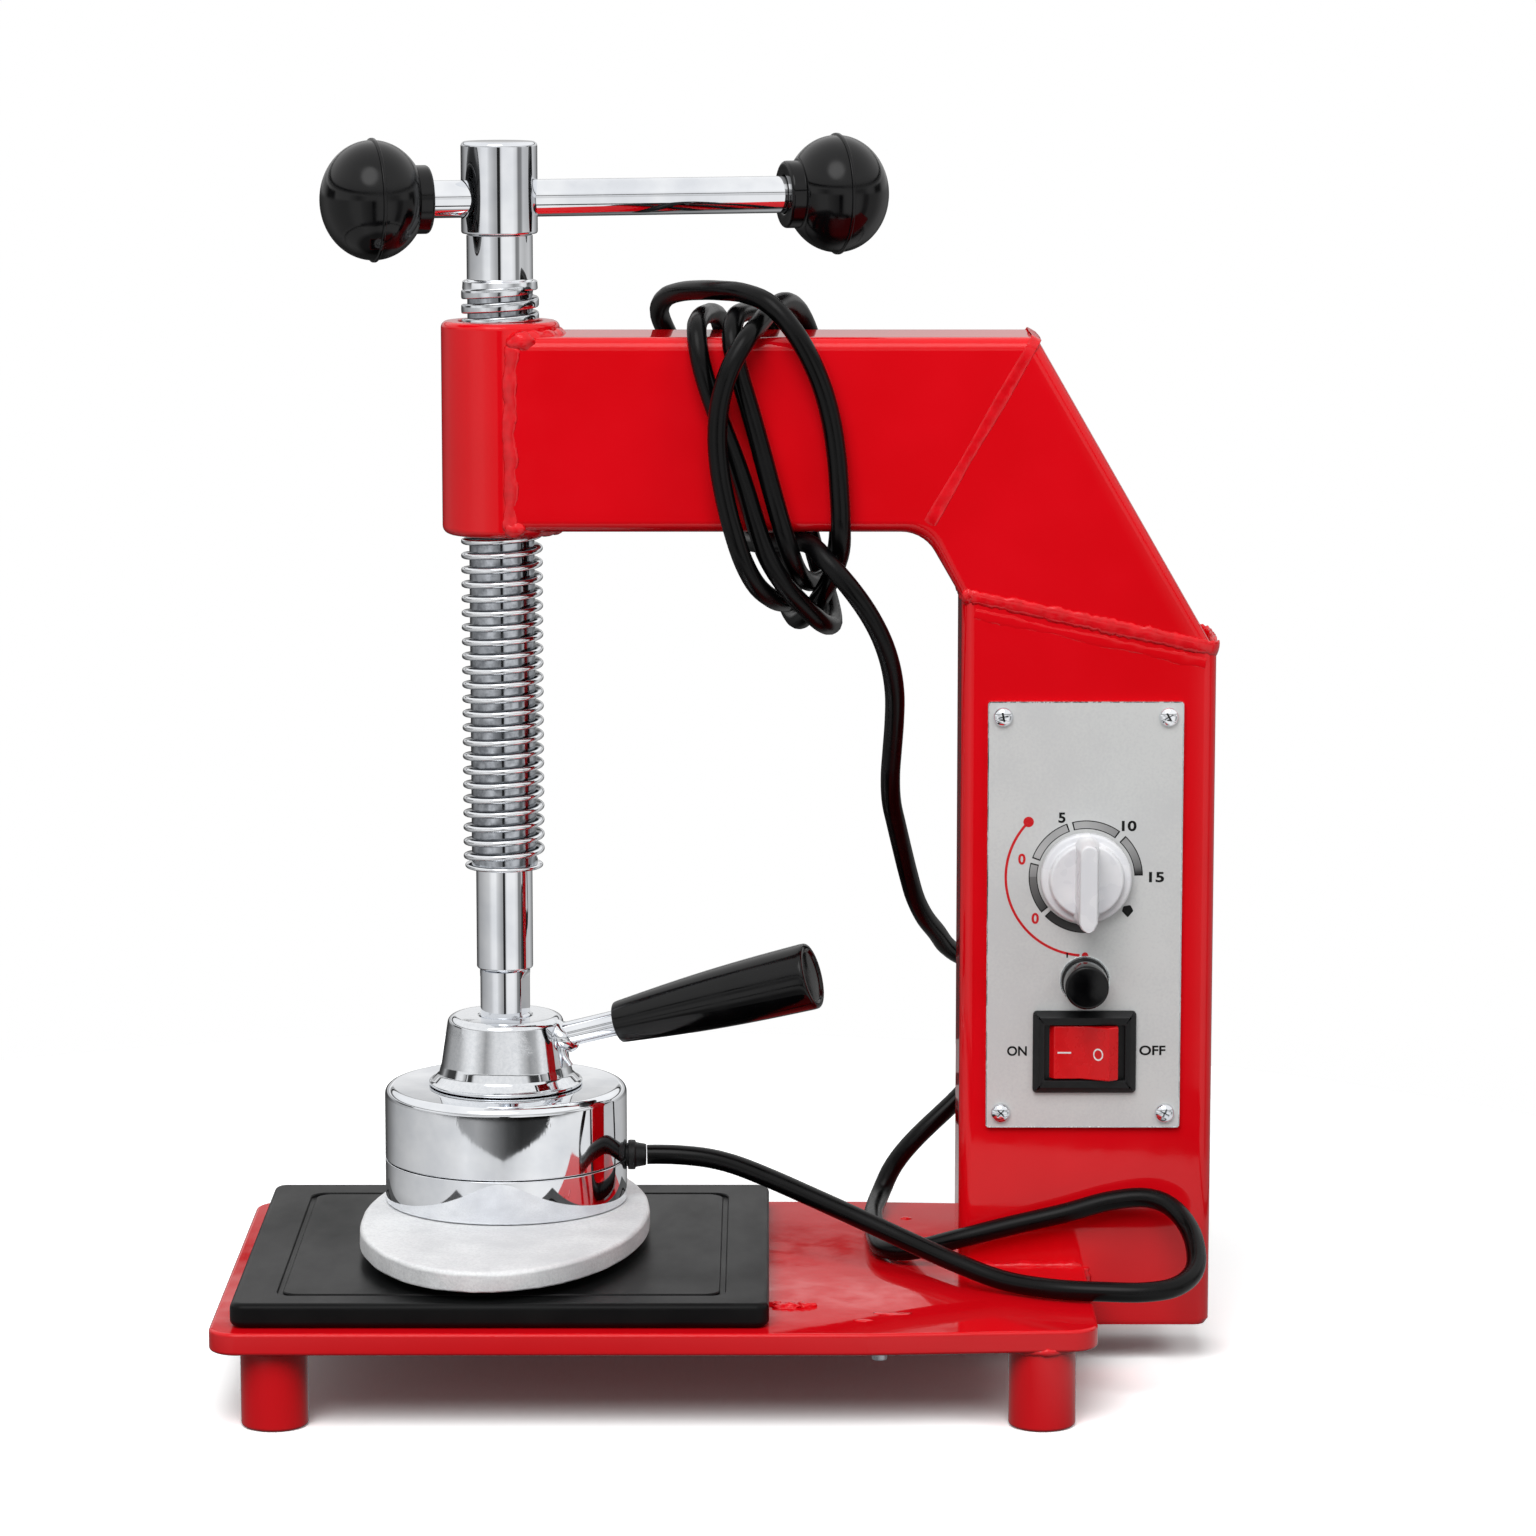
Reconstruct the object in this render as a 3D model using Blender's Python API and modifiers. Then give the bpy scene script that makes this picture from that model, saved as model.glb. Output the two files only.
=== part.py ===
# Bench vulcanizer for tyres: a welded press frame, a screw with a heated head, and a control panel.
# Metres, +Z up, +X to the right, the panel faces -Y. The origin is at the bottom centre of the rigid part.
import math

import bmesh
import bpy
import numpy as np
from mathutils import Matrix, Vector

MM = 0.001
FIT = 0.3 * MM  # gap between pieces that rest on or sit in each other
OVERRUN = 4.0 * MM  # how far a cutter runs past what it cuts
MERGE = 0.001 * MM  # points nearer than this are one point
BLANK = 1.0 * MM  # thickness of a tube's section before it is drawn out
QUARTER = math.pi / 2

# Frame
HALF_LENGTH = 154.35 * MM
PLATE_DEPTH = 172.6 * MM
PLATE_THICK = 6.9 * MM
PLATE_CORNER = 9.0 * MM
PLATE_EDGE = 1.2 * MM
PLATE_TAPER = 4.6 * MM
PLATE_TAPER_LENGTH = 70.2 * MM
FOOT_HEIGHT = 24.9 * MM
FOOT_RADIUS = 10.25 * MM
FOOT_EDGE = 1.0 * MM
FOOT_INSET_X = 19.15 * MM
FOOT_INSET_RIGHT = 16.8 * MM
FOOT_INSET_Y = 14.4 * MM
PLATE_BOTTOM = FOOT_HEIGHT
PLATE_TOP = PLATE_BOTTOM + PLATE_THICK

TUBE_DEPTH = 40.0 * MM
TUBE_WALL = 2.0 * MM
TUBE_CORNER = 4.0 * MM
AXIS_Y = 18.1 * MM  # middle of the tubes and of the screw
TUBE_FRONT = AXIS_Y - TUBE_DEPTH / 2
TUBE_BACK = AXIS_Y + TUBE_DEPTH / 2
COLUMN_WIDTH = 79.4 * MM
COLUMN_BOTTOM = 12.6 * MM
COLUMN_LEFT = HALF_LENGTH - COLUMN_WIDTH
PLATE_OVERLAP = 39.85 * MM  # how far the plate's ends run on beside the column
PLATE_LENGTH = HALF_LENGTH + COLUMN_LEFT + PLATE_OVERLAP
PLATE_RIGHT = PLATE_LENGTH - HALF_LENGTH
CAP_THICK = 3.0 * MM
ARM_HEIGHT = 60.4 * MM
ARM_TOP = 325.0 * MM
ARM_BOTTOM = ARM_TOP - ARM_HEIGHT
BRACE_INNER_DROP = 20.7 * MM  # how far the brace's inner edge runs down from the arm
BRACE_OUTER_DROP = 98.3 * MM
COLUMN_INNER_TOP = ARM_BOTTOM - BRACE_INNER_DROP
COLUMN_OUTER_TOP = ARM_TOP - BRACE_OUTER_DROP
BRACE_ANGLE = math.radians(-60)
ARM_START = 4.5 * MM  # from the screw's axis to the arm's end, before its saddle is cut
WELD_GAP = 0.15 * MM  # each tube end stays this far from its mitre plane

# Screw
AXIS_X = -68.65 * MM
BOSS_RADIUS = 18.5 * MM
BOSS_BELOW = 2.1 * MM
BOSS_ABOVE = 4.0 * MM
BOSS_BOTTOM = ARM_BOTTOM - BOSS_BELOW
BOSS_TOP = ARM_TOP + BOSS_ABOVE
BOSS_EDGE = 1.6 * MM
THREAD_RADIUS = 12.9 * MM
THREAD_ROOT = 10.2 * MM
THREAD_PITCH = 4.6 * MM
THREAD_CREST = 1.5 * MM
THREAD_ROOT_FLAT = 1.7 * MM
THREAD_STEPS = 10
THREAD_RUNNING = 0.35 * MM
SHANK_RADIUS = 8.9 * MM
SHANK_CHAMFER = 1.2 * MM
NECK_RADIUS = 7.95 * MM
NECK_FLAT = 6.9 * MM
TOP_NECK_RADIUS = 10.3 * MM
STAND_OUT = 26.7 * MM  # how far the screw stands out of the boss with the head down
TOP_NECK_LENGTH = 14.7 * MM
TOP_NECK_TOP = BOSS_TOP + STAND_OUT
THREAD_TOP = TOP_NECK_TOP - TOP_NECK_LENGTH
STUB_RADIUS = 6.0 * MM
STUB_HEIGHT = 3.2 * MM
HEAD_RADIUS = 11.9 * MM
HEAD_HEIGHT = 28.8 * MM
HEAD_EDGE = 1.0 * MM
HEAD_TOP_EDGE = 1.6 * MM
BAR_RISE = 11.1 * MM
BAR_HEIGHT = TOP_NECK_TOP + BAR_RISE

# Cross bar
BAR_ANGLE = math.radians(16.4)
BAR_RADIUS = 5.8 * MM
BAR_CHAMFER = 0.8 * MM
KNOB_LEFT = -40.1 * MM
KNOB_RIGHT = 109.6 * MM
KNOB_RADIUS = 18.5 * MM
KNOB_HALF = 16.3 * MM
KNOB_RING = 0.65 * MM
KNOB_RING_HALF = 0.8 * MM
COLLAR_RADIUS = 10.6 * MM
COLLAR_NEAR = 14.3 * MM
COLLAR_FAR = 19.2 * MM
KNOB_BORE_END = 4.0 * MM

# Pad
PAD_LENGTH = 163.1 * MM
PAD_DEPTH = 159.3 * MM
PAD_HEIGHT = 7.5 * MM
PAD_RIGHT = 15.1 * MM
PAD_BACK_INSET = 7.8 * MM
PAD_EDGE = 1.8 * MM
PAD_CORNER = 4.0 * MM
GROOVE_INSET = 13.0 * MM
GROOVE_WIDTH = 2.4 * MM
GROOVE_DEPTH = 1.0 * MM
GROOVE_CORNER = 5.0 * MM
PAD_LEFT = PAD_RIGHT - PAD_LENGTH
PAD_BACK = PLATE_DEPTH / 2 - PAD_BACK_INSET
PAD_FRONT = PAD_BACK - PAD_DEPTH
PAD_BOTTOM = PLATE_TOP + FIT
PAD_TOP = PAD_BOTTOM + PAD_HEIGHT

# Press head, from the pad upwards
PRESS_LENGTH = 156.0 * MM
PRESS_WIDTH = 90.0 * MM
PRESS_RIM = 5.3 * MM
PRESS_DISH = 3.9 * MM
PRESS_RIM_EDGE = 1.2 * MM
PRESS_OFFSET_X = 0.65 * MM
PRESS_OFFSET_Y = -19.3 * MM
PRESS_TURN = math.radians(-4)
CUP_RADIUS = 38.45 * MM
RING_HEIGHT = 13.7 * MM
RING_FLOOR = 3.0 * MM
RING_WALL = 4.4 * MM
COVER_HEIGHT = 23.1 * MM
COVER_WALL = 2.0 * MM
COVER_EDGE = 2.6 * MM
HUB_HEIGHT = 22.0 * MM
HUB_TOP_RADIUS = 18.0 * MM
HUB_WAIST_RADIUS = 20.6 * MM
HUB_FLARE_RADIUS = 24.35 * MM
HUB_RIM = 2.4 * MM
HUB_BORE_EDGE = 0.8 * MM
HUB_WAIST_HEIGHT = 4.4 * MM
HUB_FLARE_INNER = 22.3 * MM
HUB_FLARE_RISE = 2.2 * MM
HUB_SKIRT_HEIGHT = 0.85 * MM
HUB_FLOOR = 7.2 * MM
STUD_RADIUS = 4.0 * MM
STUD_SEAT = 4.0 * MM
NUT_RADIUS = 7.5 * MM
NUT_HEIGHT = 4.5 * MM
ELEMENT_INNER = 12.0 * MM
ELEMENT_OUTER = 31.0 * MM
ELEMENT_HEIGHT = 5.5 * MM
DISC_HEIGHT = 2.0 * MM
THERMOSTAT_RADIUS = 8.5 * MM
THERMOSTAT_LIP = 6.0 * MM
THERMOSTAT_HEIGHT = 9.0 * MM
THERMOSTAT_OFFSET = 19.0 * MM
WASHER_HEIGHT = 1.0 * MM
WASHER_HOLE = 3.0 * MM
GRUB_RADIUS = 2.4 * MM
GRUB_LENGTH = 9.5 * MM
GRUB_HEIGHT = 14.2 * MM
NECK_GROOVE_HALF = 2.9 * MM
NECK_GROOVE_DEPTH = 1.5 * MM
PRESS_BOTTOM = PAD_TOP + FIT
PRESS_RIM_BOTTOM = PRESS_BOTTOM + PRESS_DISH
PRESS_TOP = PRESS_RIM_BOTTOM + PRESS_RIM
RING_BOTTOM = PRESS_TOP + FIT
RING_TOP = RING_BOTTOM + RING_HEIGHT
COVER_BOTTOM = RING_TOP + FIT
COVER_TOP = COVER_BOTTOM + COVER_HEIGHT
HUB_BOTTOM = COVER_TOP + FIT
HUB_TOP = HUB_BOTTOM + HUB_HEIGHT
HUB_SEAT = HUB_BOTTOM + HUB_FLOOR
WASHER_BOTTOM = HUB_SEAT + FIT
NECK_BOTTOM = WASHER_BOTTOM + WASHER_HEIGHT + FIT
GRUB_Z = HUB_BOTTOM + GRUB_HEIGHT
SPANNER_ROOM = 15.3 * MM
SHANK_LENGTH = 32.5 * MM
SHANK_BOTTOM = HUB_TOP + SPANNER_ROOM
THREAD_BOTTOM = SHANK_BOTTOM + SHANK_LENGTH

# Side lever
LEVER_RISE = math.radians(16)
LEVER_SWING = math.radians(-15)
LEVER_HEIGHT = 10.7 * MM
LEVER_Z = HUB_BOTTOM + LEVER_HEIGHT
ROD_RADIUS = 4.0 * MM
ROD_INNER = 9.2 * MM
GRIP_START = 39.0 * MM
GRIP_LENGTH = 66.0 * MM
GRIP_THIN = 6.7 * MM
GRIP_THICK = 10.5 * MM
GRIP_SWELL = 0.7 * MM
GRIP_EDGE = 1.3 * MM
GRIP_BORE = 30.0 * MM

# Control panel
PANEL_WIDTH = 60.7 * MM
PANEL_HEIGHT = 135.0 * MM
PANEL_INSET_X = 8.35 * MM
PANEL_LEFT = COLUMN_LEFT + PANEL_INSET_X
PANEL_DROP = 14.7 * MM  # from the top of the column's outer side to the panel's top
PANEL_BOTTOM = COLUMN_OUTER_TOP - PANEL_DROP - PANEL_HEIGHT
PANEL_THICK = 1.2 * MM
PANEL_CORNER = 0.8 * MM
PANEL_SCREW_INSET = 4.6 * MM
PANEL_SCREW_DOME = 3.1 * MM
PANEL_SCREW_RISE = 1.9 * MM
PANEL_SCREW_SHANK = 1.6 * MM
PANEL_SCREW_LENGTH = 8.0 * MM
PANEL_BACK = TUBE_FRONT - FIT
PANEL_FRONT = PANEL_BACK - PANEL_THICK
CONTROL_INSET_X = 30.7 * MM
CONTROL_X = PANEL_LEFT + CONTROL_INSET_X
TIMER_HEIGHT = 79.9 * MM
FUSE_HEIGHT = 46.9 * MM
SWITCH_HEIGHT = 24.3 * MM
TIMER_Z = PANEL_BOTTOM + TIMER_HEIGHT
FUSE_Z = PANEL_BOTTOM + FUSE_HEIGHT
SWITCH_Z = PANEL_BOTTOM + SWITCH_HEIGHT

TIMER_SIDE = 44.0 * MM
TIMER_DEPTH = 24.0 * MM
TIMER_EDGE = 1.5 * MM
BUSH_RADIUS = 4.8 * MM
BUSH_PROUD = 1.2 * MM
SHAFT_RADIUS = 2.9 * MM
SHAFT_IN = 12.0 * MM
SHAFT_PROUD = 9.0 * MM
DIAL_GAP = 1.2 * MM
SKIRT_RADIUS = 13.75 * MM
SKIRT_RISE = 3.4 * MM
SKIRT_LIP = 1.0 * MM
DISC_RADIUS = 11.3 * MM
DISC_RISE = 6.4 * MM
RIDGE_HALF = 2.75 * MM
RIDGE_RISE = 17.0 * MM
RIDGE_TOP = 11.6 * MM
RIDGE_SHOULDER = 13.4 * MM
RIDGE_TIP = 17.2 * MM
RIDGE_EDGE = 0.9 * MM

FUSE_RADIUS = 5.8 * MM
FUSE_FLANGE = 7.4 * MM
FUSE_FLANGE_THICK = 1.6 * MM
FUSE_DEPTH = 30.0 * MM
FUSE_BORE = 3.4 * MM
FUSE_NUT_RADIUS = 9.0 * MM
FUSE_NUT_THICK = 4.0 * MM
FUSE_CAP_RADIUS = 6.85 * MM
FUSE_CAP_RISE = 10.5 * MM
FUSE_CAP_EDGE = 1.2 * MM
FUSE_STEM = 3.05 * MM
FUSE_STEM_LENGTH = 1.0 * MM
CARTRIDGE_RADIUS = 2.6 * MM
CARTRIDGE_LENGTH = 20.0 * MM

BEZEL_HALF_X = 16.2 * MM
BEZEL_HALF_Z = 13.1 * MM
BEZEL_RISE = 2.5 * MM
BEZEL_SLOPE = 1.1 * MM
BEZEL_CORNER = 1.2 * MM
SWITCH_HALF_X = 14.2 * MM
SWITCH_HALF_Z = 11.0 * MM
SWITCH_DEPTH = 24.0 * MM
ROCKER_HALF_X = 11.3 * MM
ROCKER_HALF_Z = 8.5 * MM
ROCKER_ANGLE = math.radians(12)
ROCKER_PIVOT = 3.5 * MM
ROCKER_SIDE = 4.4 * MM
ROCKER_BACK = 6.5 * MM
ROCKER_BACK_HALF = 6.0 * MM
ROCKER_SIDE_HALF = 10.4 * MM
ROCKER_SUNK = 4.0 * MM
POCKET_SIDE_GAP = 1.3 * MM
POCKET_DEPTH = 12.0 * MM

TERMINAL_LENGTH = 36.0 * MM
TERMINAL_DEPTH = 17.0 * MM
TERMINAL_HEIGHT = 15.0 * MM
TERMINAL_Z = COLUMN_BOTTOM + CAP_THICK + 2 * FIT
TERMINAL_SLOT = 2.0 * MM
TERMINAL_POLES = 3

# Cords and what they come out of
CORD_RADIUS = 3.1 * MM
CORD_STEP = 14.0 * MM
HEAD_END_STEP = 7.0 * MM
WINDING_STEP = 10.5 * MM
CORD_CLEARANCE = 1.2 * MM
ARM_CLEARANCE = 0.45 * MM
MAINS_HELD_BELOW = 42.6 * MM
MAINS_HELD_Z = ARM_BOTTOM - MAINS_HELD_BELOW
TAIL_START_X = 58.0 * MM
LEAST_REACH = 1.0 * MM  # keeps a division by a distance in bounds
ROUTE_COLUMN_LEFT = 74.95 * MM  # where the column's left side is in the routes below
ROUTE_FOLLOWS = 50.0 * MM  # from here to the right a route follows the column in full
ROUTE_ARM_BOTTOM = 264.6 * MM  # where the arm's underside is in the routes below
ROUTE_RISES = (110.0 * MM, 210.0 * MM)  # between these heights a route comes to follow the arm
PARTS = 4
NEIGHBOURS = 3
SETTLING_ROUNDS = 700
SPRING_SHARE = 0.01
BEND_SHARE = 0.01
EVEN_SHARE = 0.1
PUSH_SHARE = 0.1
GLAND_INSET_X = 29.05 * MM
GLAND_X = COLUMN_LEFT + GLAND_INSET_X
MAINS_GLAND_Z = 108.0 * MM
HEATER_GLAND_Z = 84.0 * MM
GLAND_FLANGE = 7.4 * MM
GLAND_FLANGE_THICK = 2.2 * MM
GLAND_BARREL = 4.9 * MM
GLAND_INSIDE = 3.0 * MM
GLAND_ROOT = 5.6 * MM
GLAND_TIP = 3.9 * MM
GLAND_LENGTH = 20.0 * MM
GLAND_RIBS = 4
GLAND_RIB_DEPTH = 0.5 * MM
LEAD_EXIT_Z = RING_TOP + FIT / 2
LEAD_COLLAR = 4.75 * MM
LEAD_COLLAR_LENGTH = 2.4 * MM
LEAD_NECK = 3.7 * MM
LEAD_NECK_IN = 5.0 * MM
LEAD_TAPER_LENGTH = 3.4 * MM
PLUG_RADIUS = 18.2 * MM
PLUG_BODY = 27.0 * MM
PLUG_WAIST = 11.0 * MM
PLUG_NECK = 5.0 * MM
PLUG_NECK_LENGTH = 16.0 * MM
PLUG_SHOULDER = 12.0 * MM
PLUG_EDGE = 1.5 * MM
PLUG_WAIST_DROP = 4.0 * MM
PLUG_SHOULDER_EDGE = 3.0 * MM
PLUG_FLARE = 1.5 * MM
PIN_RADIUS = 2.4 * MM
PIN_LENGTH = 19.0 * MM
PIN_SPREAD = 9.5 * MM
PLUG_INSET_X = 32.55 * MM
PLUG_Y = 57.0 * MM
PLUG_BELOW = 50.6 * MM
PLUG_TOP = (COLUMN_LEFT + PLUG_INSET_X, PLUG_Y, ARM_BOTTOM - PLUG_BELOW)


def clear_scene():
    for old in list(bpy.data.objects):
        bpy.data.objects.remove(old, do_unlink=True)
    for name in ("tire_vulcanizer", "cutters"):
        folder = bpy.data.collections.new(name)
        bpy.context.scene.collection.children.link(folder)


def paint(name, colour, roughness, metallic=0.0):
    made = bpy.data.materials.get(name)
    if made is None:
        made = bpy.data.materials.new(name)
        made.use_nodes = True
        shader = made.node_tree.nodes["Principled BSDF"]
        shader.inputs["Base Color"].default_value = (*colour, 1.0)
        shader.inputs["Roughness"].default_value = roughness
        shader.inputs["Metallic"].default_value = metallic
    return made


def enamel():
    return paint("red_enamel", (0.63, 0.006, 0.012), 0.16)


def chrome():
    return paint("bright_chrome", (0.78, 0.79, 0.81), 0.07, 1.0)


def steel():
    return paint("plain_steel", (0.50, 0.51, 0.52), 0.32, 1.0)


def cast_aluminium():
    return paint("cast_aluminium", (0.62, 0.63, 0.65), 0.45, 1.0)


def black_resin():
    return paint("black_resin", (0.008, 0.008, 0.009), 0.12)


def rubber():
    return paint("black_rubber", (0.022, 0.023, 0.023), 0.55)


def cord_cover():
    return paint("cord_cover", (0.012, 0.012, 0.013), 0.32)


def nylon(name, colour):
    return paint(name, colour, 0.4)


def black_nylon():
    return nylon("black_nylon", (0.02, 0.02, 0.02))


def add(name, data, look=None, folder="tire_vulcanizer"):
    piece = bpy.data.objects.new(name, data)
    bpy.data.collections[folder].objects.link(piece)
    if look is not None:
        data.materials.append(look)
    return piece


def smooth(piece, angle=math.radians(35)):
    piece.data.shade_smooth()
    piece.data.set_sharp_from_angle(angle=angle)
    return piece


def mesh_of(piece):
    # The piece as shown, as a mesh of its own, with doubled points joined.
    graph = bpy.context.evaluated_depsgraph_get()
    graph.update()
    made = bpy.data.meshes.new_from_object(piece.evaluated_get(graph))
    grid = bmesh.new()
    grid.from_mesh(made)
    bmesh.ops.remove_doubles(grid, verts=grid.verts, dist=MERGE)
    bmesh.ops.recalc_face_normals(grid, faces=grid.faces)
    grid.to_mesh(made)
    grid.free()
    return made


def spline(curve, points, cyclic):
    line = curve.splines.new("POLY")
    line.points.add(len(points) - 1)
    for spot, place in zip(line.points, points):
        spot.co = (*Vector(place).to_3d(), 1.0)
    line.use_cyclic_u = cyclic


def prism(name, outlines, thick, look, turn=Matrix(), folder="tire_vulcanizer"):
    # A flat outline, and any holes in it, drawn in XY, made thick from z = 0 up, then turned into place.
    curve = bpy.data.curves.new(name, "CURVE")
    curve.dimensions = "2D"
    curve.fill_mode = "BOTH"
    curve.extrude = thick / 2
    for outline in outlines:
        spline(curve, outline, True)
    drawn = add(name, curve, folder="cutters")
    made = mesh_of(drawn)
    bpy.data.objects.remove(drawn)
    bpy.data.curves.remove(curve)
    made.transform(turn @ Matrix.Translation((0, 0, thick / 2)))
    made.name = name
    return add(name, made, look, folder)


def turned(name, profile, look, steps=32, turn=Matrix(), folder="tire_vulcanizer", closed=False):
    # A profile of (radius, height), drawn down its outer side, turned about Z and moved into place.
    made = bpy.data.meshes.new(name)
    rim = [(r, 0, z) for r, z in profile]
    edges = [(i, i + 1) for i in range(len(rim) - 1)]
    if closed:
        edges.append((len(rim) - 1, 0))
    made.from_pydata(rim, edges, [])
    piece = add(name, made, look, folder)
    lathe = piece.modifiers.new("lathe", "SCREW")
    lathe.axis = "Z"
    lathe.angle = 2 * math.pi
    lathe.steps = lathe.render_steps = steps
    lathe.use_merge_vertices = True
    lathe.merge_threshold = MERGE
    lathe.use_smooth_shade = False
    solid = mesh_of(piece)
    bpy.data.objects.remove(piece)
    bpy.data.meshes.remove(made)
    solid.transform(turn)
    solid.name = name
    return smooth(add(name, solid, None, folder))


def box(name, low, high, look, folder="tire_vulcanizer"):
    made = bpy.data.meshes.new(name)
    spans = list(zip(low, high))
    corners = [(x, y, z) for x in spans[0] for y in spans[1] for z in spans[2]]
    faces = [(0, 1, 3, 2), (4, 6, 7, 5), (0, 4, 5, 1), (2, 3, 7, 6), (0, 2, 6, 4), (1, 5, 7, 3)]
    made.from_pydata(corners, [], faces)
    return add(name, made, look, folder)


def rounded(piece, width, segments=2, angle=math.radians(40)):
    edge = piece.modifiers.new("rounded_edges", "BEVEL")
    edge.width = width
    edge.segments = segments
    edge.limit_method = "ANGLE"
    edge.angle_limit = angle
    edge.use_clamp_overlap = True
    return piece


def combine(piece, other, operation):
    join = piece.modifiers.new(other.name, "BOOLEAN")
    join.operation = operation
    join.solver = "EXACT"
    join.object = other
    other.hide_render = True
    other.display_type = "WIRE"
    return piece


def cut(piece, cutter):
    return combine(piece, cutter, "DIFFERENCE")


def fuse(piece, addition):
    return combine(piece, addition, "UNION")


def along(direction, place):
    # Turns Z into the direction and moves the start of the piece to the place.
    return Matrix.Translation(place) @ Vector(direction).to_track_quat("Z", "Y").to_matrix().to_4x4()


def drill(name, radius, length, direction, place, steps=24):
    rod = [(0, length), (radius, length), (radius, 0), (0, 0)]
    return turned(name, rod, None, steps, along(direction, place), "cutters")


def arc(x, y, radius, start, end, steps):
    angles = [start + (end - start) * i / steps for i in range(steps + 1)]
    return [(x + radius * math.cos(a), y + radius * math.sin(a)) for a in angles]


def rounded_outline(left, right, bottom, top, corner, steps=4):
    middles = [(right, top), (left, top), (left, bottom), (right, bottom)]
    signs = [(-1, -1), (1, -1), (1, 1), (-1, 1)]
    outline = []
    for i, ((x, y), (across, up)) in enumerate(zip(middles, signs)):
        outline += arc(x + across * corner, y + up * corner, corner, i * QUARTER, (i + 1) * QUARTER, steps)
    return outline


def circle_outline(x, y, radius, steps=24):
    return arc(x, y, radius, 0, 2 * math.pi, steps)[:-1]


def facing_front(y):
    # Stands up what is drawn in XY: x stays, y becomes height, and thickness runs towards the viewer.
    return Matrix.Translation((0, y, 0)) @ Matrix.Rotation(math.pi / 2, 4, "X")


def smooth_line(points, step):
    # Points about one step apart on a smooth curve through the given ones.
    spots = [Vector(p) for p in points]
    spots = [2 * spots[0] - spots[1], *spots, 2 * spots[-1] - spots[-2]]
    fine = []
    parts = 16
    for a, b, c, d in zip(spots, spots[1:], spots[2:], spots[3:]):
        square, cube = 2 * a - 5 * b + 4 * c - d, 3 * b - a - 3 * c + d
        for i in range(parts):
            t = i / parts
            fine.append((2 * b + (c - a) * t + square * t**2 + cube * t**3) / 2)
    fine.append(spots[-2])
    line = np.array(fine)
    far = np.concatenate([[0], np.cumsum(np.linalg.norm(np.diff(line, axis=0), axis=1))])
    at = np.linspace(0, far[-1], max(2, round(far[-1] / step)) + 1)
    return [tuple(np.interp(s, far, line[:, k]) for k in range(3)) for s in at]


def length_of(points):
    return float(np.linalg.norm(np.diff(np.array(points), axis=0), axis=1).sum())


def cord(name, points, resolution):
    curve = bpy.data.curves.new(name, "CURVE")
    curve.dimensions = "3D"
    curve.bevel_depth = CORD_RADIUS
    curve.bevel_resolution = resolution
    curve.use_fill_caps = True
    spline(curve, points, False)
    return add(name, curve, cord_cover())


# Frame


def plate_outline():
    left, right = -HALF_LENGTH, PLATE_RIGHT
    front, half = -PLATE_DEPTH / 2, PLATE_DEPTH / 2
    narrow = half - PLATE_TAPER
    taper = PLATE_RIGHT - PLATE_TAPER_LENGTH
    corner = PLATE_CORNER
    notch = COLUMN_LEFT - FIT
    low, high = TUBE_FRONT - FIT, TUBE_BACK + FIT
    outline = arc(left + corner, front + corner, corner, 2 * QUARTER, 3 * QUARTER, 5)
    outline += [(taper, front)]
    outline += arc(right - corner, -narrow + corner, corner, 3 * QUARTER, 4 * QUARTER, 5)
    outline += [(right, low), (notch, low), (notch, high), (right, high)]
    outline += arc(right - corner, narrow - corner, corner, 0, QUARTER, 5)
    outline += [(taper, half)]
    outline += arc(left + corner, half - corner, corner, QUARTER, 2 * QUARTER, 5)
    return outline


def make_base():
    place = Matrix.Translation((0, 0, PLATE_BOTTOM))
    plate = prism("base_plate", [plate_outline()], PLATE_THICK, enamel(), place)
    rounded(plate, PLATE_EDGE)
    top = PLATE_BOTTOM - FIT
    profile = [(0, top), (FOOT_RADIUS, top), (FOOT_RADIUS, FOOT_EDGE), (FOOT_RADIUS - FOOT_EDGE, 0), (0, 0)]
    sides = {"left": -HALF_LENGTH + FOOT_INSET_X, "right": PLATE_RIGHT - FOOT_INSET_RIGHT}
    ends = {"front": -PLATE_DEPTH / 2 + FOOT_INSET_Y, "rear": PLATE_DEPTH / 2 - FOOT_INSET_Y}
    for end, y in ends.items():
        for side, x in sides.items():
            turned(f"foot_{end}_{side}", profile, enamel(), 24, Matrix.Translation((x, y, 0)))


def make_pad():
    # The pad's edges are turned in, and a shallow line runs round its top.
    size = (PAD_LEFT, PAD_RIGHT, PAD_FRONT, PAD_BACK)
    place = Matrix.Translation((0, 0, PAD_BOTTOM))
    pad = prism("rubber_pad", [rounded_outline(*size, PAD_CORNER, 3)], PAD_HEIGHT, rubber(), place)
    rounded(pad, PAD_EDGE)

    def inset(by):
        return rounded_outline(PAD_LEFT + by, PAD_RIGHT - by, PAD_FRONT + by, PAD_BACK - by, GROOVE_CORNER, 3)

    lines = [inset(GROOVE_INSET), inset(GROOVE_INSET + GROOVE_WIDTH)]
    place = Matrix.Translation((0, 0, PAD_TOP - GROOVE_DEPTH))
    cut(pad, prism("pad_line", lines, GROOVE_DEPTH + OVERRUN, None, place, "cutters"))


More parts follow.
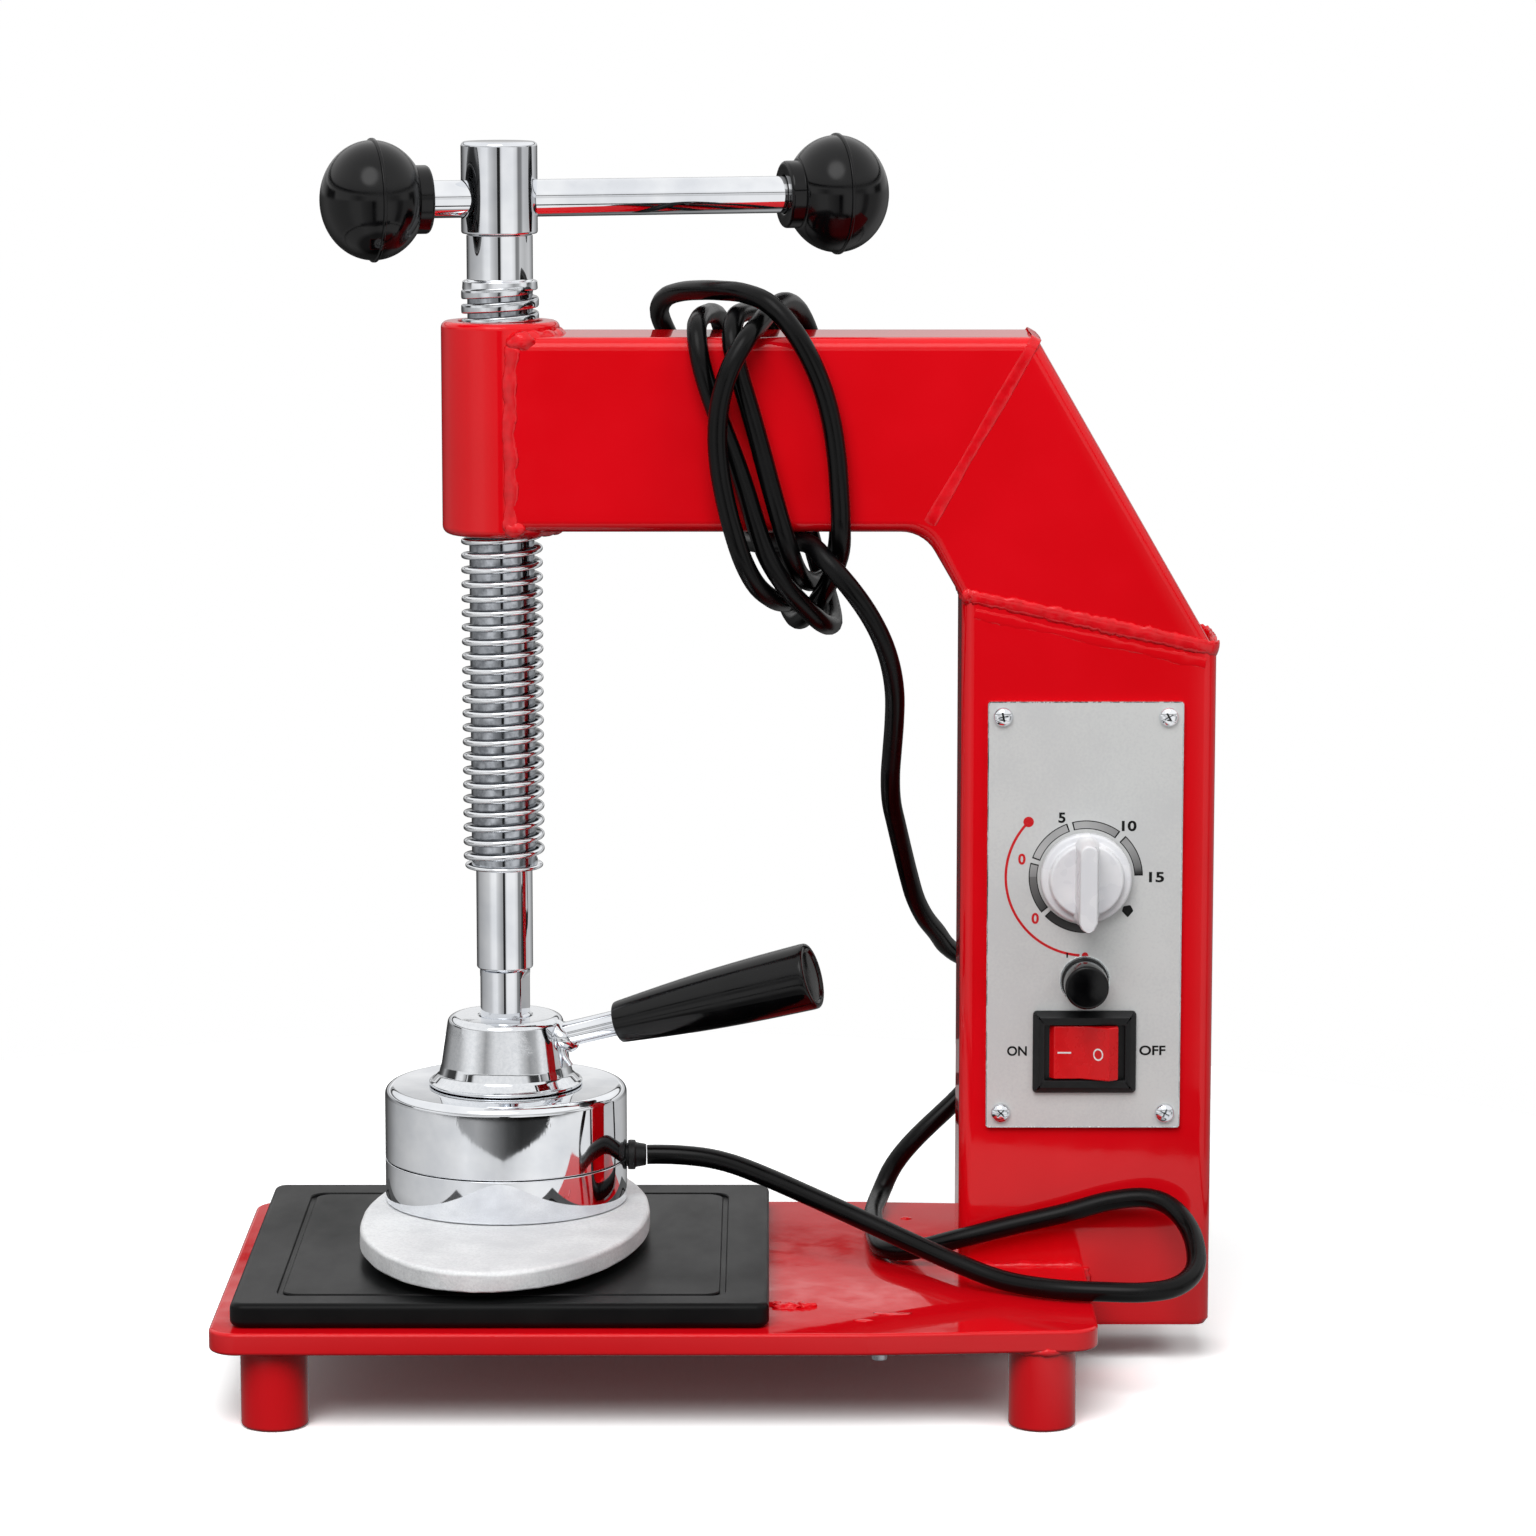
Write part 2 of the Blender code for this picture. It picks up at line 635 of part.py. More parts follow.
def tube(name, direction, low, high, start, end, look):
    # Square stock along a direction in XZ, between two distances along its normal, cut to two slanted ends.
    # Each end is a line in XZ: a point on it and the way it runs.
    ahead = Vector((math.cos(direction), 0, math.sin(direction)))
    side = Vector((-math.sin(direction), 0, math.cos(direction)))
    outer = rounded_outline(low, high, TUBE_FRONT, TUBE_BACK, TUBE_CORNER, 4)
    wall = TUBE_WALL
    front, back = TUBE_FRONT + wall, TUBE_BACK - wall
    inner = rounded_outline(low + wall, high - wall, front, back, TUBE_CORNER - wall, 4)
    piece = prism(name, [outer, inner], BLANK, look)

    def reach(across, line):
        (x, z), (run_x, run_z) = line
        gap = Vector((x, 0, z)) - side * across
        run = Vector((run_x, 0, run_z))
        det = ahead.x * -run.z + run.x * ahead.z
        return (gap.x * -run.z + run.x * gap.z) / det

    for vertex in piece.data.vertices:
        across, y, z = vertex.co
        u = reach(across, start) + WELD_GAP if z < BLANK / 2 else reach(across, end) - WELD_GAP
        vertex.co = side * across + ahead * u + Vector((0, y, 0))
    grid = bmesh.new()
    grid.from_mesh(piece.data)
    bmesh.ops.recalc_face_normals(grid, faces=grid.faces)
    grid.to_mesh(piece.data)
    grid.free()
    return smooth(piece)


def brace_corners():
    # Where the brace's edges meet the arm's and the column's edges, in XZ.
    slope = math.tan(BRACE_ANGLE)
    inner_low = (COLUMN_LEFT, COLUMN_INNER_TOP)
    outer_low = (HALF_LENGTH, COLUMN_OUTER_TOP)
    inner_high = (inner_low[0] + (ARM_BOTTOM - inner_low[1]) / slope, ARM_BOTTOM)
    outer_high = (outer_low[0] + (ARM_TOP - outer_low[1]) / slope, ARM_TOP)
    return inner_high, outer_high, inner_low, outer_low


def front_holes():
    # What passes through the panel and the column's front wall: name, outline in XZ.
    corner = FIT
    half_x, half_z = SWITCH_HALF_X + FIT, SWITCH_HALF_Z + FIT
    low, high = SWITCH_Z - half_z, SWITCH_Z + half_z
    holes = {
        "timer_hole": circle_outline(CONTROL_X, TIMER_Z, BUSH_RADIUS + FIT, 16),
        "fuse_hole": circle_outline(CONTROL_X, FUSE_Z, FUSE_RADIUS + FIT, 16),
        "switch_hole": rounded_outline(CONTROL_X - half_x, CONTROL_X + half_x, low, high, corner, 2),
    }
    for name, (x, z) in panel_screw_places().items():
        holes[name + "_hole"] = circle_outline(x, z, PANEL_SCREW_SHANK + FIT, 12)
    return holes


def panel_screw_places():
    inset = PANEL_SCREW_INSET
    sides = {"left": PANEL_LEFT + inset, "right": PANEL_LEFT + PANEL_WIDTH - inset}
    ends = {"top": PANEL_BOTTOM + PANEL_HEIGHT - inset, "bottom": PANEL_BOTTOM + inset}
    return {f"panel_screw_{end}_{side}": (x, z) for end, z in ends.items() for side, x in sides.items()}


def make_frame():
    inner_high, outer_high, inner_low, outer_low = brace_corners()
    arm_cut = (inner_high, (outer_high[0] - inner_high[0], outer_high[1] - inner_high[1]))
    column_cut = (inner_low, (outer_low[0] - inner_low[0], outer_low[1] - inner_low[1]))
    upright = ((0, 0), (0, 1))
    flat = ((0, COLUMN_BOTTOM), (1, 0))
    arm_end = ((AXIS_X + ARM_START, 0), upright[1])
    column = tube("column_tube", QUARTER, -HALF_LENGTH, -COLUMN_LEFT, flat, column_cut, enamel())
    arm = tube("arm_tube", 0, ARM_BOTTOM, ARM_TOP, arm_end, arm_cut, enamel())
    cos, sin = math.cos(BRACE_ANGLE), math.sin(BRACE_ANGLE)
    outside = -sin * outer_high[0] + cos * outer_high[1]
    inside = -sin * inner_high[0] + cos * inner_high[1]
    tube("brace_tube", BRACE_ANGLE, inside, outside, arm_cut, column_cut, enamel())
    for name, outline in front_holes().items():
        place = facing_front(TUBE_FRONT + TUBE_WALL + OVERRUN)
        cut(column, prism("column_" + name, [outline], TUBE_WALL + 2 * OVERRUN, None, place, "cutters"))
    for name, z in (("mains", MAINS_GLAND_Z), ("heater", HEATER_GLAND_Z)):
        place = (GLAND_X, TUBE_BACK - TUBE_WALL - OVERRUN, z)
        length = TUBE_WALL + 2 * OVERRUN
        cut(column, drill(f"{name}_gland_hole", GLAND_BARREL + FIT, length, (0, 1, 0), place))
    saddle = BOSS_RADIUS + FIT
    place = (AXIS_X, AXIS_Y, ARM_BOTTOM - OVERRUN)
    cut(arm, drill("boss_saddle", saddle, ARM_HEIGHT + 2 * OVERRUN, (0, 0, 1), place, 36))


def make_boss():
    edge, bore = BOSS_EDGE, THREAD_RADIUS + THREAD_RUNNING
    inside = BOSS_RADIUS - edge
    profile = [(bore, BOSS_TOP), *arc(inside, BOSS_TOP - edge, edge, QUARTER, 0, 2)]
    profile += [*arc(inside, BOSS_BOTTOM + edge, edge, 0, -QUARTER, 2), (bore, BOSS_BOTTOM)]
    turned("screw_boss", profile, enamel(), 36, Matrix.Translation((AXIS_X, AXIS_Y, 0)), closed=True)


def make_column_cap():
    gap = TUBE_WALL + FIT
    left, right = COLUMN_LEFT + gap, HALF_LENGTH - gap
    outline = rounded_outline(left, right, TUBE_FRONT + gap, TUBE_BACK - gap, TUBE_CORNER - TUBE_WALL, 3)
    prism("column_cap", [outline], CAP_THICK, enamel(), Matrix.Translation((0, 0, COLUMN_BOTTOM + FIT)))


# Screw


def thread_ridge():
    # One pitch of the ridge, carried round and up past both ends, then cut square where the thread stops.
    pitch, root, crest = THREAD_PITCH, THREAD_ROOT_FLAT, THREAD_CREST
    flank = (pitch - root - crest) / 2
    start = THREAD_BOTTOM - 2 * pitch
    turns = math.ceil((THREAD_TOP - THREAD_BOTTOM) / pitch) + 3
    section = [
        (THREAD_ROOT, start + pitch),
        (THREAD_ROOT, start + pitch - root),
        (THREAD_RADIUS, start + pitch - root - flank),
        (THREAD_RADIUS, start + flank),
        (THREAD_ROOT, start),
    ]
    made = bpy.data.meshes.new("thread")
    made.from_pydata([(r, 0, z) for r, z in section], [(i, i + 1) for i in range(len(section) - 1)], [])
    ridge = add("thread", made, None, "cutters")
    climb = ridge.modifiers.new("climb", "SCREW")
    climb.axis = "Z"
    climb.angle = 2 * math.pi
    climb.screw_offset = pitch
    climb.iterations = turns
    climb.steps = climb.render_steps = THREAD_STEPS
    climb.use_merge_vertices = True
    climb.merge_threshold = MERGE
    grid = bmesh.new()
    grid.from_mesh(mesh_of(ridge))
    for height, up in ((THREAD_BOTTOM, -1), (THREAD_TOP, 1)):
        every = grid.verts[:] + grid.edges[:] + grid.faces[:]
        found = bmesh.ops.bisect_plane(
            grid, geom=every, plane_co=(0, 0, height), plane_no=(0, 0, up), clear_outer=True, dist=MERGE / 10
        )
        rim = [e for e in found["geom_cut"] if isinstance(e, bmesh.types.BMEdge)]
        bmesh.ops.edgeloop_fill(grid, edges=rim)
    bmesh.ops.recalc_face_normals(grid, faces=grid.faces)
    solid = bpy.data.meshes.new("thread")
    grid.to_mesh(solid)
    grid.free()
    bpy.data.objects.remove(ridge)
    return solid


def make_screw():
    screw = add("press_screw", thread_ridge(), steel())
    inside = THREAD_PITCH / 2
    groove = NECK_RADIUS - NECK_GROOVE_DEPTH
    lower = [
        (0, THREAD_BOTTOM + inside),
        (SHANK_RADIUS, THREAD_BOTTOM + inside),
        (SHANK_RADIUS, SHANK_BOTTOM + SHANK_CHAMFER),
        (SHANK_RADIUS - SHANK_CHAMFER / 2, SHANK_BOTTOM),
        (NECK_RADIUS, SHANK_BOTTOM),
        (NECK_RADIUS, GRUB_Z + NECK_GROOVE_HALF),
        (groove, GRUB_Z + NECK_GROOVE_HALF),
        (groove, GRUB_Z - NECK_GROOVE_HALF),
        (NECK_RADIUS, GRUB_Z - NECK_GROOVE_HALF),
        (NECK_RADIUS, NECK_BOTTOM),
        (0, NECK_BOTTOM),
    ]
    upper = [
        (0, TOP_NECK_TOP + STUB_HEIGHT),
        (STUB_RADIUS, TOP_NECK_TOP + STUB_HEIGHT),
        (STUB_RADIUS, TOP_NECK_TOP),
        (TOP_NECK_RADIUS, TOP_NECK_TOP),
        (TOP_NECK_RADIUS, THREAD_TOP - inside),
        (0, THREAD_TOP - inside),
    ]
    fuse(screw, turned("shank", lower, None, 20, folder="cutters"))
    fuse(screw, turned("top_neck", upper, None, 20, folder="cutters"))
    screw.location = (AXIS_X, AXIS_Y, 0)
    for part in ("shank", "top_neck"):
        bpy.data.objects[part].location = screw.location
    # Two flats for a spanner between the shank and the hub.
    for side in (-1, 1):
        low = (AXIS_X - NECK_RADIUS - OVERRUN, AXIS_Y + side * NECK_FLAT, HUB_TOP + FIT)
        high = (AXIS_X + NECK_RADIUS + OVERRUN, AXIS_Y + side * (NECK_RADIUS + OVERRUN), SHANK_BOTTOM)
        corners = [[min(p) for p in zip(low, high)], [max(p) for p in zip(low, high)]]
        cut(screw, box(f"spanner_flat_{side}", *corners, None, "cutters"))


def make_screw_head():
    bottom, edge = TOP_NECK_TOP + FIT, HEAD_TOP_EDGE
    top, socket = TOP_NECK_TOP + HEAD_HEIGHT, TOP_NECK_TOP + STUB_HEIGHT + FIT
    profile = [
        (0, top),
        *arc(HEAD_RADIUS - edge, top - edge, edge, QUARTER, 0, 3),
        (HEAD_RADIUS, bottom + HEAD_EDGE),
        (HEAD_RADIUS - HEAD_EDGE, bottom),
        (STUB_RADIUS + FIT, bottom),
        (STUB_RADIUS + FIT, socket),
        (0, socket),
    ]
    head = turned("screw_head", profile, chrome(), 30, Matrix.Translation((AXIS_X, AXIS_Y, 0)))
    way = Vector((math.cos(BAR_ANGLE), math.sin(BAR_ANGLE), 0))
    start = Vector((AXIS_X, AXIS_Y, BAR_HEIGHT)) - way * (HEAD_RADIUS + OVERRUN)
    cut(head, drill("bar_hole", BAR_RADIUS + FIT, 2 * (HEAD_RADIUS + OVERRUN), way, start, 28))


def make_cross_bar():
    way = Vector((math.cos(BAR_ANGLE), math.sin(BAR_ANGLE), 0))
    middle = Vector((AXIS_X, AXIS_Y, BAR_HEIGHT))
    start, end = KNOB_LEFT + KNOB_BORE_END + FIT, KNOB_RIGHT - KNOB_BORE_END - FIT
    chamfer = BAR_RADIUS - BAR_CHAMFER
    profile = [
        (0, end),
        (chamfer, end),
        (BAR_RADIUS, end - BAR_CHAMFER),
        (BAR_RADIUS, start + BAR_CHAMFER),
        (chamfer, start),
        (0, start),
    ]
    turned("cross_bar", profile, chrome(), 28, along(way, middle))
    ball_knob("ball_knob_left", middle + way * KNOB_LEFT, way)
    ball_knob("ball_knob_right", middle + way * KNOB_RIGHT, -way)


def ball_knob(name, place, way):
    # An oblate ball with a raised parting ring and a collar on the bar's side, bored for the bar.
    bore = BAR_RADIUS + FIT
    start = math.asin(COLLAR_NEAR / KNOB_HALF)
    ring = math.asin(KNOB_RING_HALF / KNOB_HALF)

    def side(first, last, steps):
        angles = [first + (last - first) * i / steps for i in range(steps + 1)]
        return [(KNOB_RADIUS * math.cos(a), KNOB_HALF * math.sin(a)) for a in angles]

    raised = KNOB_RADIUS + KNOB_RING
    profile = [(0, KNOB_BORE_END), (bore, KNOB_BORE_END), (bore, COLLAR_FAR), (COLLAR_RADIUS, COLLAR_FAR)]
    profile += [(COLLAR_RADIUS, COLLAR_NEAR)] + side(start, ring, 5)
    profile += [(raised, KNOB_RING_HALF / 2), (raised, -KNOB_RING_HALF / 2)]
    profile += side(-ring, -QUARTER, 7)[:-1] + [(0, -KNOB_HALF)]
    turned(name, profile, black_resin(), 24, along(way, place))


# Press head


def at_axis():
    return Matrix.Translation((AXIS_X, AXIS_Y, 0))


def make_press_plate():
    # An oval with a square rim whose underside is dished outwards, with a socket for the stud.
    steps = 36
    bulge_shares = [(1.0, 0.0), (0.93, 0.32), (0.78, 0.62), (0.52, 0.87), (0.0, 1.0)]
    grid = bmesh.new()
    middle = (AXIS_X + PRESS_OFFSET_X, AXIS_Y + PRESS_OFFSET_Y)
    turn = Matrix.Translation((*middle, 0)) @ Matrix.Rotation(PRESS_TURN, 4, "Z")
    edge = PRESS_RIM_EDGE
    levels = [(0, 0, PRESS_TOP), (1, -edge, PRESS_TOP), (1, 0, PRESS_TOP - edge)]
    levels += [(share, 0, PRESS_RIM_BOTTOM - drop * PRESS_DISH) for share, drop in bulge_shares]
    rings = []
    for share, inset, z in levels:
        if share == 0:
            rings.append([grid.verts.new(turn @ Vector((0, 0, z)))])
            continue
        half_x, half_y = (PRESS_WIDTH / 2 + inset) * share, (PRESS_LENGTH / 2 + inset) * share
        angles = [2 * math.pi * i / steps for i in range(steps)]
        spots = [Vector((half_x * math.cos(a), half_y * math.sin(a), z)) for a in angles]
        rings.append([grid.verts.new(turn @ spot) for spot in spots])
    for upper, lower in zip(rings, rings[1:]):
        for i in range(steps):
            j = (i + 1) % steps
            pairs = ((upper, i), (lower, i), (lower, j), (upper, j))
            corners = [ring[spot % len(ring)] for ring, spot in pairs]
            grid.faces.new(list(dict.fromkeys(corners)))
    bmesh.ops.recalc_face_normals(grid, faces=grid.faces)
    made = bpy.data.meshes.new("press_plate")
    grid.to_mesh(made)
    grid.free()
    plate = smooth(add("press_plate", made, cast_aluminium()))
    place = (AXIS_X, AXIS_Y, PRESS_TOP - STUD_SEAT)
    cut(plate, drill("stud_seat", STUD_RADIUS + FIT, STUD_SEAT + OVERRUN, (0, 0, 1), place, 20))


def make_heater():
    hole = STUD_RADIUS + FIT
    inner = CUP_RADIUS - RING_WALL
    floor = RING_BOTTOM + RING_FLOOR
    profile = [(inner, RING_TOP), (CUP_RADIUS, RING_TOP), (CUP_RADIUS, RING_BOTTOM), (hole, RING_BOTTOM)]
    profile += [(hole, floor), (inner, floor)]
    ring = turned("heater_ring", profile, chrome(), 40, at_axis(), closed=True)

    edge, wall = COVER_EDGE, COVER_WALL
    inner = CUP_RADIUS - wall
    bend = arc(CUP_RADIUS - edge, COVER_TOP - edge, edge, QUARTER, 0, 4)
    profile = [(hole, COVER_TOP), *bend, (CUP_RADIUS, COVER_BOTTOM), (inner, COVER_BOTTOM)]
    profile += [(inner, COVER_TOP - wall), (hole, COVER_TOP - wall)]
    cover = turned("heater_cover", profile, chrome(), 40, at_axis(), closed=True)
    for piece in (ring, cover):
        place = (AXIS_X + CUP_RADIUS - RING_WALL - OVERRUN, AXIS_Y, LEAD_EXIT_Z)
        name = piece.name + "_lead_notch"
        cut(piece, drill(name, LEAD_NECK + FIT, RING_WALL + 2 * OVERRUN, (1, 0, 0), place, 20))

    low = floor + FIT
    high = low + ELEMENT_HEIGHT
    profile = [(ELEMENT_INNER, high), (ELEMENT_OUTER, high), (ELEMENT_OUTER, low), (ELEMENT_INNER, low)]
    turned("heating_element", profile, steel(), 28, at_axis(), closed=True)

    low = high + FIT
    high = low + DISC_HEIGHT
    outer = CUP_RADIUS - RING_WALL - FIT
    profile = [(hole, high), (outer, high), (outer, low), (hole, low)]
    mica = nylon("mica", (0.42, 0.35, 0.22))
    disc = turned("insulation_disc", profile, mica, 28, at_axis(), closed=True)
    place = (AXIS_X + CUP_RADIUS - RING_WALL - OVERRUN, AXIS_Y, LEAD_EXIT_Z)
    cut(disc, drill("disc_lead_notch", LEAD_NECK + FIT, RING_WALL + 2 * OVERRUN, (1, 0, 0), place, 20))

    low = high + FIT
    high = low + THERMOSTAT_HEIGHT
    lip, rim = THERMOSTAT_LIP, THERMOSTAT_RADIUS
    shoulder = low + THERMOSTAT_HEIGHT / 2
    profile = [(0, high), (lip, high), (lip, shoulder), (rim, shoulder), (rim, low), (0, low)]
    place = Matrix.Translation((AXIS_X - THERMOSTAT_OFFSET, AXIS_Y, 0))
    turned("thermostat", profile, nylon("phenolic", (0.05, 0.03, 0.02)), 16, place)


def make_stud():
    bottom, top = PRESS_TOP - STUD_SEAT + FIT, HUB_BOTTOM + STUD_SEAT - FIT
    profile = [(0, top), (STUD_RADIUS, top), (STUD_RADIUS, bottom), (0, bottom)]
    turned("centre_stud", profile, steel(), 20, at_axis())
    high = COVER_TOP - COVER_WALL - FIT
    outlines = [circle_outline(0, 0, NUT_RADIUS, 6), circle_outline(0, 0, STUD_RADIUS + FIT, 20)]
    place = Matrix.Translation((AXIS_X, AXIS_Y, high - NUT_HEIGHT))
    prism("stud_nut", outlines, NUT_HEIGHT, steel(), place)


def make_hub():
    bore, rim = NECK_RADIUS + FIT, HUB_RIM
    seat = HUB_SEAT
    profile = [(0, seat), (bore, seat), (bore, HUB_TOP - HUB_BORE_EDGE), (bore + HUB_BORE_EDGE, HUB_TOP)]
    profile += arc(HUB_TOP_RADIUS - rim, HUB_TOP - rim, rim, QUARTER, 0, 3)
    profile += [
        (HUB_WAIST_RADIUS, HUB_BOTTOM + HUB_WAIST_HEIGHT),
        (HUB_FLARE_INNER, HUB_BOTTOM + HUB_FLARE_RISE),
        (HUB_FLARE_RADIUS, HUB_BOTTOM + HUB_SKIRT_HEIGHT),
        (HUB_FLARE_RADIUS, HUB_BOTTOM),
        (STUD_RADIUS + FIT, HUB_BOTTOM),
        (STUD_RADIUS + FIT, HUB_BOTTOM + STUD_SEAT),
        (0, HUB_BOTTOM + STUD_SEAT),
    ]
    hub = turned("head_hub", profile, chrome(), 30, at_axis())
    way, start = lever_line(ROD_INNER - OVERRUN / 2)
    cut(hub, drill("lever_hole", ROD_RADIUS + FIT, HUB_FLARE_RADIUS, way, start, 20))
    start = (AXIS_X, AXIS_Y + NECK_RADIUS - NECK_GROOVE_DEPTH, GRUB_Z)
    cut(hub, drill("grub_hole", GRUB_RADIUS + FIT, HUB_FLARE_RADIUS, (0, 1, 0), start, 16))


def lever_line(distance):
    way = Vector(
        (
            math.cos(LEVER_RISE) * math.cos(LEVER_SWING),
            math.cos(LEVER_RISE) * math.sin(LEVER_SWING),
            math.sin(LEVER_RISE),
        )
    )
    return way, Vector((AXIS_X, AXIS_Y, LEVER_Z)) + way * distance


def make_lever():
    way, start = lever_line(ROD_INNER)
    reach = GRIP_START + GRIP_BORE - FIT - ROD_INNER
    profile = [(0, reach), (ROD_RADIUS, reach), (ROD_RADIUS, 0), (0, 0)]
    turned("lever_rod", profile, chrome(), 24, along(way, start))
    way, start = lever_line(GRIP_START)
    edge, bore = GRIP_EDGE, ROD_RADIUS + FIT
    spots = 5
    side = []
    for i in range(spots + 1):
        share = 1 - i / spots
        swell = GRIP_SWELL * math.sin(math.pi * share)
        radius = GRIP_THIN + (GRIP_THICK - GRIP_THIN) * share + swell
        side.append((radius, edge + (GRIP_LENGTH - 2 * edge) * share))
    profile = [(0, GRIP_LENGTH), (GRIP_THICK - edge, GRIP_LENGTH), *side]
    profile += [(GRIP_THIN - edge, 0), (bore, 0), (bore, GRIP_BORE), (0, GRIP_BORE)]
    turned("lever_grip", profile, black_resin(), 24, along(way, start))


def make_head_fittings():
    place = at_axis() @ Matrix.Translation((0, 0, WASHER_BOTTOM))
    outer = NECK_RADIUS
    profile = [(WASHER_HOLE, WASHER_HEIGHT), (outer, WASHER_HEIGHT), (outer, 0), (WASHER_HOLE, 0)]
    turned("thrust_washer", profile, steel(), 16, place, closed=True)
    start = (AXIS_X, AXIS_Y + NECK_RADIUS - NECK_GROOVE_DEPTH + FIT, GRUB_Z)
    profile = [(0, GRUB_LENGTH), (GRUB_RADIUS, GRUB_LENGTH), (GRUB_RADIUS, 0), (0, 0)]
    turned("retaining_screw", profile, steel(), 16, along((0, 1, 0), start))
    length = LEAD_COLLAR_LENGTH + LEAD_TAPER_LENGTH
    profile = [
        (0, length),
        (CORD_RADIUS + FIT, length),
        (LEAD_NECK + FIT, LEAD_COLLAR_LENGTH),
        (LEAD_COLLAR, LEAD_COLLAR_LENGTH),
        (LEAD_COLLAR, 0),
        (LEAD_NECK, 0),
        (LEAD_NECK, -LEAD_NECK_IN),
        (0, -LEAD_NECK_IN),
    ]
    place = (AXIS_X + CUP_RADIUS + FIT, AXIS_Y, LEAD_EXIT_Z)
    turned("lead_gland", profile, rubber(), 16, along((1, 0, 0), place))


# Panel and controls


def make_panel():
    right, top = PANEL_LEFT + PANEL_WIDTH, PANEL_BOTTOM + PANEL_HEIGHT
    outline = rounded_outline(PANEL_LEFT, right, PANEL_BOTTOM, top, PANEL_CORNER, 2)
    look = paint("panel_aluminium", (0.58, 0.58, 0.58), 0.42, 0.6)
    prism("control_panel", [outline, *front_holes().values()], PANEL_THICK, look, facing_front(PANEL_BACK))
    dome, shank, rise = PANEL_SCREW_DOME, PANEL_SCREW_SHANK, PANEL_SCREW_RISE
    head = [(dome * math.cos(a), rise * math.sin(a)) for a in (QUARTER * i / 3 for i in range(3, -1, -1))]
    head[0] = (0, rise)
    profile = head + [(shank, 0), (shank, -PANEL_SCREW_LENGTH), (0, -PANEL_SCREW_LENGTH)]
    for name, (x, z) in panel_screw_places().items():
        turned(name, profile, chrome(), 12, along((0, -1, 0), (x, PANEL_FRONT - FIT, z)))


def make_timer():
    half = TIMER_SIDE / 2
    front = TUBE_FRONT + TUBE_WALL + FIT
    low = (CONTROL_X - half, front, TIMER_Z - half)
    high = (CONTROL_X + half, front + TIMER_DEPTH, TIMER_Z + half)
    body = box("timer_body", low, high, nylon("timer_case", (0.75, 0.73, 0.66)))
    rounded(body, TIMER_EDGE)
    # The threaded bush stands through the wall and the panel, and the shaft turns in it.
    proud = front - PANEL_FRONT + BUSH_PROUD
    start = (CONTROL_X, front + OVERRUN, TIMER_Z)
    fuse(body, drill("timer_bush", BUSH_RADIUS, proud + OVERRUN, (0, -1, 0), start))
    start = (CONTROL_X, front + SHAFT_IN, TIMER_Z)
    cut(body, drill("shaft_bore", SHAFT_RADIUS + FIT, SHAFT_IN + proud + OVERRUN, (0, -1, 0), start, 20))
    length = SHAFT_IN - FIT + front - PANEL_FRONT + SHAFT_PROUD
    profile = [(0, length), (SHAFT_RADIUS, length), (SHAFT_RADIUS, 0), (0, 0)]
    start = (CONTROL_X, front + SHAFT_IN - FIT, TIMER_Z)
    turned("timer_shaft", profile, steel(), 20, along((0, -1, 0), start))
    make_timer_knob()


def make_timer_knob():
    # A skirt, a raised disc and a finger ridge whose tip points down at rest.
    back = PANEL_FRONT - DIAL_GAP
    bore, depth = SHAFT_RADIUS + FIT, PANEL_FRONT - SHAFT_PROUD - FIT
    hollow = back - depth
    recess = BUSH_RADIUS + 2 * FIT
    profile = [
        (0, DISC_RISE),
        (DISC_RADIUS - SKIRT_LIP, DISC_RISE),
        (DISC_RADIUS, DISC_RISE - SKIRT_LIP),
        (DISC_RADIUS, SKIRT_RISE),
        (SKIRT_RADIUS - SKIRT_LIP, SKIRT_RISE),
        (SKIRT_RADIUS, SKIRT_RISE - SKIRT_LIP),
        (SKIRT_RADIUS, 0),
        (recess, 0),
        (recess, BUSH_PROUD),
        (bore, BUSH_PROUD),
        (bore, hollow),
        (0, hollow),
    ]
    white = nylon("white_knob", (0.80, 0.81, 0.83))
    place = along((0, -1, 0), (CONTROL_X, back, TIMER_Z))
    if hollow > DISC_RISE - SKIRT_LIP:
        wall, high = bore + SKIRT_LIP, hollow + SKIRT_LIP
        profile = [(0, high), (wall, high), (wall, DISC_RISE)] + profile[1:]
    knob = turned("timer_knob", profile, white, 28, place)
    half = RIDGE_HALF
    outline = [(half, RIDGE_TOP - half), *arc(0, RIDGE_TOP - half, half, 0, math.pi, 6)[1:-1]]
    outline += [(-half, RIDGE_TOP - half), (-half, -RIDGE_SHOULDER), (0, -RIDGE_TIP), (half, -RIDGE_SHOULDER)]
    outline = [(x + CONTROL_X, z + TIMER_Z) for x, z in outline]
    start = hollow + SKIRT_LIP / 2
    ridge = prism("ridge", [outline], RIDGE_RISE - start, None, facing_front(back - start), "cutters")
    rounded(ridge, RIDGE_EDGE)
    fuse(knob, ridge)


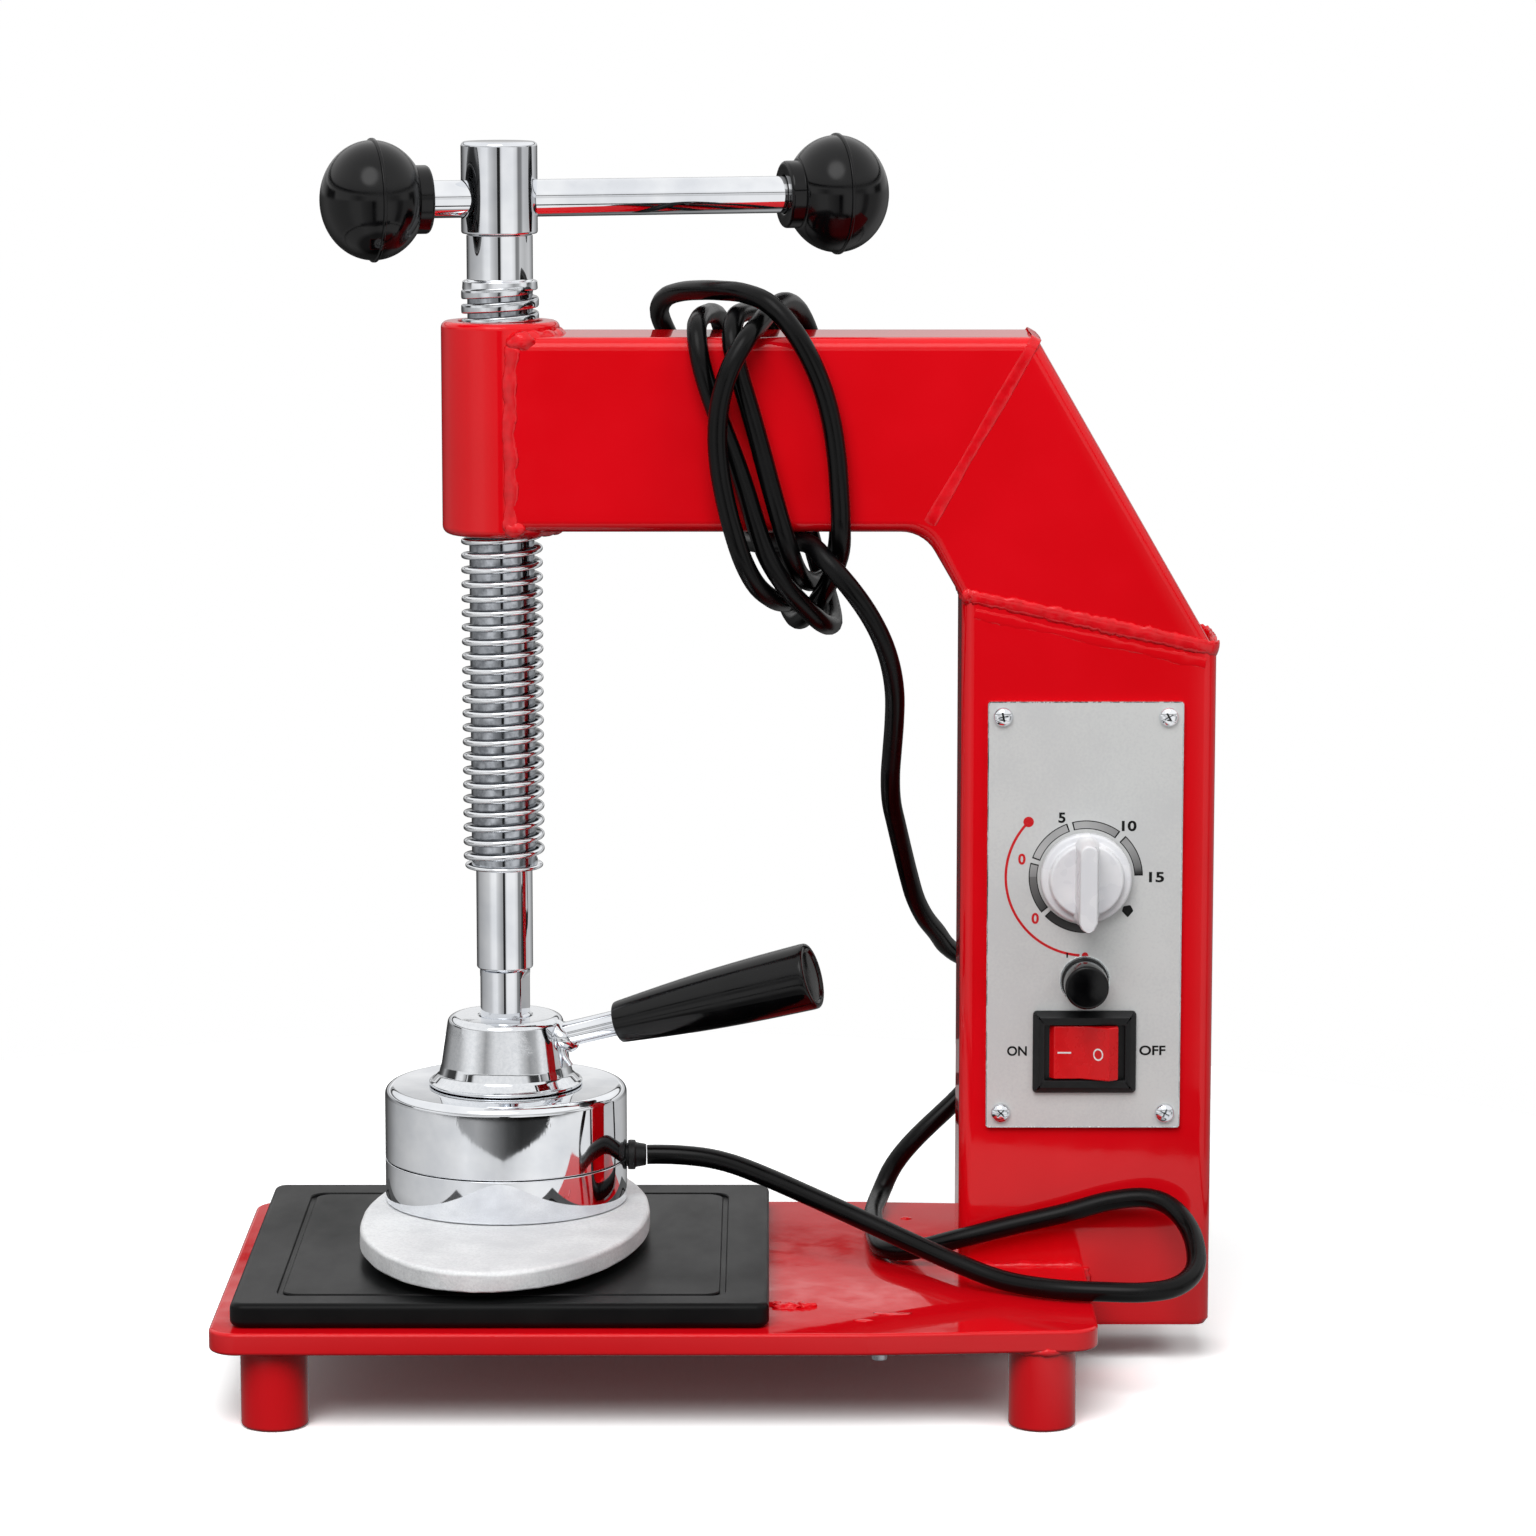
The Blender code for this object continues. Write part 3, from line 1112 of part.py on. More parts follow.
def make_fuse():
    bore, flange = FUSE_BORE, FUSE_FLANGE
    out = TUBE_WALL + FIT + PANEL_THICK + FIT
    profile = [
        (bore, out + FUSE_FLANGE_THICK),
        (flange, out + FUSE_FLANGE_THICK),
        (flange, out),
        (FUSE_RADIUS, out),
        (FUSE_RADIUS, -FUSE_DEPTH),
        (0, -FUSE_DEPTH),
        (0, -FUSE_DEPTH + OVERRUN),
        (bore, -FUSE_DEPTH + OVERRUN),
    ]
    inner_wall = (CONTROL_X, TUBE_FRONT + TUBE_WALL, FUSE_Z)
    place = along((0, -1, 0), inner_wall)
    turned("fuse_holder", profile + [profile[0]], black_nylon(), 20, place)
    outlines = [circle_outline(0, 0, FUSE_NUT_RADIUS, 6), circle_outline(0, 0, FUSE_RADIUS + FIT)]
    turn = facing_front(TUBE_FRONT + TUBE_WALL + FIT + FUSE_NUT_THICK)
    prism("fuse_nut", outlines, FUSE_NUT_THICK, steel(), Matrix.Translation((CONTROL_X, 0, FUSE_Z)) @ turn)
    front = out + FUSE_FLANGE_THICK + FIT
    edge, stem = FUSE_CAP_EDGE, FUSE_STEM
    profile = [
        (0, front + FUSE_CAP_RISE),
        (FUSE_CAP_RADIUS - edge, front + FUSE_CAP_RISE),
        (FUSE_CAP_RADIUS, front + FUSE_CAP_RISE - edge),
        (FUSE_CAP_RADIUS, front),
        (stem, front),
        (stem, front - FUSE_STEM_LENGTH),
        (0, front - FUSE_STEM_LENGTH),
    ]
    turned("fuse_cap", profile, black_resin(), 22, place)
    top = front - FUSE_STEM_LENGTH - FIT
    end = top - CARTRIDGE_LENGTH
    profile = [(0, top), (CARTRIDGE_RADIUS, top), (CARTRIDGE_RADIUS, end), (0, end)]
    turned("fuse_cartridge", profile, paint("fuse_glass", (0.8, 0.83, 0.82), 0.1), 16, place)


def make_switch():
    back = PANEL_FRONT - FIT
    low, high = SWITCH_Z - BEZEL_HALF_Z, SWITCH_Z + BEZEL_HALF_Z
    left, right = CONTROL_X - BEZEL_HALF_X, CONTROL_X + BEZEL_HALF_X
    outline = rounded_outline(left, right, low, high, BEZEL_CORNER, 2)
    housing = prism("switch_housing", [outline], BEZEL_RISE, black_nylon(), facing_front(back))
    front = back - BEZEL_RISE
    edge = housing.modifiers.new("sloped_rim", "BEVEL")
    edge.width = BEZEL_SLOPE
    edge.segments = 1
    edge.limit_method = "ANGLE"
    edge.angle_limit = math.radians(60)
    low = (CONTROL_X - SWITCH_HALF_X, back - BEZEL_RISE / 2, SWITCH_Z - SWITCH_HALF_Z)
    high = (CONTROL_X + SWITCH_HALF_X, back + SWITCH_DEPTH, SWITCH_Z + SWITCH_HALF_Z)
    fuse(housing, box("switch_body", low, high, None, "cutters"))
    half_x = ROCKER_HALF_X + POCKET_SIDE_GAP
    half_z = ROCKER_HALF_Z + FIT
    low = (CONTROL_X - half_x, front - OVERRUN, SWITCH_Z - half_z)
    high = (CONTROL_X + half_x, front + POCKET_DEPTH, SWITCH_Z + half_z)
    cut(housing, box("rocker_pocket", low, high, None, "cutters"))
    # The rocker's face is two planes that meet in a shallow valley, so the pressed side lies flush.
    rise = ROCKER_HALF_X * math.tan(ROCKER_ANGLE)
    outline = [
        (0, ROCKER_PIVOT),
        (-ROCKER_HALF_X, ROCKER_PIVOT + rise),
        (-ROCKER_SIDE_HALF, ROCKER_PIVOT - ROCKER_SIDE),
        (-ROCKER_BACK_HALF, ROCKER_PIVOT - ROCKER_BACK),
        (ROCKER_BACK_HALF, ROCKER_PIVOT - ROCKER_BACK),
        (ROCKER_SIDE_HALF, ROCKER_PIVOT - ROCKER_SIDE),
        (ROCKER_HALF_X, ROCKER_PIVOT + rise),
    ]
    outline = [(x, -y) for x, y in outline][::-1]
    place = Matrix.Translation((0, 0, -ROCKER_HALF_Z))
    look = nylon("red_rocker", (0.70, 0.01, 0.02))
    rocker = prism("switch_rocker", [outline], 2 * ROCKER_HALF_Z, look, place)
    rocker.location = (CONTROL_X, front + ROCKER_SUNK, SWITCH_Z)
    rocker.rotation_euler = (0, 0, -ROCKER_ANGLE)


def make_terminal_block():
    middle = (COLUMN_LEFT + HALF_LENGTH) / 2
    back = TUBE_BACK - TUBE_WALL - FIT
    half = TERMINAL_LENGTH / 2
    low = (middle - half, back - TERMINAL_DEPTH, TERMINAL_Z)
    high = (middle + half, back, TERMINAL_Z + TERMINAL_HEIGHT)
    block = box("terminal_block", low, high, nylon("pale_nylon", (0.72, 0.72, 0.68)))
    step = TERMINAL_LENGTH / TERMINAL_POLES
    for i in range(1, TERMINAL_POLES):
        x = low[0] + step * i
        start = (x - TERMINAL_SLOT / 2, low[1] - OVERRUN, low[2] - OVERRUN)
        end = (x + TERMINAL_SLOT / 2, low[1] + TERMINAL_DEPTH / 2, high[2] + OVERRUN)
        cut(block, box(f"terminal_slot_{i}", start, end, None, "cutters"))


# Cords


def make_glands():
    # A flange against the wall, a barrel through it, and a ribbed taper for the cord.
    rib = GLAND_LENGTH / (2 * GLAND_RIBS)
    outside = []
    for i in range(2 * GLAND_RIBS):
        share = i / (2 * GLAND_RIBS)
        radius = GLAND_ROOT + (GLAND_TIP - GLAND_ROOT) * share - (GLAND_RIB_DEPTH if i % 2 else 0)
        start = GLAND_FLANGE_THICK + rib * i
        outside += [(radius, start), (radius, start + rib)]
    top = GLAND_FLANGE_THICK + GLAND_LENGTH
    profile = [(0, top)] + outside[::-1]
    profile += [(GLAND_FLANGE, GLAND_FLANGE_THICK), (GLAND_FLANGE, 0), (GLAND_BARREL, 0)]
    profile += [(GLAND_BARREL, -TUBE_WALL - GLAND_INSIDE), (0, -TUBE_WALL - GLAND_INSIDE)]
    for name, z in (("mains_gland", MAINS_GLAND_Z), ("heater_gland", HEATER_GLAND_Z)):
        turned(name, profile, rubber(), 14, along((0, 1, 0), (GLAND_X, TUBE_BACK + FIT, z)))


def make_plug():
    # A moulded plug that hangs behind the column with its pins down.
    x, y, z = PLUG_TOP
    neck, long, face = PLUG_NECK, PLUG_NECK_LENGTH, PLUG_NECK_LENGTH + PLUG_SHOULDER + PLUG_BODY
    edge = PLUG_EDGE
    profile = [
        (0, 0),
        (neck - edge, 0),
        (neck, -edge),
        (neck + PLUG_FLARE, -long),
        (PLUG_WAIST, -long - PLUG_WAIST_DROP),
        (PLUG_RADIUS - edge, -long - PLUG_SHOULDER),
        (PLUG_RADIUS, -long - PLUG_SHOULDER - PLUG_SHOULDER_EDGE),
        (PLUG_RADIUS, -face + edge),
        (PLUG_RADIUS - edge, -face),
        (0, -face),
    ]
    plug = turned("mains_plug", profile, cord_cover(), 20, Matrix.Translation((x, y, z)))
    for side in (-1, 1):
        place = (x + side * PIN_SPREAD, y, z - face - PIN_LENGTH)
        fuse(plug, drill(f"plug_pin_{side}", PIN_RADIUS, PIN_LENGTH + OVERRUN, (0, 0, 1), place, 16))


# Where a cord lies loose, its route is a list of places in millimetres, chosen by hand.

HEATER_RUN_ROUTE = (
    (104, 66, 84),
    (104, 71, 84),
    (98, 80, 81),
    (86, 83, 76),
    (76, 79, 67),
    (63, 76, 55),
    (56, 76, 46),
    (52, 73, 38),
    (50, 64, 35.5),
    (49, 52, 35.4),
    (49, 36, 35.4),
    (49.5, 18, 35.4),
    (52, 6, 35.4),
    (60, -1, 36.6),
    (74, -4.5, 41),
    (90, -5.8, 45.5),
    (108, -6.6, 50),
    (122, -7, 54),
    (134, -9, 55.5),
    (142, -14, 53),
    (147, -24, 47),
    (147, -37, 40),
    (141, -46, 36.5),
    (131, -49.5, 35.4),
    (118, -49, 35.4),
    (103, -45.5, 35.4),
    (88, -37.5, 36),
    (74, -30, 39.5),
    (58, -20, 44.5),
    (42, -11, 50),
    (28, -2.5, 54.5),
    (16, 5, 58.2),
    (5, 11.3, 61.2),
)
HEATER_END_ROUTE = ((5, 11.3, 61.2), (-4, 15.2, 62.7), (-13, 17.5, 63.2), (-20, 18.1, 63.3))
MAINS_RUN_ROUTE = (
    (104, 66, 108),
    (104, 71, 108),
    (98, 79, 110),
    (87, 81, 114),
    (76, 74, 118),
    (68.5, 60, 129),
    (62.5, 49, 140),
    (56, 33, 166),
    (53.5, 24, 180),
    (54, 15, 197),
    (54.5, 8, 211),
    (52.5, 1, 225),
    (49, -4, 234.5),
    (43.5, -7, 244),
    (36.5, -8.5, 253),
    (30, -7, 259),
    (22, -1, 261),
)
MAINS_TAIL_ROUTE = (
    (38, 51, 291),
    (54, 49, 303),
    (72, 47, 308),
    (88, 46, 305),
    (99, 45.5, 293),
    (104.5, 46, 276),
    (106.5, 48, 257),
    (107.4, 52, 240),
    (107.5, 56, 227),
    (107.5, 57, 219),
)
# Places round the arm that a turn passes, up behind it and down in front, as shares of its half section.
LOOP_SHARES = (
    (0, -1),
    (0.76, -1),
    (1, -0.7),
    (1, 0),
    (1, 0.63),
    (0.93, 0.95),
    (0, 1),
    (-0.93, 0.95),
    (-1, 0.5),
    (-1, -0.15),
    (-1, -0.75),
    (-0.76, -1.1),
)
# Each turn's places there: how far along the arm and how far out it lies, in cord diameters.
WINDING_SHARES = (
    (
        (1.9, 0),
        (1.3, 0),
        (1, 0),
        (0.7, 0),
        (0.3, 0),
        (0, 0),
        (-0.6, 0),
        (-1.4, 0),
        (-0.8, 0),
        (0.7, 0),
        (2.1, 0.4),
        (3.2, 0.7),
    ),
    (
        (5.5, 4.3),
        (4.8, 1.4),
        (4, 0),
        (3.4, 0),
        (2.9, 0),
        (2.3, 0),
        (1.5, 0),
        (0.6, 0),
        (1.3, 0),
        (2.1, 0),
        (3, 0.4),
        (3.8, 0.4),
    ),
    (
        (5, 2.7),
        (6.1, 0.5),
        (5.8, 0),
        (5.3, 0),
        (4.8, 0),
        (4.2, 0),
        (3.1, 1),
        (1.5, 0.7),
        (0.2, 1.1),
        (-0.1, 1.1),
        (0.9, 1.1),
        (2, 1.3),
    ),
    (
        (3.9, 3.3),
        (2.7, 1.4),
        (1.3, 1.1),
        (-0.5, 1.2),
        (-2.3, 1.1),
        (-3.5, 0.6),
        (-1, 1.5),
        (2.9, 0.7),
        (5, 0.1),
        (5.8, 0),
        (5.7, 0),
        (5.5, -0.2),
    ),
    (
        (4.4, 4.5),
        (3.2, 2.7),
        (3.5, 1.3),
    ),
)


def in_metres(route):
    # The places near the column or the arm go with it when it is moved, and those near the press stay.
    ahead, up = COLUMN_LEFT - ROUTE_COLUMN_LEFT, ARM_BOTTOM - ROUTE_ARM_BOTTOM
    low, high = ROUTE_RISES
    places = []
    for place in route:
        spot = Vector(place) * MM
        right = min(1, max(0, spot.x / ROUTE_FOLLOWS))
        above = min(1, max(0, (spot.z - low) / (high - low)))
        places.append(spot + Vector((ahead * right, 0, up * above)))
    return places


def winding_places():
    half_y, half_z = TUBE_DEPTH / 2 + CORD_RADIUS + FIT, ARM_HEIGHT / 2 + CORD_RADIUS + FIT
    middle = ARM_TOP - ARM_HEIGHT / 2
    places = []
    for turn in WINDING_SHARES:
        for (ahead, out), (side, up) in zip(turn, LOOP_SHARES):
            out *= 2 * CORD_RADIUS
            y, z = AXIS_Y + side * (half_y + out), middle + up * (half_z + out)
            places.append(Vector((ahead * 2 * CORD_RADIUS, y, z)))
    return places


def clear_of_arm(spots):
    # How far each place has to move for a cord there to lie against the arm and not in it.
    middle = np.array((AXIS_Y, ARM_TOP - ARM_HEIGHT / 2))
    flat = np.array((TUBE_DEPTH, ARM_HEIGHT)) / 2 - TUBE_CORNER
    reach = TUBE_CORNER + CORD_RADIUS + ARM_CLEARANCE
    side = spots[:, 1:] - middle
    past = np.maximum(np.abs(side) - flat, 0)
    far = np.maximum(np.linalg.norm(past, axis=1, keepdims=True), LEAST_REACH)
    need = np.maximum(reach / far - 1, 0) * past * np.sign(side)
    return np.column_stack((np.zeros(len(spots)), need))


def settle(points, held):
    # Spreads the turns as a springy cord does, till they clear each other and the arm. The first are held.
    line = np.array(points)
    laid = line.copy()
    count = len(line)
    parts = np.arange(PARTS) / PARTS
    first = np.repeat(np.arange(count - 1), PARTS)
    share = np.tile(parts, count - 1)[:, None]
    apart = np.abs(first[:, None] - first[None]) >= NEIGHBOURS
    loose = (np.arange(count) >= held)[:, None] * 1.0
    wanted = 2 * CORD_RADIUS + CORD_CLEARANCE
    for _ in range(SETTLING_ROUNDS):
        move = SPRING_SHARE * (laid - line)
        bend = 4 * line[1:-3] + 4 * line[3:-1] - line[:-4] - line[4:] - 6 * line[2:-2]
        move[2:-2] += BEND_SHARE * bend
        run = line[1:] - line[:-1]
        length = np.linalg.norm(run, axis=1, keepdims=True)
        even = EVEN_SHARE * (length - length.mean()) / length * run
        move[:-1] += even
        move[1:] -= even
        spots = line[first] * (1 - share) + line[first + 1] * share
        gap = spots[:, None] - spots[None]
        far = np.maximum(np.linalg.norm(gap, axis=2), LEAST_REACH)
        push = np.where(apart & (far < wanted), wanted / far - 1, 0)
        force = PUSH_SHARE * (gap * push[..., None]).sum(axis=1)
        np.add.at(move, first, force * (1 - share))
        np.add.at(move, first + 1, force * share)
        line += move * loose
        for _ in range(2):
            spots = line[first] * (1 - share) + line[first + 1] * share
            shift = clear_of_arm(spots)
            before, after = np.zeros_like(line), np.zeros_like(line)
            np.add.at(before, first, shift * (1 - share))
            np.add.at(after, first + 1, shift * share)
            line += (before + after) * loose / PARTS * 2
    return [Vector(place) for place in line]


def least_gap(points):
    # The least distance between the surfaces of turns that aren't next to each other along the cord.
    line = np.array(points)
    parts = np.arange(PARTS * 2) / (PARTS * 2)
    spots = (line[:-1, None] + (line[1:] - line[:-1])[:, None] * parts[None, :, None]).reshape(-1, 3)
    index = np.repeat(np.arange(len(line) - 1), len(parts))
    gap = np.linalg.norm(spots[:, None] - spots[None], axis=2)
    gap[np.abs(index[:, None] - index[None]) < NEIGHBOURS] = np.inf
    return float(gap.min()) - 2 * CORD_RADIUS


def split(points, place):
    # Two lines that meet square, a gap apart, a third of the way along the stretch after the given place.
    start, end = points[place], points[place + 1]
    way = (end - start).normalized()
    spot = start + (end - start) / 3
    return points[: place + 1] + [spot - way * FIT / 2], [spot + way * FIT / 2] + points[place + 1 :]


def straight_start(points, way):
    # The first diameter of the cord runs square out of what it comes out of.
    start = Vector(points[0])
    return [start, start + Vector(way) * 2 * CORD_RADIUS, *points[1:]]


def straight_end(points, way):
    return straight_start(points[::-1], way)[::-1]


def make_heater_lead():
    start = Vector((GLAND_X, TUBE_BACK + FIT + GLAND_FLANGE_THICK + GLAND_LENGTH + FIT, HEATER_GLAND_Z))
    base = smooth_line([start, *in_metres(HEATER_RUN_ROUTE)], CORD_STEP)
    out = CUP_RADIUS + LEAD_COLLAR_LENGTH + LEAD_TAPER_LENGTH + 2 * FIT
    end = Vector((AXIS_X + out, AXIS_Y, LEAD_EXIT_Z))
    head = straight_end(smooth_line([*in_metres(HEATER_END_ROUTE), end], HEAD_END_STEP), (1, 0, 0))
    way = (Vector(head[1]) - Vector(head[0])).normalized()
    base = straight_end(straight_start(base[:-1], (0, 1, 0)) + [Vector(head[0]) - way * FIT], -way)
    cord("heater_lead_run", base, 2)
    cord("heater_lead_end", head, 2)
    print(f"heater lead {length_of(base) + length_of(head):.3f} m")


def make_mains_cord():
    start = Vector((GLAND_X, TUBE_BACK + FIT + GLAND_FLANGE_THICK + GLAND_LENGTH + FIT, MAINS_GLAND_Z))
    x, y, z = PLUG_TOP
    route = [start, *in_metres(MAINS_RUN_ROUTE), *winding_places(), *in_metres(MAINS_TAIL_ROUTE)]
    points = smooth_line([*route, Vector((x, y, z + FIT))], WINDING_STEP)
    held = next(i for i, place in enumerate(points) if place[2] > MAINS_HELD_Z)
    points = settle(points, held)
    points = straight_end(straight_start(points, (0, 1, 0)), (0, 0, 1))
    run, rest = split(points, held)
    last = max(i for i, place in enumerate(rest) if place[0] < TAIL_START_X)
    winding, tail = split(rest, last)
    cord("mains_cord_run", run, 2)
    cord("mains_cord_winding", winding, 1)
    cord("mains_cord_tail", tail, 2)
    print(f"least gap in the winding {least_gap(points) / MM:.2f} mm, {len(winding)} points")
    print(f"mains cord {length_of(points):.3f} m")


def main():
    clear_scene()
    make_base()
    make_pad()
    make_frame()
    make_boss()
    make_column_cap()
    make_screw()
    make_screw_head()
    make_cross_bar()
    make_press_plate()
    make_heater()
    make_stud()
    make_hub()
    make_lever()
    make_head_fittings()
    make_panel()
    make_timer()
    make_fuse()
    make_switch()
    make_terminal_block()
    make_glands()
    make_plug()
    make_heater_lead()
    make_mains_cord()


main()
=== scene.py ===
# A bench tyre vulcanizer in red enamel and chrome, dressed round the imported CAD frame. The dictionaries hold
# millimetres and degrees unless a note says otherwise. X is right, -Y is the panel's side.
import math

import bmesh
import bpy
import numpy as np
from mathutils import Matrix, Vector, noise


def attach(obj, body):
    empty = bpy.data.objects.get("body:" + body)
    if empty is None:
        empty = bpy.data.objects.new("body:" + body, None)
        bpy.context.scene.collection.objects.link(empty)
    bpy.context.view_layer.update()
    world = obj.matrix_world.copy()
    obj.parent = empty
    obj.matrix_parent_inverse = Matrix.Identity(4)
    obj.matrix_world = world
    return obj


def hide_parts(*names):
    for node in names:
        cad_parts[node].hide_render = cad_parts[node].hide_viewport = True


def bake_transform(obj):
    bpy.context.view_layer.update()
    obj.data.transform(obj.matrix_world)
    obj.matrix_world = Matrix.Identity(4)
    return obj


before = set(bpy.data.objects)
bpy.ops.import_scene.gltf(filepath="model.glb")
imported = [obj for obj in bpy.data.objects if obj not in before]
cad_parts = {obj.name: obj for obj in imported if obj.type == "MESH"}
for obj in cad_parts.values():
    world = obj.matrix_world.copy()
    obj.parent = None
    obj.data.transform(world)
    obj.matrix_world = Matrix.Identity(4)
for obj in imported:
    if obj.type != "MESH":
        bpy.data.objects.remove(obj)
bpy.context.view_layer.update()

mm = 0.001
bpy.context.scene.view_settings.view_transform = "Standard"

axisX, axisY = -68.65, 18.1  # the screw and everything on it
tubeFront, tubeBack = -1.9, 38.1  # front and back of the square tubes
axisPlace = Matrix.Translation((axisX, axisY, 0))
threadShadingRadii = (10.1, 12.8)  # radii between which the thread's painted highlights and shade run, from its root to its crest

# Camera
view = {"place": (14.75, -1664.9, 448.5), "tilt": 81.2, "lens": 126.5625, "sensor": 36}
lens = bpy.data.cameras.new("camera")
lens.lens = view["lens"]
lens.sensor_width = view["sensor"]
lens.clip_start = 0.05
lens.clip_end = 60


def addObject(name, data):
    made = bpy.data.objects.new(name, data)
    bpy.context.scene.collection.objects.link(made)
    return made


camera = addObject("camera", lens)
camera.location = Vector(view["place"]) * mm
camera.rotation_euler = (math.radians(view["tilt"]), 0, 0)
bpy.context.scene.camera = camera
print("camera set")


# Small tools for materials

def hexColour(code):
    parts = [int(code[i:i + 2], 16) / 255 for i in (1, 3, 5)]
    return (*[c / 12.92 if c <= 0.04045 else ((c + 0.055) / 1.055) ** 2.4 for c in parts], 1.0)


def addNode(tree, kind, links=None, **settings):
    node = tree.nodes.new(kind)
    for key, value in settings.items():
        setattr(node, key, value)
    for socket, value in (links or {}).items():
        if isinstance(value, bpy.types.NodeSocket):
            tree.links.new(value, node.inputs[socket])
        else:
            node.inputs[socket].default_value = value
    return node


def perSize(size):
    # The scale of a noise whose grains are about this many millimetres across.
    return 1000 / size


def startMaterial(name, colour, roughness, metallic=0.0, **sockets):
    made = bpy.data.materials.new(name)
    made.use_nodes = True
    tree = made.node_tree
    shader = tree.nodes["Principled BSDF"]
    shader.inputs["Base Color"].default_value = hexColour(colour)
    shader.inputs["Roughness"].default_value = roughness
    shader.inputs["Metallic"].default_value = metallic
    for socket, value in sockets.items():
        shader.inputs[socket.replace("_", " ")].default_value = value
    return made, tree, shader, addNode(tree, "ShaderNodeTexCoord").outputs["Object"]


def grains(tree, place, size, detail=3.0, roughness=0.55, stretch=(1, 1, 1)):
    spread = addNode(tree, "ShaderNodeMapping", {"Vector": place, "Scale": stretch}).outputs[0]
    settings = {"Vector": spread, "Scale": perSize(size), "Detail": detail, "Roughness": roughness}
    return addNode(tree, "ShaderNodeTexNoise", settings).outputs["Fac"]


def spreadTo(tree, value, low, high, start=0.35, end=0.65, **settings):
    return addNode(
        tree, "ShaderNodeMapRange",
        {"Value": value, "From Min": start, "From Max": end, "To Min": low, "To Max": high}, **settings,
    ).outputs["Result"]


def mixTwo(tree, share, first, second):
    return addNode(tree, "ShaderNodeMix", {0: share, 6: first, 7: second}, data_type="RGBA").outputs[2]


def colourBy(tree, shader, value, first, second, start=0.35, end=0.65):
    share = spreadTo(tree, value, 0, 1, start, end)
    tree.links.new(mixTwo(tree, share, hexColour(first), hexColour(second)), shader.inputs["Base Color"])


def roughBy(tree, shader, value, low, high):
    tree.links.new(spreadTo(tree, value, low, high), shader.inputs["Roughness"])


def calc(tree, operation, *values):
    return addNode(tree, "ShaderNodeMath", dict(enumerate(values)), operation=operation).outputs[0]


def addRamp(tree, value, stops):
    # Each stop is a share from 0 to 1 and a grey level or a colour.
    ramp = addNode(tree, "ShaderNodeValToRGB", {0: value})
    elements = ramp.color_ramp.elements
    while len(elements) < len(stops):
        elements.new(0.5)
    for element, (at, tone) in zip(elements, stops):
        element.position = at
        element.color = hexColour(tone) if isinstance(tone, str) else (tone, tone, tone, 1)
    return ramp.outputs[0]


def shareOfTurn(tree, x, y):
    # The angle round Z from the front, -Y, and the same as a share from 0 at the rear's left to 1.
    turn = calc(tree, "ARCTAN2", x, calc(tree, "MULTIPLY", y, -1.0))
    return turn, spreadTo(tree, turn, 0, 1, -math.pi, math.pi)


def fromAxis(tree, place):
    # How far a place lies right of the press axis, behind it and away from it.
    part = addNode(tree, "ShaderNodeSeparateXYZ", {0: place})
    x = calc(tree, "SUBTRACT", part.outputs[0], axisX * mm)
    y = calc(tree, "SUBTRACT", part.outputs[1], axisY * mm)
    squares = calc(tree, "ADD", calc(tree, "MULTIPLY", x, x), calc(tree, "MULTIPLY", y, y))
    return x, y, calc(tree, "SQRT", squares)


def bumpOf(tree, shader, *layers):
    # Each layer is a height, its depth in millimetres and its strength.
    normal = None
    for height, depth, strength in layers:
        settings = {"Height": height, "Distance": depth * mm, "Strength": strength}
        bump = addNode(tree, "ShaderNodeBump", settings)
        if normal:
            tree.links.new(normal, bump.inputs["Normal"])
        normal = bump.outputs["Normal"]
    tree.links.new(normal, shader.inputs["Normal"])


def mixed(name, colour, roughness, metallic, tones, dulled, bumps=(), **sockets):
    # A finish that drifts with noise: tones are a noise and two colours, dulled a noise and two roughnesses,
    # and each bump a noise, its depth in millimetres and its strength. A noise is what grains takes.
    made, tree, shader, place = startMaterial(name, colour, roughness, metallic, **sockets)
    grain, first, second = tones
    colourBy(tree, shader, grains(tree, place, *grain), first, second)
    grain, low, high = dulled
    roughBy(tree, shader, grains(tree, place, *grain), low, high)
    if bumps:
        bumpOf(tree, shader, *[(grains(tree, place, *grain), *shape) for grain, *shape in bumps])
    return made


# Small tools for shapes. Points are in millimetres until addSkin turns them to metres.

def smoothLine(points, step, parts=16):
    # Points about one step apart on a smooth curve through the given ones.
    spots = [Vector(p) for p in points]
    spots = [2 * spots[0] - spots[1], *spots, 2 * spots[-1] - spots[-2]]
    fine = []
    for a, b, c, d in zip(spots, spots[1:], spots[2:], spots[3:]):
        for i in range(parts):
            t = i / parts
            curve = 2 * b + (c - a) * t + (2 * a - 5 * b + 4 * c - d) * t**2 + (3 * b - a - 3 * c + d) * t**3
            fine.append(curve / 2)
    fine.append(spots[-2])
    line = np.array(fine)
    far = np.concatenate([[0], np.cumsum(np.linalg.norm(np.diff(line, axis=0), axis=1))])
    at = np.linspace(0, far[-1], max(2, round(far[-1] / step)) + 1)
    return [Vector([np.interp(s, far, line[:, k]) for k in range(3)]) for s in at]


def lengthOf(points):
    return sum((b - a).length for a, b in zip(points, points[1:]))


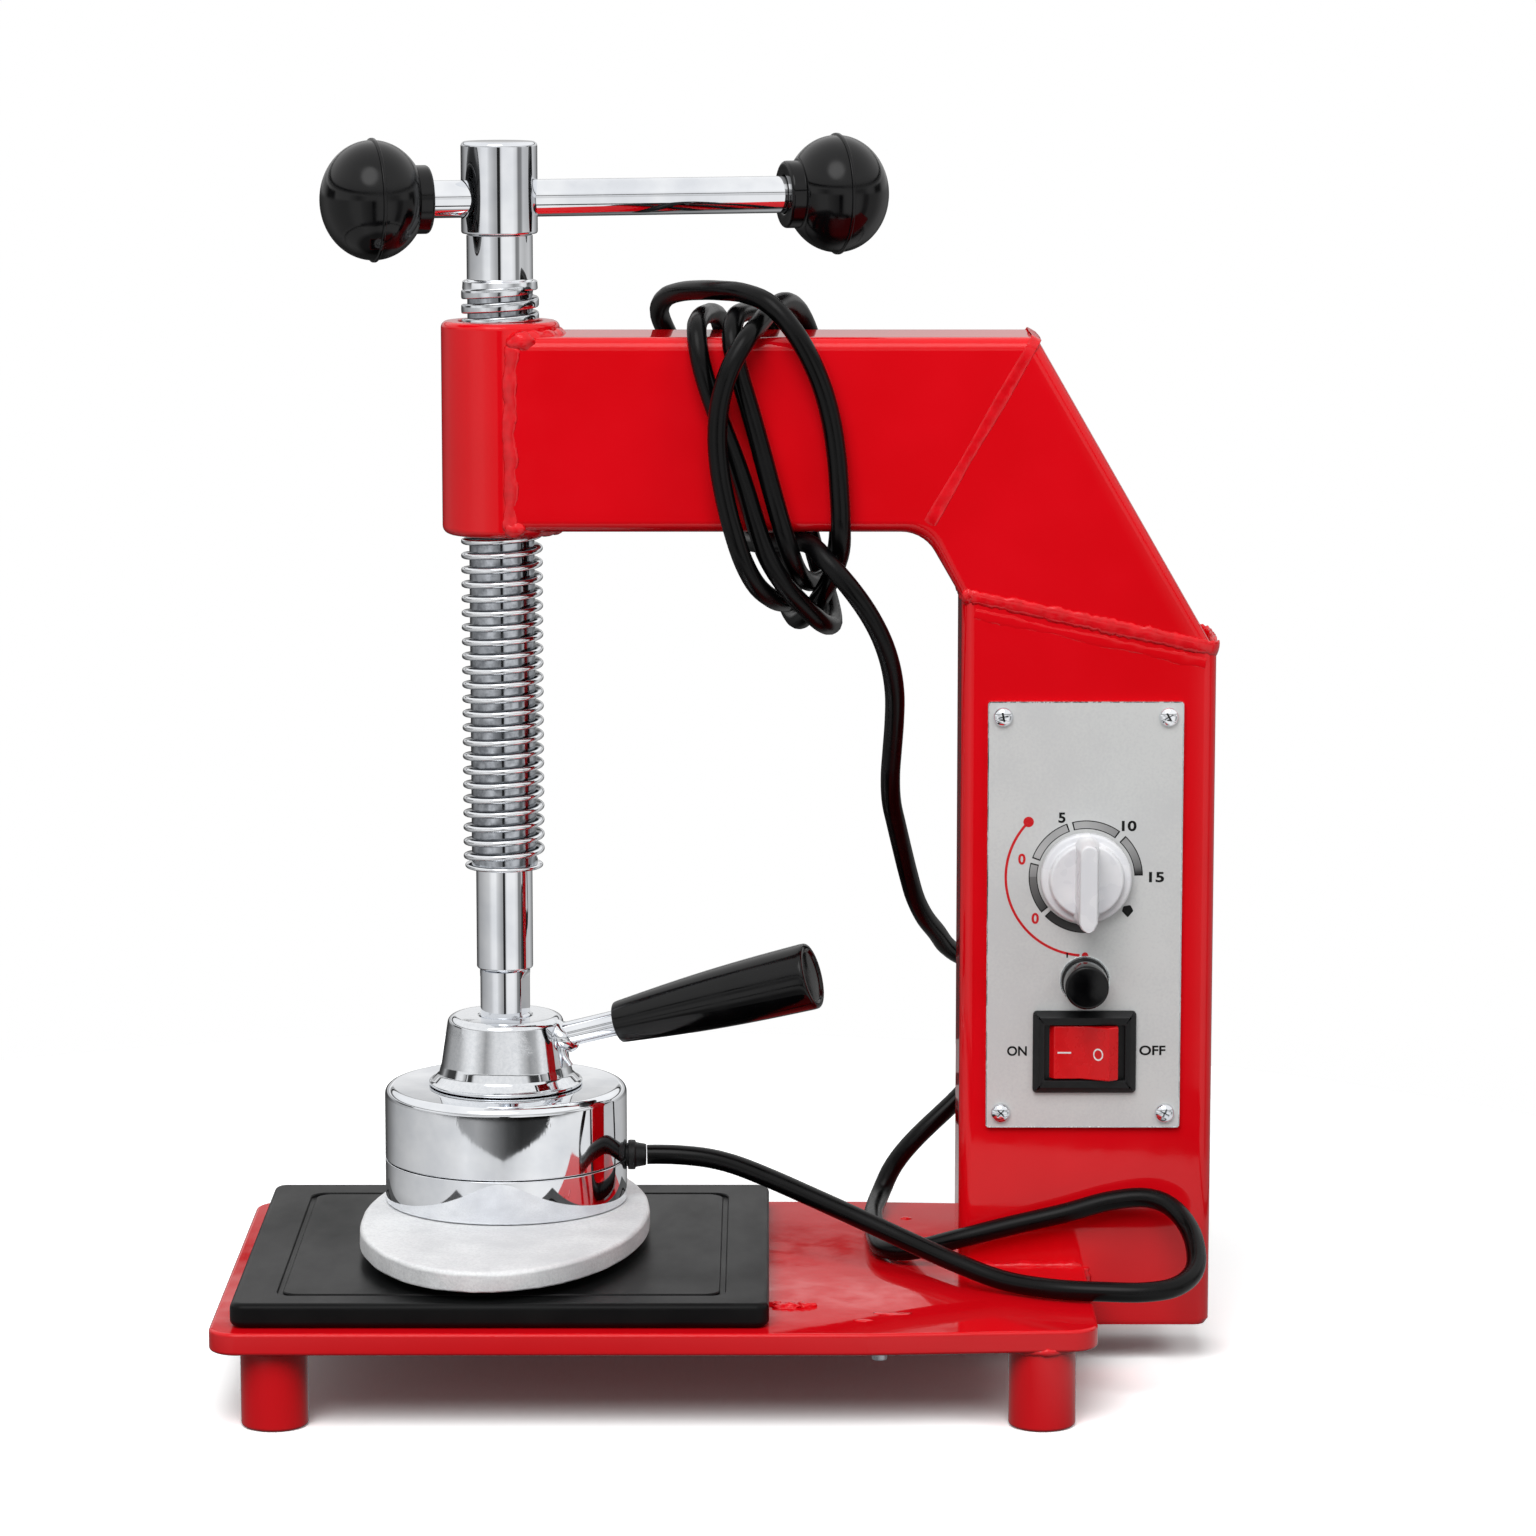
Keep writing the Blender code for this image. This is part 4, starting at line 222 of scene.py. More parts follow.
def roundCorners(corners, steps=5, loop=False):
    # Corners are (x, y) or (x, y, fillet), and each fillet becomes a short arc.
    done = []
    count = len(corners)
    for i, corner in enumerate(corners):
        here = Vector(corner[:2])
        if len(corner) < 3 or (not loop and i in (0, count - 1)):
            done.append(here)
            continue
        before = Vector(corners[i - 1][:2]) - here
        after = Vector(corners[(i + 1) % count][:2]) - here
        reach = min(before.length, after.length) * 0.495
        before.normalize()
        after.normalize()
        half = math.acos(max(-1, min(1, before.dot(after)))) / 2
        back = min(corner[2] / math.tan(half), reach)
        radius = back * math.tan(half)
        middle = here + (before + after).normalized() * radius / math.sin(half)
        first, last = here + before * back - middle, here + after * back - middle
        start = math.atan2(first.y, first.x)
        turn = (math.atan2(last.y, last.x) - start + math.pi) % (2 * math.pi) - math.pi
        for k in range(steps + 1):
            angle = start + turn * k / steps
            done.append(middle + Vector((math.cos(angle), math.sin(angle))) * radius)
    return done


def rectangle(left, right, low, high, corner, steps):
    spots = ((left, low), (right, low), (right, high), (left, high))
    return roundCorners([(*spot, corner) for spot in spots], steps, True)


def circle(steps):
    return [2 * math.pi * i / steps for i in range(steps)]


def arcPoints(x, y, radius, start, end, steps):
    angles = [math.radians(start + (end - start) * i / steps) for i in range(steps + 1)]
    return [(x + radius * math.cos(a), y + radius * math.sin(a)) for a in angles]


def skin(rings, loop=False, caps=(False, False)):
    # Faces between rings of points. A ring of one point is a pole.
    points, faces, starts = [], [], []
    for ring in rings:
        starts.append(len(points))
        points += ring
    pairs = list(zip(range(len(rings)), range(1, len(rings))))
    if loop:
        pairs.append((len(rings) - 1, 0))
    for a, b in pairs:
        first, second = len(rings[a]), len(rings[b])
        for i in range(max(first, second)):
            j = i + 1
            corners = [
                starts[a] + i % first, starts[b] + i % second, starts[b] + j % second, starts[a] + j % first,
            ]
            corners = list(dict.fromkeys(corners))
            if len(corners) > 2:
                faces.append(corners)
    for end, wanted in ((0, caps[0]), (len(rings) - 1, caps[1])):
        if wanted:
            faces.append([starts[end] + i for i in range(len(rings[end]))])
    return points, faces


def along(direction, place):
    return Matrix.Translation(place) @ Vector(direction).to_track_quat("Z", "Y").to_matrix().to_4x4()


def turned(corners, steps=96, place=Matrix(), cornerSteps=5, loop=False):
    # A profile of (radius, height, fillet) turned about Z and then put in place.
    rings = []
    for r, z in roundCorners(corners, cornerSteps, loop):
        if r < 1e-6:
            rings.append([place @ Vector((0, 0, z))])
            continue
        rings.append([place @ Vector((r * math.cos(a), r * math.sin(a), z)) for a in circle(steps)])
    return skin(rings, loop)


def peg(radius, low, high, steps, place, edge=None):
    # A plain cylinder along Z, put in place, with its lower edge rounded where an edge is given.
    lower = (radius, low, edge) if edge else (radius, low)
    return turned([(0, high), (radius, high), lower, (0, low)], steps, place)


def frames(line):
    # Two directions across the line at each point, which turn as little as possible from one to the next.
    ways = [(after - before).normalized() for before, after in zip([line[0], *line], [*line[1:], line[-1]])]
    side = ways[0].orthogonal().normalized()
    made = []
    for way in ways:
        side = (side - way * side.dot(way)).normalized()
        made.append((side, way.cross(side)))
    return made


def tubeAlong(line, radiusAt, sides=20, caps=(False, False)):
    rings = []
    far = 0
    total = lengthOf(line)
    for i, (spot, (side, up)) in enumerate(zip(line, frames(line))):
        far += (spot - line[i - 1]).length if i else 0
        radius = radiusAt(far, total) if callable(radiusAt) else radiusAt
        rings.append([spot + (side * math.cos(a) + up * math.sin(a)) * radius for a in circle(sides)])
    return skin(rings, caps=caps)


def offsetOutline(outline, by):
    # The outline moved inwards by a distance, corner by corner. It runs anticlockwise.
    done = []
    count = len(outline)
    for i, here in enumerate(outline):
        before = (Vector(here) - Vector(outline[i - 1])).normalized()
        after = (Vector(outline[(i + 1) % count]) - Vector(here)).normalized()
        inward = Vector((-before.y - after.y, before.x + after.x))
        inward = inward.normalized() / max(0.5, math.sqrt((1 + before.dot(after)) / 2))
        done.append(Vector(here) + inward * by)
    return done


def slab(outline, levels, turn=Matrix()):
    # A flat outline carried up through levels of (inset, height), closed at both ends.
    rings = [[turn @ Vector((x, y, z)) for x, y in offsetOutline(outline, inset)] for inset, z in levels]
    return skin(rings, caps=(True, True))


def roundedLevels(low, high, edge, steps=5):
    lower = [(edge * (1 - math.sin(a)), low + edge * (1 - math.cos(a)))
             for a in (math.pi / 2 * i / steps for i in range(steps + 1))]
    upper = [(inset, low + high - z) for inset, z in lower[::-1]]
    return lower + upper


def upright(outline, y, inset=0):
    # An outline drawn in XZ and moved inwards, stood up at y.
    return [Vector((x, y, z)) for x, z in offsetOutline(outline, inset)]


def toFront(x, y, z):
    # A place whose own height runs towards the viewer.
    return along((0, -1, 0), (x, y, z))


def facingFront(y):
    # x stays, y becomes height, and the thickness runs towards the viewer.
    return Matrix.Translation((0, y, 0)) @ Matrix.Rotation(math.pi / 2, 4, "X")


def addSkin(grid, points, faces):
    placed = [grid.verts.new(Vector(p) * mm) for p in points]
    for face in faces:
        grid.faces.new([placed[i] for i in face])


def meshOf(name, skins, mesh=None):
    # A mesh of skins, added to a given mesh where there is one.
    grid = bmesh.new()
    if mesh:
        grid.from_mesh(mesh)
    for points, faces in skins:
        addSkin(grid, points, faces)
    bmesh.ops.recalc_face_normals(grid, faces=grid.faces)
    mesh = mesh or bpy.data.meshes.new(name)
    grid.to_mesh(mesh)
    grid.free()
    return mesh


def makePiece(name, skins, look, body, replaces=(), sharp=32, even=True):
    return finishPiece(name, meshOf(name, skins), look, body, replaces, sharp, even)


def finishPiece(name, mesh, look, body, replaces=(), sharp=32, even=True):
    mesh.materials.clear()
    mesh.materials.append(look)
    mesh.shade_smooth()
    mesh.set_sharp_from_angle(angle=math.radians(sharp))
    piece = addObject(name, mesh)
    if even:
        weigh = piece.modifiers.new("evenShading", "WEIGHTED_NORMAL")
        weigh.keep_sharp = True
        weigh.weight = 80
    if isinstance(body, tuple):
        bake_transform(piece)  # a piece between two bodies: its place is baked in and it is attached to neither
    else:
        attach(piece, body)
    if replaces:
        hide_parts(*replaces)
    return piece


def meshWithCuts(name, skins, cutters, add=False):
    # A mesh made of closed skins, with other closed skins taken away from it or added to it.
    base = addObject(name, meshOf(name, skins))
    tools = []
    for i, cutter in enumerate(cutters):
        label = f"{name}Cutter{i}"
        tools.append(addObject(label, meshOf(label, [cutter])))
    for tool in tools:
        step = base.modifiers.new(tool.name, "BOOLEAN")
        step.operation = "UNION" if add else "DIFFERENCE"
        step.solver = "EXACT"
        step.object = tool
    graph = bpy.context.evaluated_depsgraph_get()
    graph.update()
    made = bpy.data.meshes.new_from_object(base.evaluated_get(graph))
    for used in [base, *tools]:
        bpy.data.objects.remove(used)
    made.name = name
    return made


# Cords

cords = {
    "radius": 3.1, "step": 2.6, "sides": 28,
    "heaterStart": (104, 60.9, 84),
    "heaterRoute": (
        (104, 66, 84), (104, 71, 84), (98, 80, 81), (86, 83, 76), (76, 79, 67), (63, 76, 55), (56, 76, 46),
        (52, 73, 38), (50, 64, 35.5), (49, 52, 35.4), (49, 36, 35.4), (49.5, 18, 35.4), (52, 6, 35.4),
        (60, -1, 36.6), (74, -4.5, 41), (90, -5.8, 45.5), (108, -6.6, 50), (122, -7, 54), (134, -9, 55.5),
        (142, -14, 53), (147, -24, 47), (147, -37, 40), (141, -46, 36.5), (131, -49.5, 35.4),
        (118, -49, 35.4), (103, -45.5, 35.4), (88, -37.5, 36), (74, -30, 39.5), (58, -20, 44.5),
        (42, -11, 50), (28, -2.5, 54.5), (16, 5, 58.2), (5, 11.3, 61.2), (-4, 15.2, 62.7), (-13, 17.5, 63.2),
        (-20, 18.1, 63.3), (-23.8, 18.1, 63.25),
    ),
    "riseStart": (88, -37.5, 36), "riseEnd": (16, 5, 58.2), "headEntry": (-23.8, 18.1, 63.25),
    "mainsStart": (104, 60.9, 108),
    "mainsRoute": (
        (104, 66, 108), (104, 71, 108), (98, 79, 110), (87, 81, 114), (76, 74, 118), (68.5, 60, 129),
        (62.5, 49, 140), (56, 33, 166), (53.5, 24, 180), (54, 15, 197), (54.5, 8, 211), (52.5, 1, 225),
        (49, -4, 234.5), (43.5, -7, 244), (36.5, -8.5, 253), (30, -7, 259), (22, -1, 261),
    ),
    "mainsTail": (
        (38, 51, 291), (54, 49, 303), (72, 47, 308), (88, 46, 305), (99, 45.5, 293), (104.5, 46, 276),
        (106.5, 48, 257), (107.4, 52, 240), (107.5, 56, 227), (107.5, 57, 219), (107.5, 57, 214.3),
    ),
    "armMiddle": 294.8, "armHeight": 60.4, "tubeDepth": 40, "tubeCorner": 4, "fit": 0.3,
    "windingStep": 10.5, "clearance": 1.2, "armClearance": 0.45, "heldBelow": 222,
}
# A turn's places as shares of the arm's half section, from below it up behind and down in front.
loopShares = (
    (0, -1), (0.76, -1), (1, -0.7), (1, 0), (1, 0.63), (0.93, 0.95),
    (0, 1), (-0.93, 0.95), (-1, 0.5), (-1, -0.15), (-1, -0.75), (-0.76, -1.1),
)
# Each turn's places there: how far along the arm and how far out it lies, in cord diameters.
windingShares = (
    ((1.9, 0), (1.3, 0), (1, 0), (0.7, 0), (0.3, 0), (0, 0),
     (-0.6, 0), (-1.4, 0), (-0.8, 0), (0.7, 0), (2.1, 0.4), (3.2, 0.7)),
    ((5.5, 4.3), (4.8, 1.4), (4, 0), (3.4, 0), (2.9, 0), (2.3, 0),
     (1.5, 0), (0.6, 0), (1.3, 0), (2.1, 0), (3, 0.4), (3.8, 0.4)),
    ((5, 2.7), (6.1, 0.5), (5.8, 0), (5.3, 0), (4.8, 0), (4.2, 0),
     (3.1, 1), (1.5, 0.7), (0.2, 1.1), (-0.1, 1.1), (0.9, 1.1), (2, 1.3)),
    ((3.9, 3.3), (2.7, 1.4), (1.3, 1.1), (-0.5, 1.2), (-2.3, 1.1), (-3.5, 0.6),
     (-1, 1.5), (2.9, 0.7), (5, 0.1), (5.8, 0), (5.7, 0), (5.5, -0.2)),
    ((4.4, 4.5), (3.2, 2.7), (3.5, 1.3)),
)


def windingPlaces(c):
    halfY = c["tubeDepth"] / 2 + c["radius"] + c["fit"]
    halfZ = c["armHeight"] / 2 + c["radius"] + c["fit"]
    thick = 2 * c["radius"]
    places = []
    for turn in windingShares:
        for (ahead, out), (side, up) in zip(turn, loopShares):
            out *= thick
            places.append((ahead * thick, axisY + side * (halfY + out), c["armMiddle"] + up * (halfZ + out)))
    return places


def clearOfArm(spots, c):
    # How far each place has to move for a cord there to lie against the arm and not in it.
    middle = np.array((axisY, c["armMiddle"]))
    flat = np.array((c["tubeDepth"], c["armHeight"])) / 2 - c["tubeCorner"]
    reach = c["tubeCorner"] + c["radius"] + c["armClearance"]
    side = spots[:, 1:] - middle
    past = np.maximum(np.abs(side) - flat, 0)
    far = np.maximum(np.linalg.norm(past, axis=1, keepdims=True), 1)
    need = np.maximum(reach / far - 1, 0) * past * np.sign(side)
    return np.column_stack((np.zeros(len(spots)), need))


def settle(points, held, c, parts=4, neighbours=3, rounds=700, pull=0.01, bend=0.01, evenness=0.1, push=0.1):
    # Spreads the turns as a springy cord does, until they clear each other and the arm. The first ones stay.
    line = np.array(points)
    laid = line.copy()
    count = len(line)
    first = np.repeat(np.arange(count - 1), parts)
    share = np.tile(np.arange(parts) / parts, count - 1)[:, None]
    apart = np.abs(first[:, None] - first[None]) >= neighbours
    loose = (np.arange(count) >= held)[:, None] * 1.0
    wanted = 2 * c["radius"] + c["clearance"]
    for _ in range(rounds):
        move = pull * (laid - line)
        move[2:-2] += bend * (4 * line[1:-3] + 4 * line[3:-1] - line[:-4] - line[4:] - 6 * line[2:-2])
        run = line[1:] - line[:-1]
        length = np.linalg.norm(run, axis=1, keepdims=True)
        even = evenness * (length - length.mean()) / length * run
        move[:-1] += even
        move[1:] -= even
        spots = line[first] * (1 - share) + line[first + 1] * share
        gap = spots[:, None] - spots[None]
        far = np.maximum(np.linalg.norm(gap, axis=2), 1)
        pushed = np.where(apart & (far < wanted), wanted / far - 1, 0)
        force = push * (gap * pushed[..., None]).sum(axis=1)
        np.add.at(move, first, force * (1 - share))
        np.add.at(move, first + 1, force * share)
        line += move * loose
        for _ in range(2):
            spots = line[first] * (1 - share) + line[first + 1] * share
            shift = clearOfArm(spots, c)
            before, after = np.zeros_like(line), np.zeros_like(line)
            np.add.at(before, first, shift * (1 - share))
            np.add.at(after, first + 1, shift * share)
            line += (before + after) * loose / parts * 2
    return [Vector(place) for place in line]


def straightStart(points, way, c):
    return [points[0], points[0] + Vector(way) * 2 * c["radius"], *points[1:]]


def straightEnd(points, way, c):
    return straightStart(points[::-1], way, c)[::-1]


# Butyl rubber sheath, extruded: satin black with a soft highlight along it and a little dust in the grain.
cordLook = mixed(
    "cordRubberExtruded", "#040404", 0.24, 0, ((14,), "#030303", "#060607"), ((14,), 0.2, 0.32),
    (((0.7, 2), 0.02, 0.2), ((22, 1), 0.4, 0.12)), IOR=1.52, Specular_IOR_Level=0.17,
)


def makeMainsCord(c):
    places = [c["mainsStart"], *c["mainsRoute"], *windingPlaces(c), *c["mainsTail"]]
    points = smoothLine(places, c["windingStep"])
    held = next(i for i, place in enumerate(points) if place[2] > c["heldBelow"])
    points = settle(points, held, c)
    points = straightEnd(straightStart(points, (0, 1, 0), c), (0, 0, 1), c)
    fine = smoothLine(points, c["step"])
    curve = bpy.data.curves.new("mainsCord", "CURVE")
    curve.dimensions = "3D"
    curve.bevel_depth = c["radius"] * mm
    curve.bevel_resolution = 6
    curve.use_fill_caps = True
    line = curve.splines.new("POLY")
    line.points.add(len(fine) - 1)
    for spot, place in zip(line.points, fine):
        spot.co = (*(place * mm), 1.0)
    line.use_smooth = True
    curve.materials.append(cordLook)
    cord = addObject("mainsCord", curve)
    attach(cord, "frame")
    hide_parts("mains_cord_run", "mains_cord_winding", "mains_cord_tail")
    print(f"mains cord {lengthOf(fine) * mm:.3f} m")
    return cord, Vector(c["mainsStart"]) * mm, lengthOf(fine) * mm


def makeHeaterLead(c):
    points = smoothLine([c["heaterStart"], *c["heaterRoute"]], c["step"])
    cuts = []
    for target in (c["riseStart"], c["riseEnd"]):
        cuts.append(min(range(len(points)), key=lambda i: (points[i] - Vector(target)).length))
    low, middle, high = (Vector(c[key]) * mm for key in ("riseStart", "riseEnd", "headEntry"))
    # Each stretch: its points, the body or bodies it goes with, and the node it takes the place of.
    parts = {
        "heaterLeadRun": (points[:cuts[0] + 1], "frame", ("heater_lead_run",)),
        "heaterLeadRise": (points[cuts[0]:cuts[1] + 1], ("frame", "thrust", low, middle), ()),
        "heaterLeadEnd": (points[cuts[1]:], ("thrust", "press_head", middle, high), ("heater_lead_end",)),
    }
    made = {}
    for name, (line, body, nodes) in parts.items():
        tube = tubeAlong(line, c["radius"], c["sides"])
        mesh = makePiece(name, [tube], cordLook, body, nodes, even=False)
        made[name] = (mesh, [p * mm for p in line])
    return made


mainsCord, mainsExit, mainsLength = makeMainsCord(cords)
heaterLead = makeHeaterLead(cords)
print("cords laid")


# Materials

def threadChrome():
    # Rolled thread, plated. Its colour is painted by radius: painted highlights on its crests, lighter in its
    # root, and painted shade on the flanks between them.
    made, tree, shader, place = startMaterial("chromeThread", "#dcdfe3", 0.08, 1.0)
    film = grains(tree, place, 3, 3)
    roughBy(tree, shader, film, 0.04, 0.16)
    radius = fromAxis(tree, place)[2]
    root, crest = threadShadingRadii
    high = spreadTo(tree, radius, 0, 1, root * mm, crest * mm)
    high = calc(tree, "ADD", high, spreadTo(tree, film, -0.05, 0.05))
    # From root to crest: lighter in the root, painted shade on the flanks, a painted highlight on the crest.
    stops = ((0, "#b9bdc3"), (0.12, "#6b6f75"), (0.5, "#54575c"), (0.74, "#dfe2e6"), (1, "#f0f2f5"))
    tree.links.new(addRamp(tree, high, stops), shader.inputs["Base Color"])
    bumpOf(tree, shader, (grains(tree, place, 2.2, 2), 0.05, 0.15))
    return made


def castChrome():
    # Chrome over a rough casting: mirror where it was polished, pitted where the sand skin stayed.
    made, tree, shader, place = startMaterial("chromeOverCasting", "#e2e5e9", 0.1, 1.0)
    patch = spreadTo(tree, grains(tree, place, 17, 2), 0, 1, 0.58, 0.7)
    pit = grains(tree, place, 1.1, 3, 0.7)
    rough = calc(tree, "ADD", calc(tree, "MULTIPLY", patch, 0.16), 0.035)
    tree.links.new(rough, shader.inputs["Roughness"])
    colourBy(tree, shader, pit, "#e9ebee", "#dcdfe3")
    height = calc(tree, "MULTIPLY", patch, pit)
    bumpOf(tree, shader, (height, 0.2, 0.45), (grains(tree, place, 12, 1), 0.2, 0.08))
    return made


def castAluminium():
    # Sand-cast aluminium, shot-blasted: pale and matte with a fine grain and faint grey swirls.
    # The blasted skin scatters light much as a pale powder does, so it is only partly metallic here.
    made, tree, shader, place = startMaterial("aluminiumSandCast", "#f3f4f5", 0.6, 0.35)
    grain = grains(tree, place, 0.9, 3, 0.7)
    swirl = calc(tree, "MULTIPLY", grain, grains(tree, place, 24, 2))
    colourBy(tree, shader, swirl, "#e0e1e3", "#f6f7f8", 0.14, 0.36)
    roughBy(tree, shader, grain, 0.54, 0.68)
    bumpOf(tree, shader, (grain, 0.2, 0.6), (grains(tree, place, 5, 2), 0.3, 0.25))
    return made


def panelAluminium():
    # Anodised aluminium sheet with a matte etched face: even pale grey with a very fine grain.
    made, tree, shader, place = startMaterial("aluminiumAnodisedMatte", "#d3d4d4", 0.5, 0.2)
    grain = grains(tree, place, 0.9, 3)
    cloud = calc(tree, "MULTIPLY", grain, grains(tree, place, 24, 2))
    colourBy(tree, shader, cloud, "#d0d1d1", "#d7d8d7", 0.16, 0.34)
    roughBy(tree, shader, grain, 0.46, 0.56)
    bumpOf(tree, shader, (grain, 0.01, 0.25))
    return made


def ink(name, colour, worn):
    # Screen-printed ink: matte, a touch thin in places, so the panel shows through as a paler tone.
    return mixed(name, colour, 0.55, 0, ((0.7,), colour, worn), ((2,), 0.45, 0.65), Specular_IOR_Level=0.2)


def innerMaterial(name, first, second, roughness, metallic, size):
    # Inner parts, seen through gaps only: their plain trade finish with a fine grain.
    dulled = ((size,), roughness - 0.08, roughness + 0.08)
    return mixed(name, first, roughness, metallic, ((size,), first, second), dulled, (((size,), 0.03, 0.2),))


# Stoving enamel sprayed over welded steel: deep clean red under a wet gloss with a fine orange peel.
# Real orange peel is about 1 mm; drawn at 2.6 mm so that it shows as a faint ripple in reflections.
enamelLook = mixed(
    "redStovingEnamel", "#df0a16", 0.045, 0, ((38, 2), "#dc0914", "#e20b18"), ((9,), 0.03, 0.065),
    (((2.6, 1), 0.012, 0.1), ((26, 1), 0.2, 0.1)), IOR=1.5, Specular_IOR_Level=0.32,
)
# The same enamel over weld beads: the paint pools in the ripples, so it is wetter and lumpier.
weldLook = mixed(
    "redEnamelOverWeld", "#df0c18", 0.12, 0, ((3.4, 2), "#d40915", "#e6101d"), ((5,), 0.07, 0.22),
    (((3.4, 2), 0.3, 0.25), ((1.1, 2), 0.06, 0.2)), IOR=1.5, Specular_IOR_Level=0.4,
)
# Bright chrome over polished steel: a mirror, with faint wiping haze.
chromeLook = mixed(
    "chromePolished", "#eceef1", 0.03, 1.0, ((16, 3), "#f0f2f5", "#dfe2e7"), ((16, 3), 0.015, 0.05),
    (((30, 1), 0.4, 0.03),),
)
# Zinc-plated turned steel: grey, half bright.
steelLook = mixed(
    "steelZincPlated", "#b4b7bb", 0.3, 1.0, ((2.2, 3), "#a6aaae", "#c2c5c9"), ((2.2, 3), 0.22, 0.42),
    (((2.2, 3), 0.03, 0.2),),
)
# Compression-moulded bakelite: deep black, polished, with a soft waviness.
bakeliteLook = mixed(
    "bakeliteMoulded", "#040405", 0.1, 0, ((11, 2), "#030304", "#070708"), ((11, 2), 0.08, 0.2),
    (((5, 2), 0.12, 0.2),), IOR=1.55, Specular_IOR_Level=0.26,
)
# Compression-moulded nitrile rubber: matte charcoal, with chalky wipe marks along its length.
# The moulded grain is about 0.3 mm; drawn at 0.9 mm so that it shows.
wipeMarks = (34, 4, 0.6, (1, 0.4, 1))
padLook = mixed(
    "nitrileRubberMoulded", "#0d0d0e", 0.36, 0, (wipeMarks, "#0a0a0b", "#131414"), (wipeMarks, 0.28, 0.44),
    (((0.9, 3), 0.03, 0.25), ((26, 2), 0.4, 0.14)), IOR=1.52, Specular_IOR_Level=0.1,
)
# Moulded PVC of glands and strain reliefs: black, a little duller than the cord.
softLook = mixed(
    "pvcMoulded", "#0a0a0b", 0.42, 0, ((6,), "#080809", "#101112"), ((6,), 0.34, 0.5),
    (((0.8, 2), 0.04, 0.3),), IOR=1.52, Specular_IOR_Level=0.3,
)
# The sheared edge of the panel's sheet: bare bright metal, scored across.
shearMarks = (1.4, 2, 0.6, (1, 1, 0.2))
edgeLook = mixed(
    "aluminiumSheared", "#dfe4e6", 0.22, 1.0, (shearMarks, "#d2d8da", "#eef3f4"), (shearMarks, 0.14, 0.32),
)
# Moulded ABS knob: cool white, satin, with a faint milky depth.
whiteLook = mixed(
    "absWhiteMoulded", "#e6e7ea", 0.28, 0, ((9, 2), "#e2e3e7", "#ececee"), ((9, 2), 0.22, 0.36),
    (((0.6, 2), 0.01, 0.2),), IOR=1.53, Subsurface_Weight=0.08, Subsurface_Radius=(0.003, 0.003, 0.003),
)
# Moulded nylon bezel: black with a spark-eroded grain.
nylonLook = mixed(
    "nylonBlackGrained", "#0c0d0e", 0.36, 0, ((8,), "#0a0b0c", "#121314"), ((0.5, 2), 0.3, 0.44),
    (((0.5, 2), 0.012, 0.35),), IOR=1.53, Specular_IOR_Level=0.3,
)
# Moulded polycarbonate rocker: saturated red, satin.
rockerLook = mixed(
    "polycarbonateRed", "#d60a12", 0.24, 0, ((7,), "#d00810", "#dc0d15"), ((7,), 0.2, 0.32),
    (((0.6, 2), 0.01, 0.2),), IOR=1.58, Specular_IOR_Level=0.35,
)
threadLook, castChromeLook = threadChrome(), castChrome()
castLook, panelLook = castAluminium(), panelAluminium()
blackInk = ink("inkBlackPrinted", "#0b0b0b", "#151515")
redInk = ink("inkRedPrinted", "#c4141b", "#cf2a30")
whiteInk = ink("inkWhitePrinted", "#f2f2f2", "#dcdcdc")
print("materials mixed")


# Welds

def weldRings(spots, width, height, ripple, lumps, seed, closed=False, sides=14, fade=0.0):
    # A bead along (place, outward) pairs: domed, rippled by each pass of the torch, and uneven.
    line = [spot for spot, outward in spots]
    rings = []
    far = 0
    total = lengthOf(line)
    for i, (spot, outward) in enumerate(spots):
        before = line[i - 1] if i or closed else line[0]
        after = line[(i + 1) % len(line)] if i < len(line) - 1 or closed else line[-1]
        way = (after - before).normalized()
        outward = (outward - way * outward.dot(way)).normalized()
        side = way.cross(outward)
        far += (spot - line[i - 1]).length if i else 0
        swell = 1 + 0.12 * math.sin(2 * math.pi * far / ripple)
        swell += lumps * noise.noise(spot * 0.21 + Vector((seed, 0, 0)))
        if fade and not closed:
            swell *= min(1, far / fade + 0.25, (total - far) / fade + 0.25)
        ring = []
        for angle in circle(sides):
            reach = swell * (1 + lumps * noise.noise(spot * 0.6 + Vector((seed, angle, 0))))
            across = side * math.cos(angle) * width / 2 * reach
            ring.append(spot + across + outward * math.sin(angle) * height * swell)
        rings.append(ring)
    return skin(rings, loop=closed, caps=(not closed, not closed))


def weldLine(start, end, outward, count, width, height, ripple, lumps, seed, **more):
    # A straight bead.
    start, end, outward = Vector(start), Vector(end), Vector(outward)
    spots = [(start + (end - start) * i / count, outward) for i in range(count + 1)]
    return weldRings(spots, width, height, ripple, lumps, seed, **more)


def lump(place, size, seed, roughness=0.25, steps=14):
    # A blob of weld or pooled paint: a squashed ball with an uneven skin.
    rings = [[Vector(place) - Vector((0, 0, size[2]))]]
    for i in range(1, steps):
        rise = -math.pi / 2 + math.pi * i / steps
        ring = []
        for turn in circle(2 * steps):
            way = Vector((math.cos(rise) * math.cos(turn), math.cos(rise) * math.sin(turn), math.sin(rise)))
            swell = 1 + roughness * noise.noise(way * 1.7 + Vector((seed, seed, 0)))
            ring.append(Vector(place) + Vector([way[n] * size[n] * swell for n in range(3)]))
        rings.append(ring)
    rings.append([Vector(place) + Vector((0, 0, size[2]))])
    return skin(rings)


# Frame

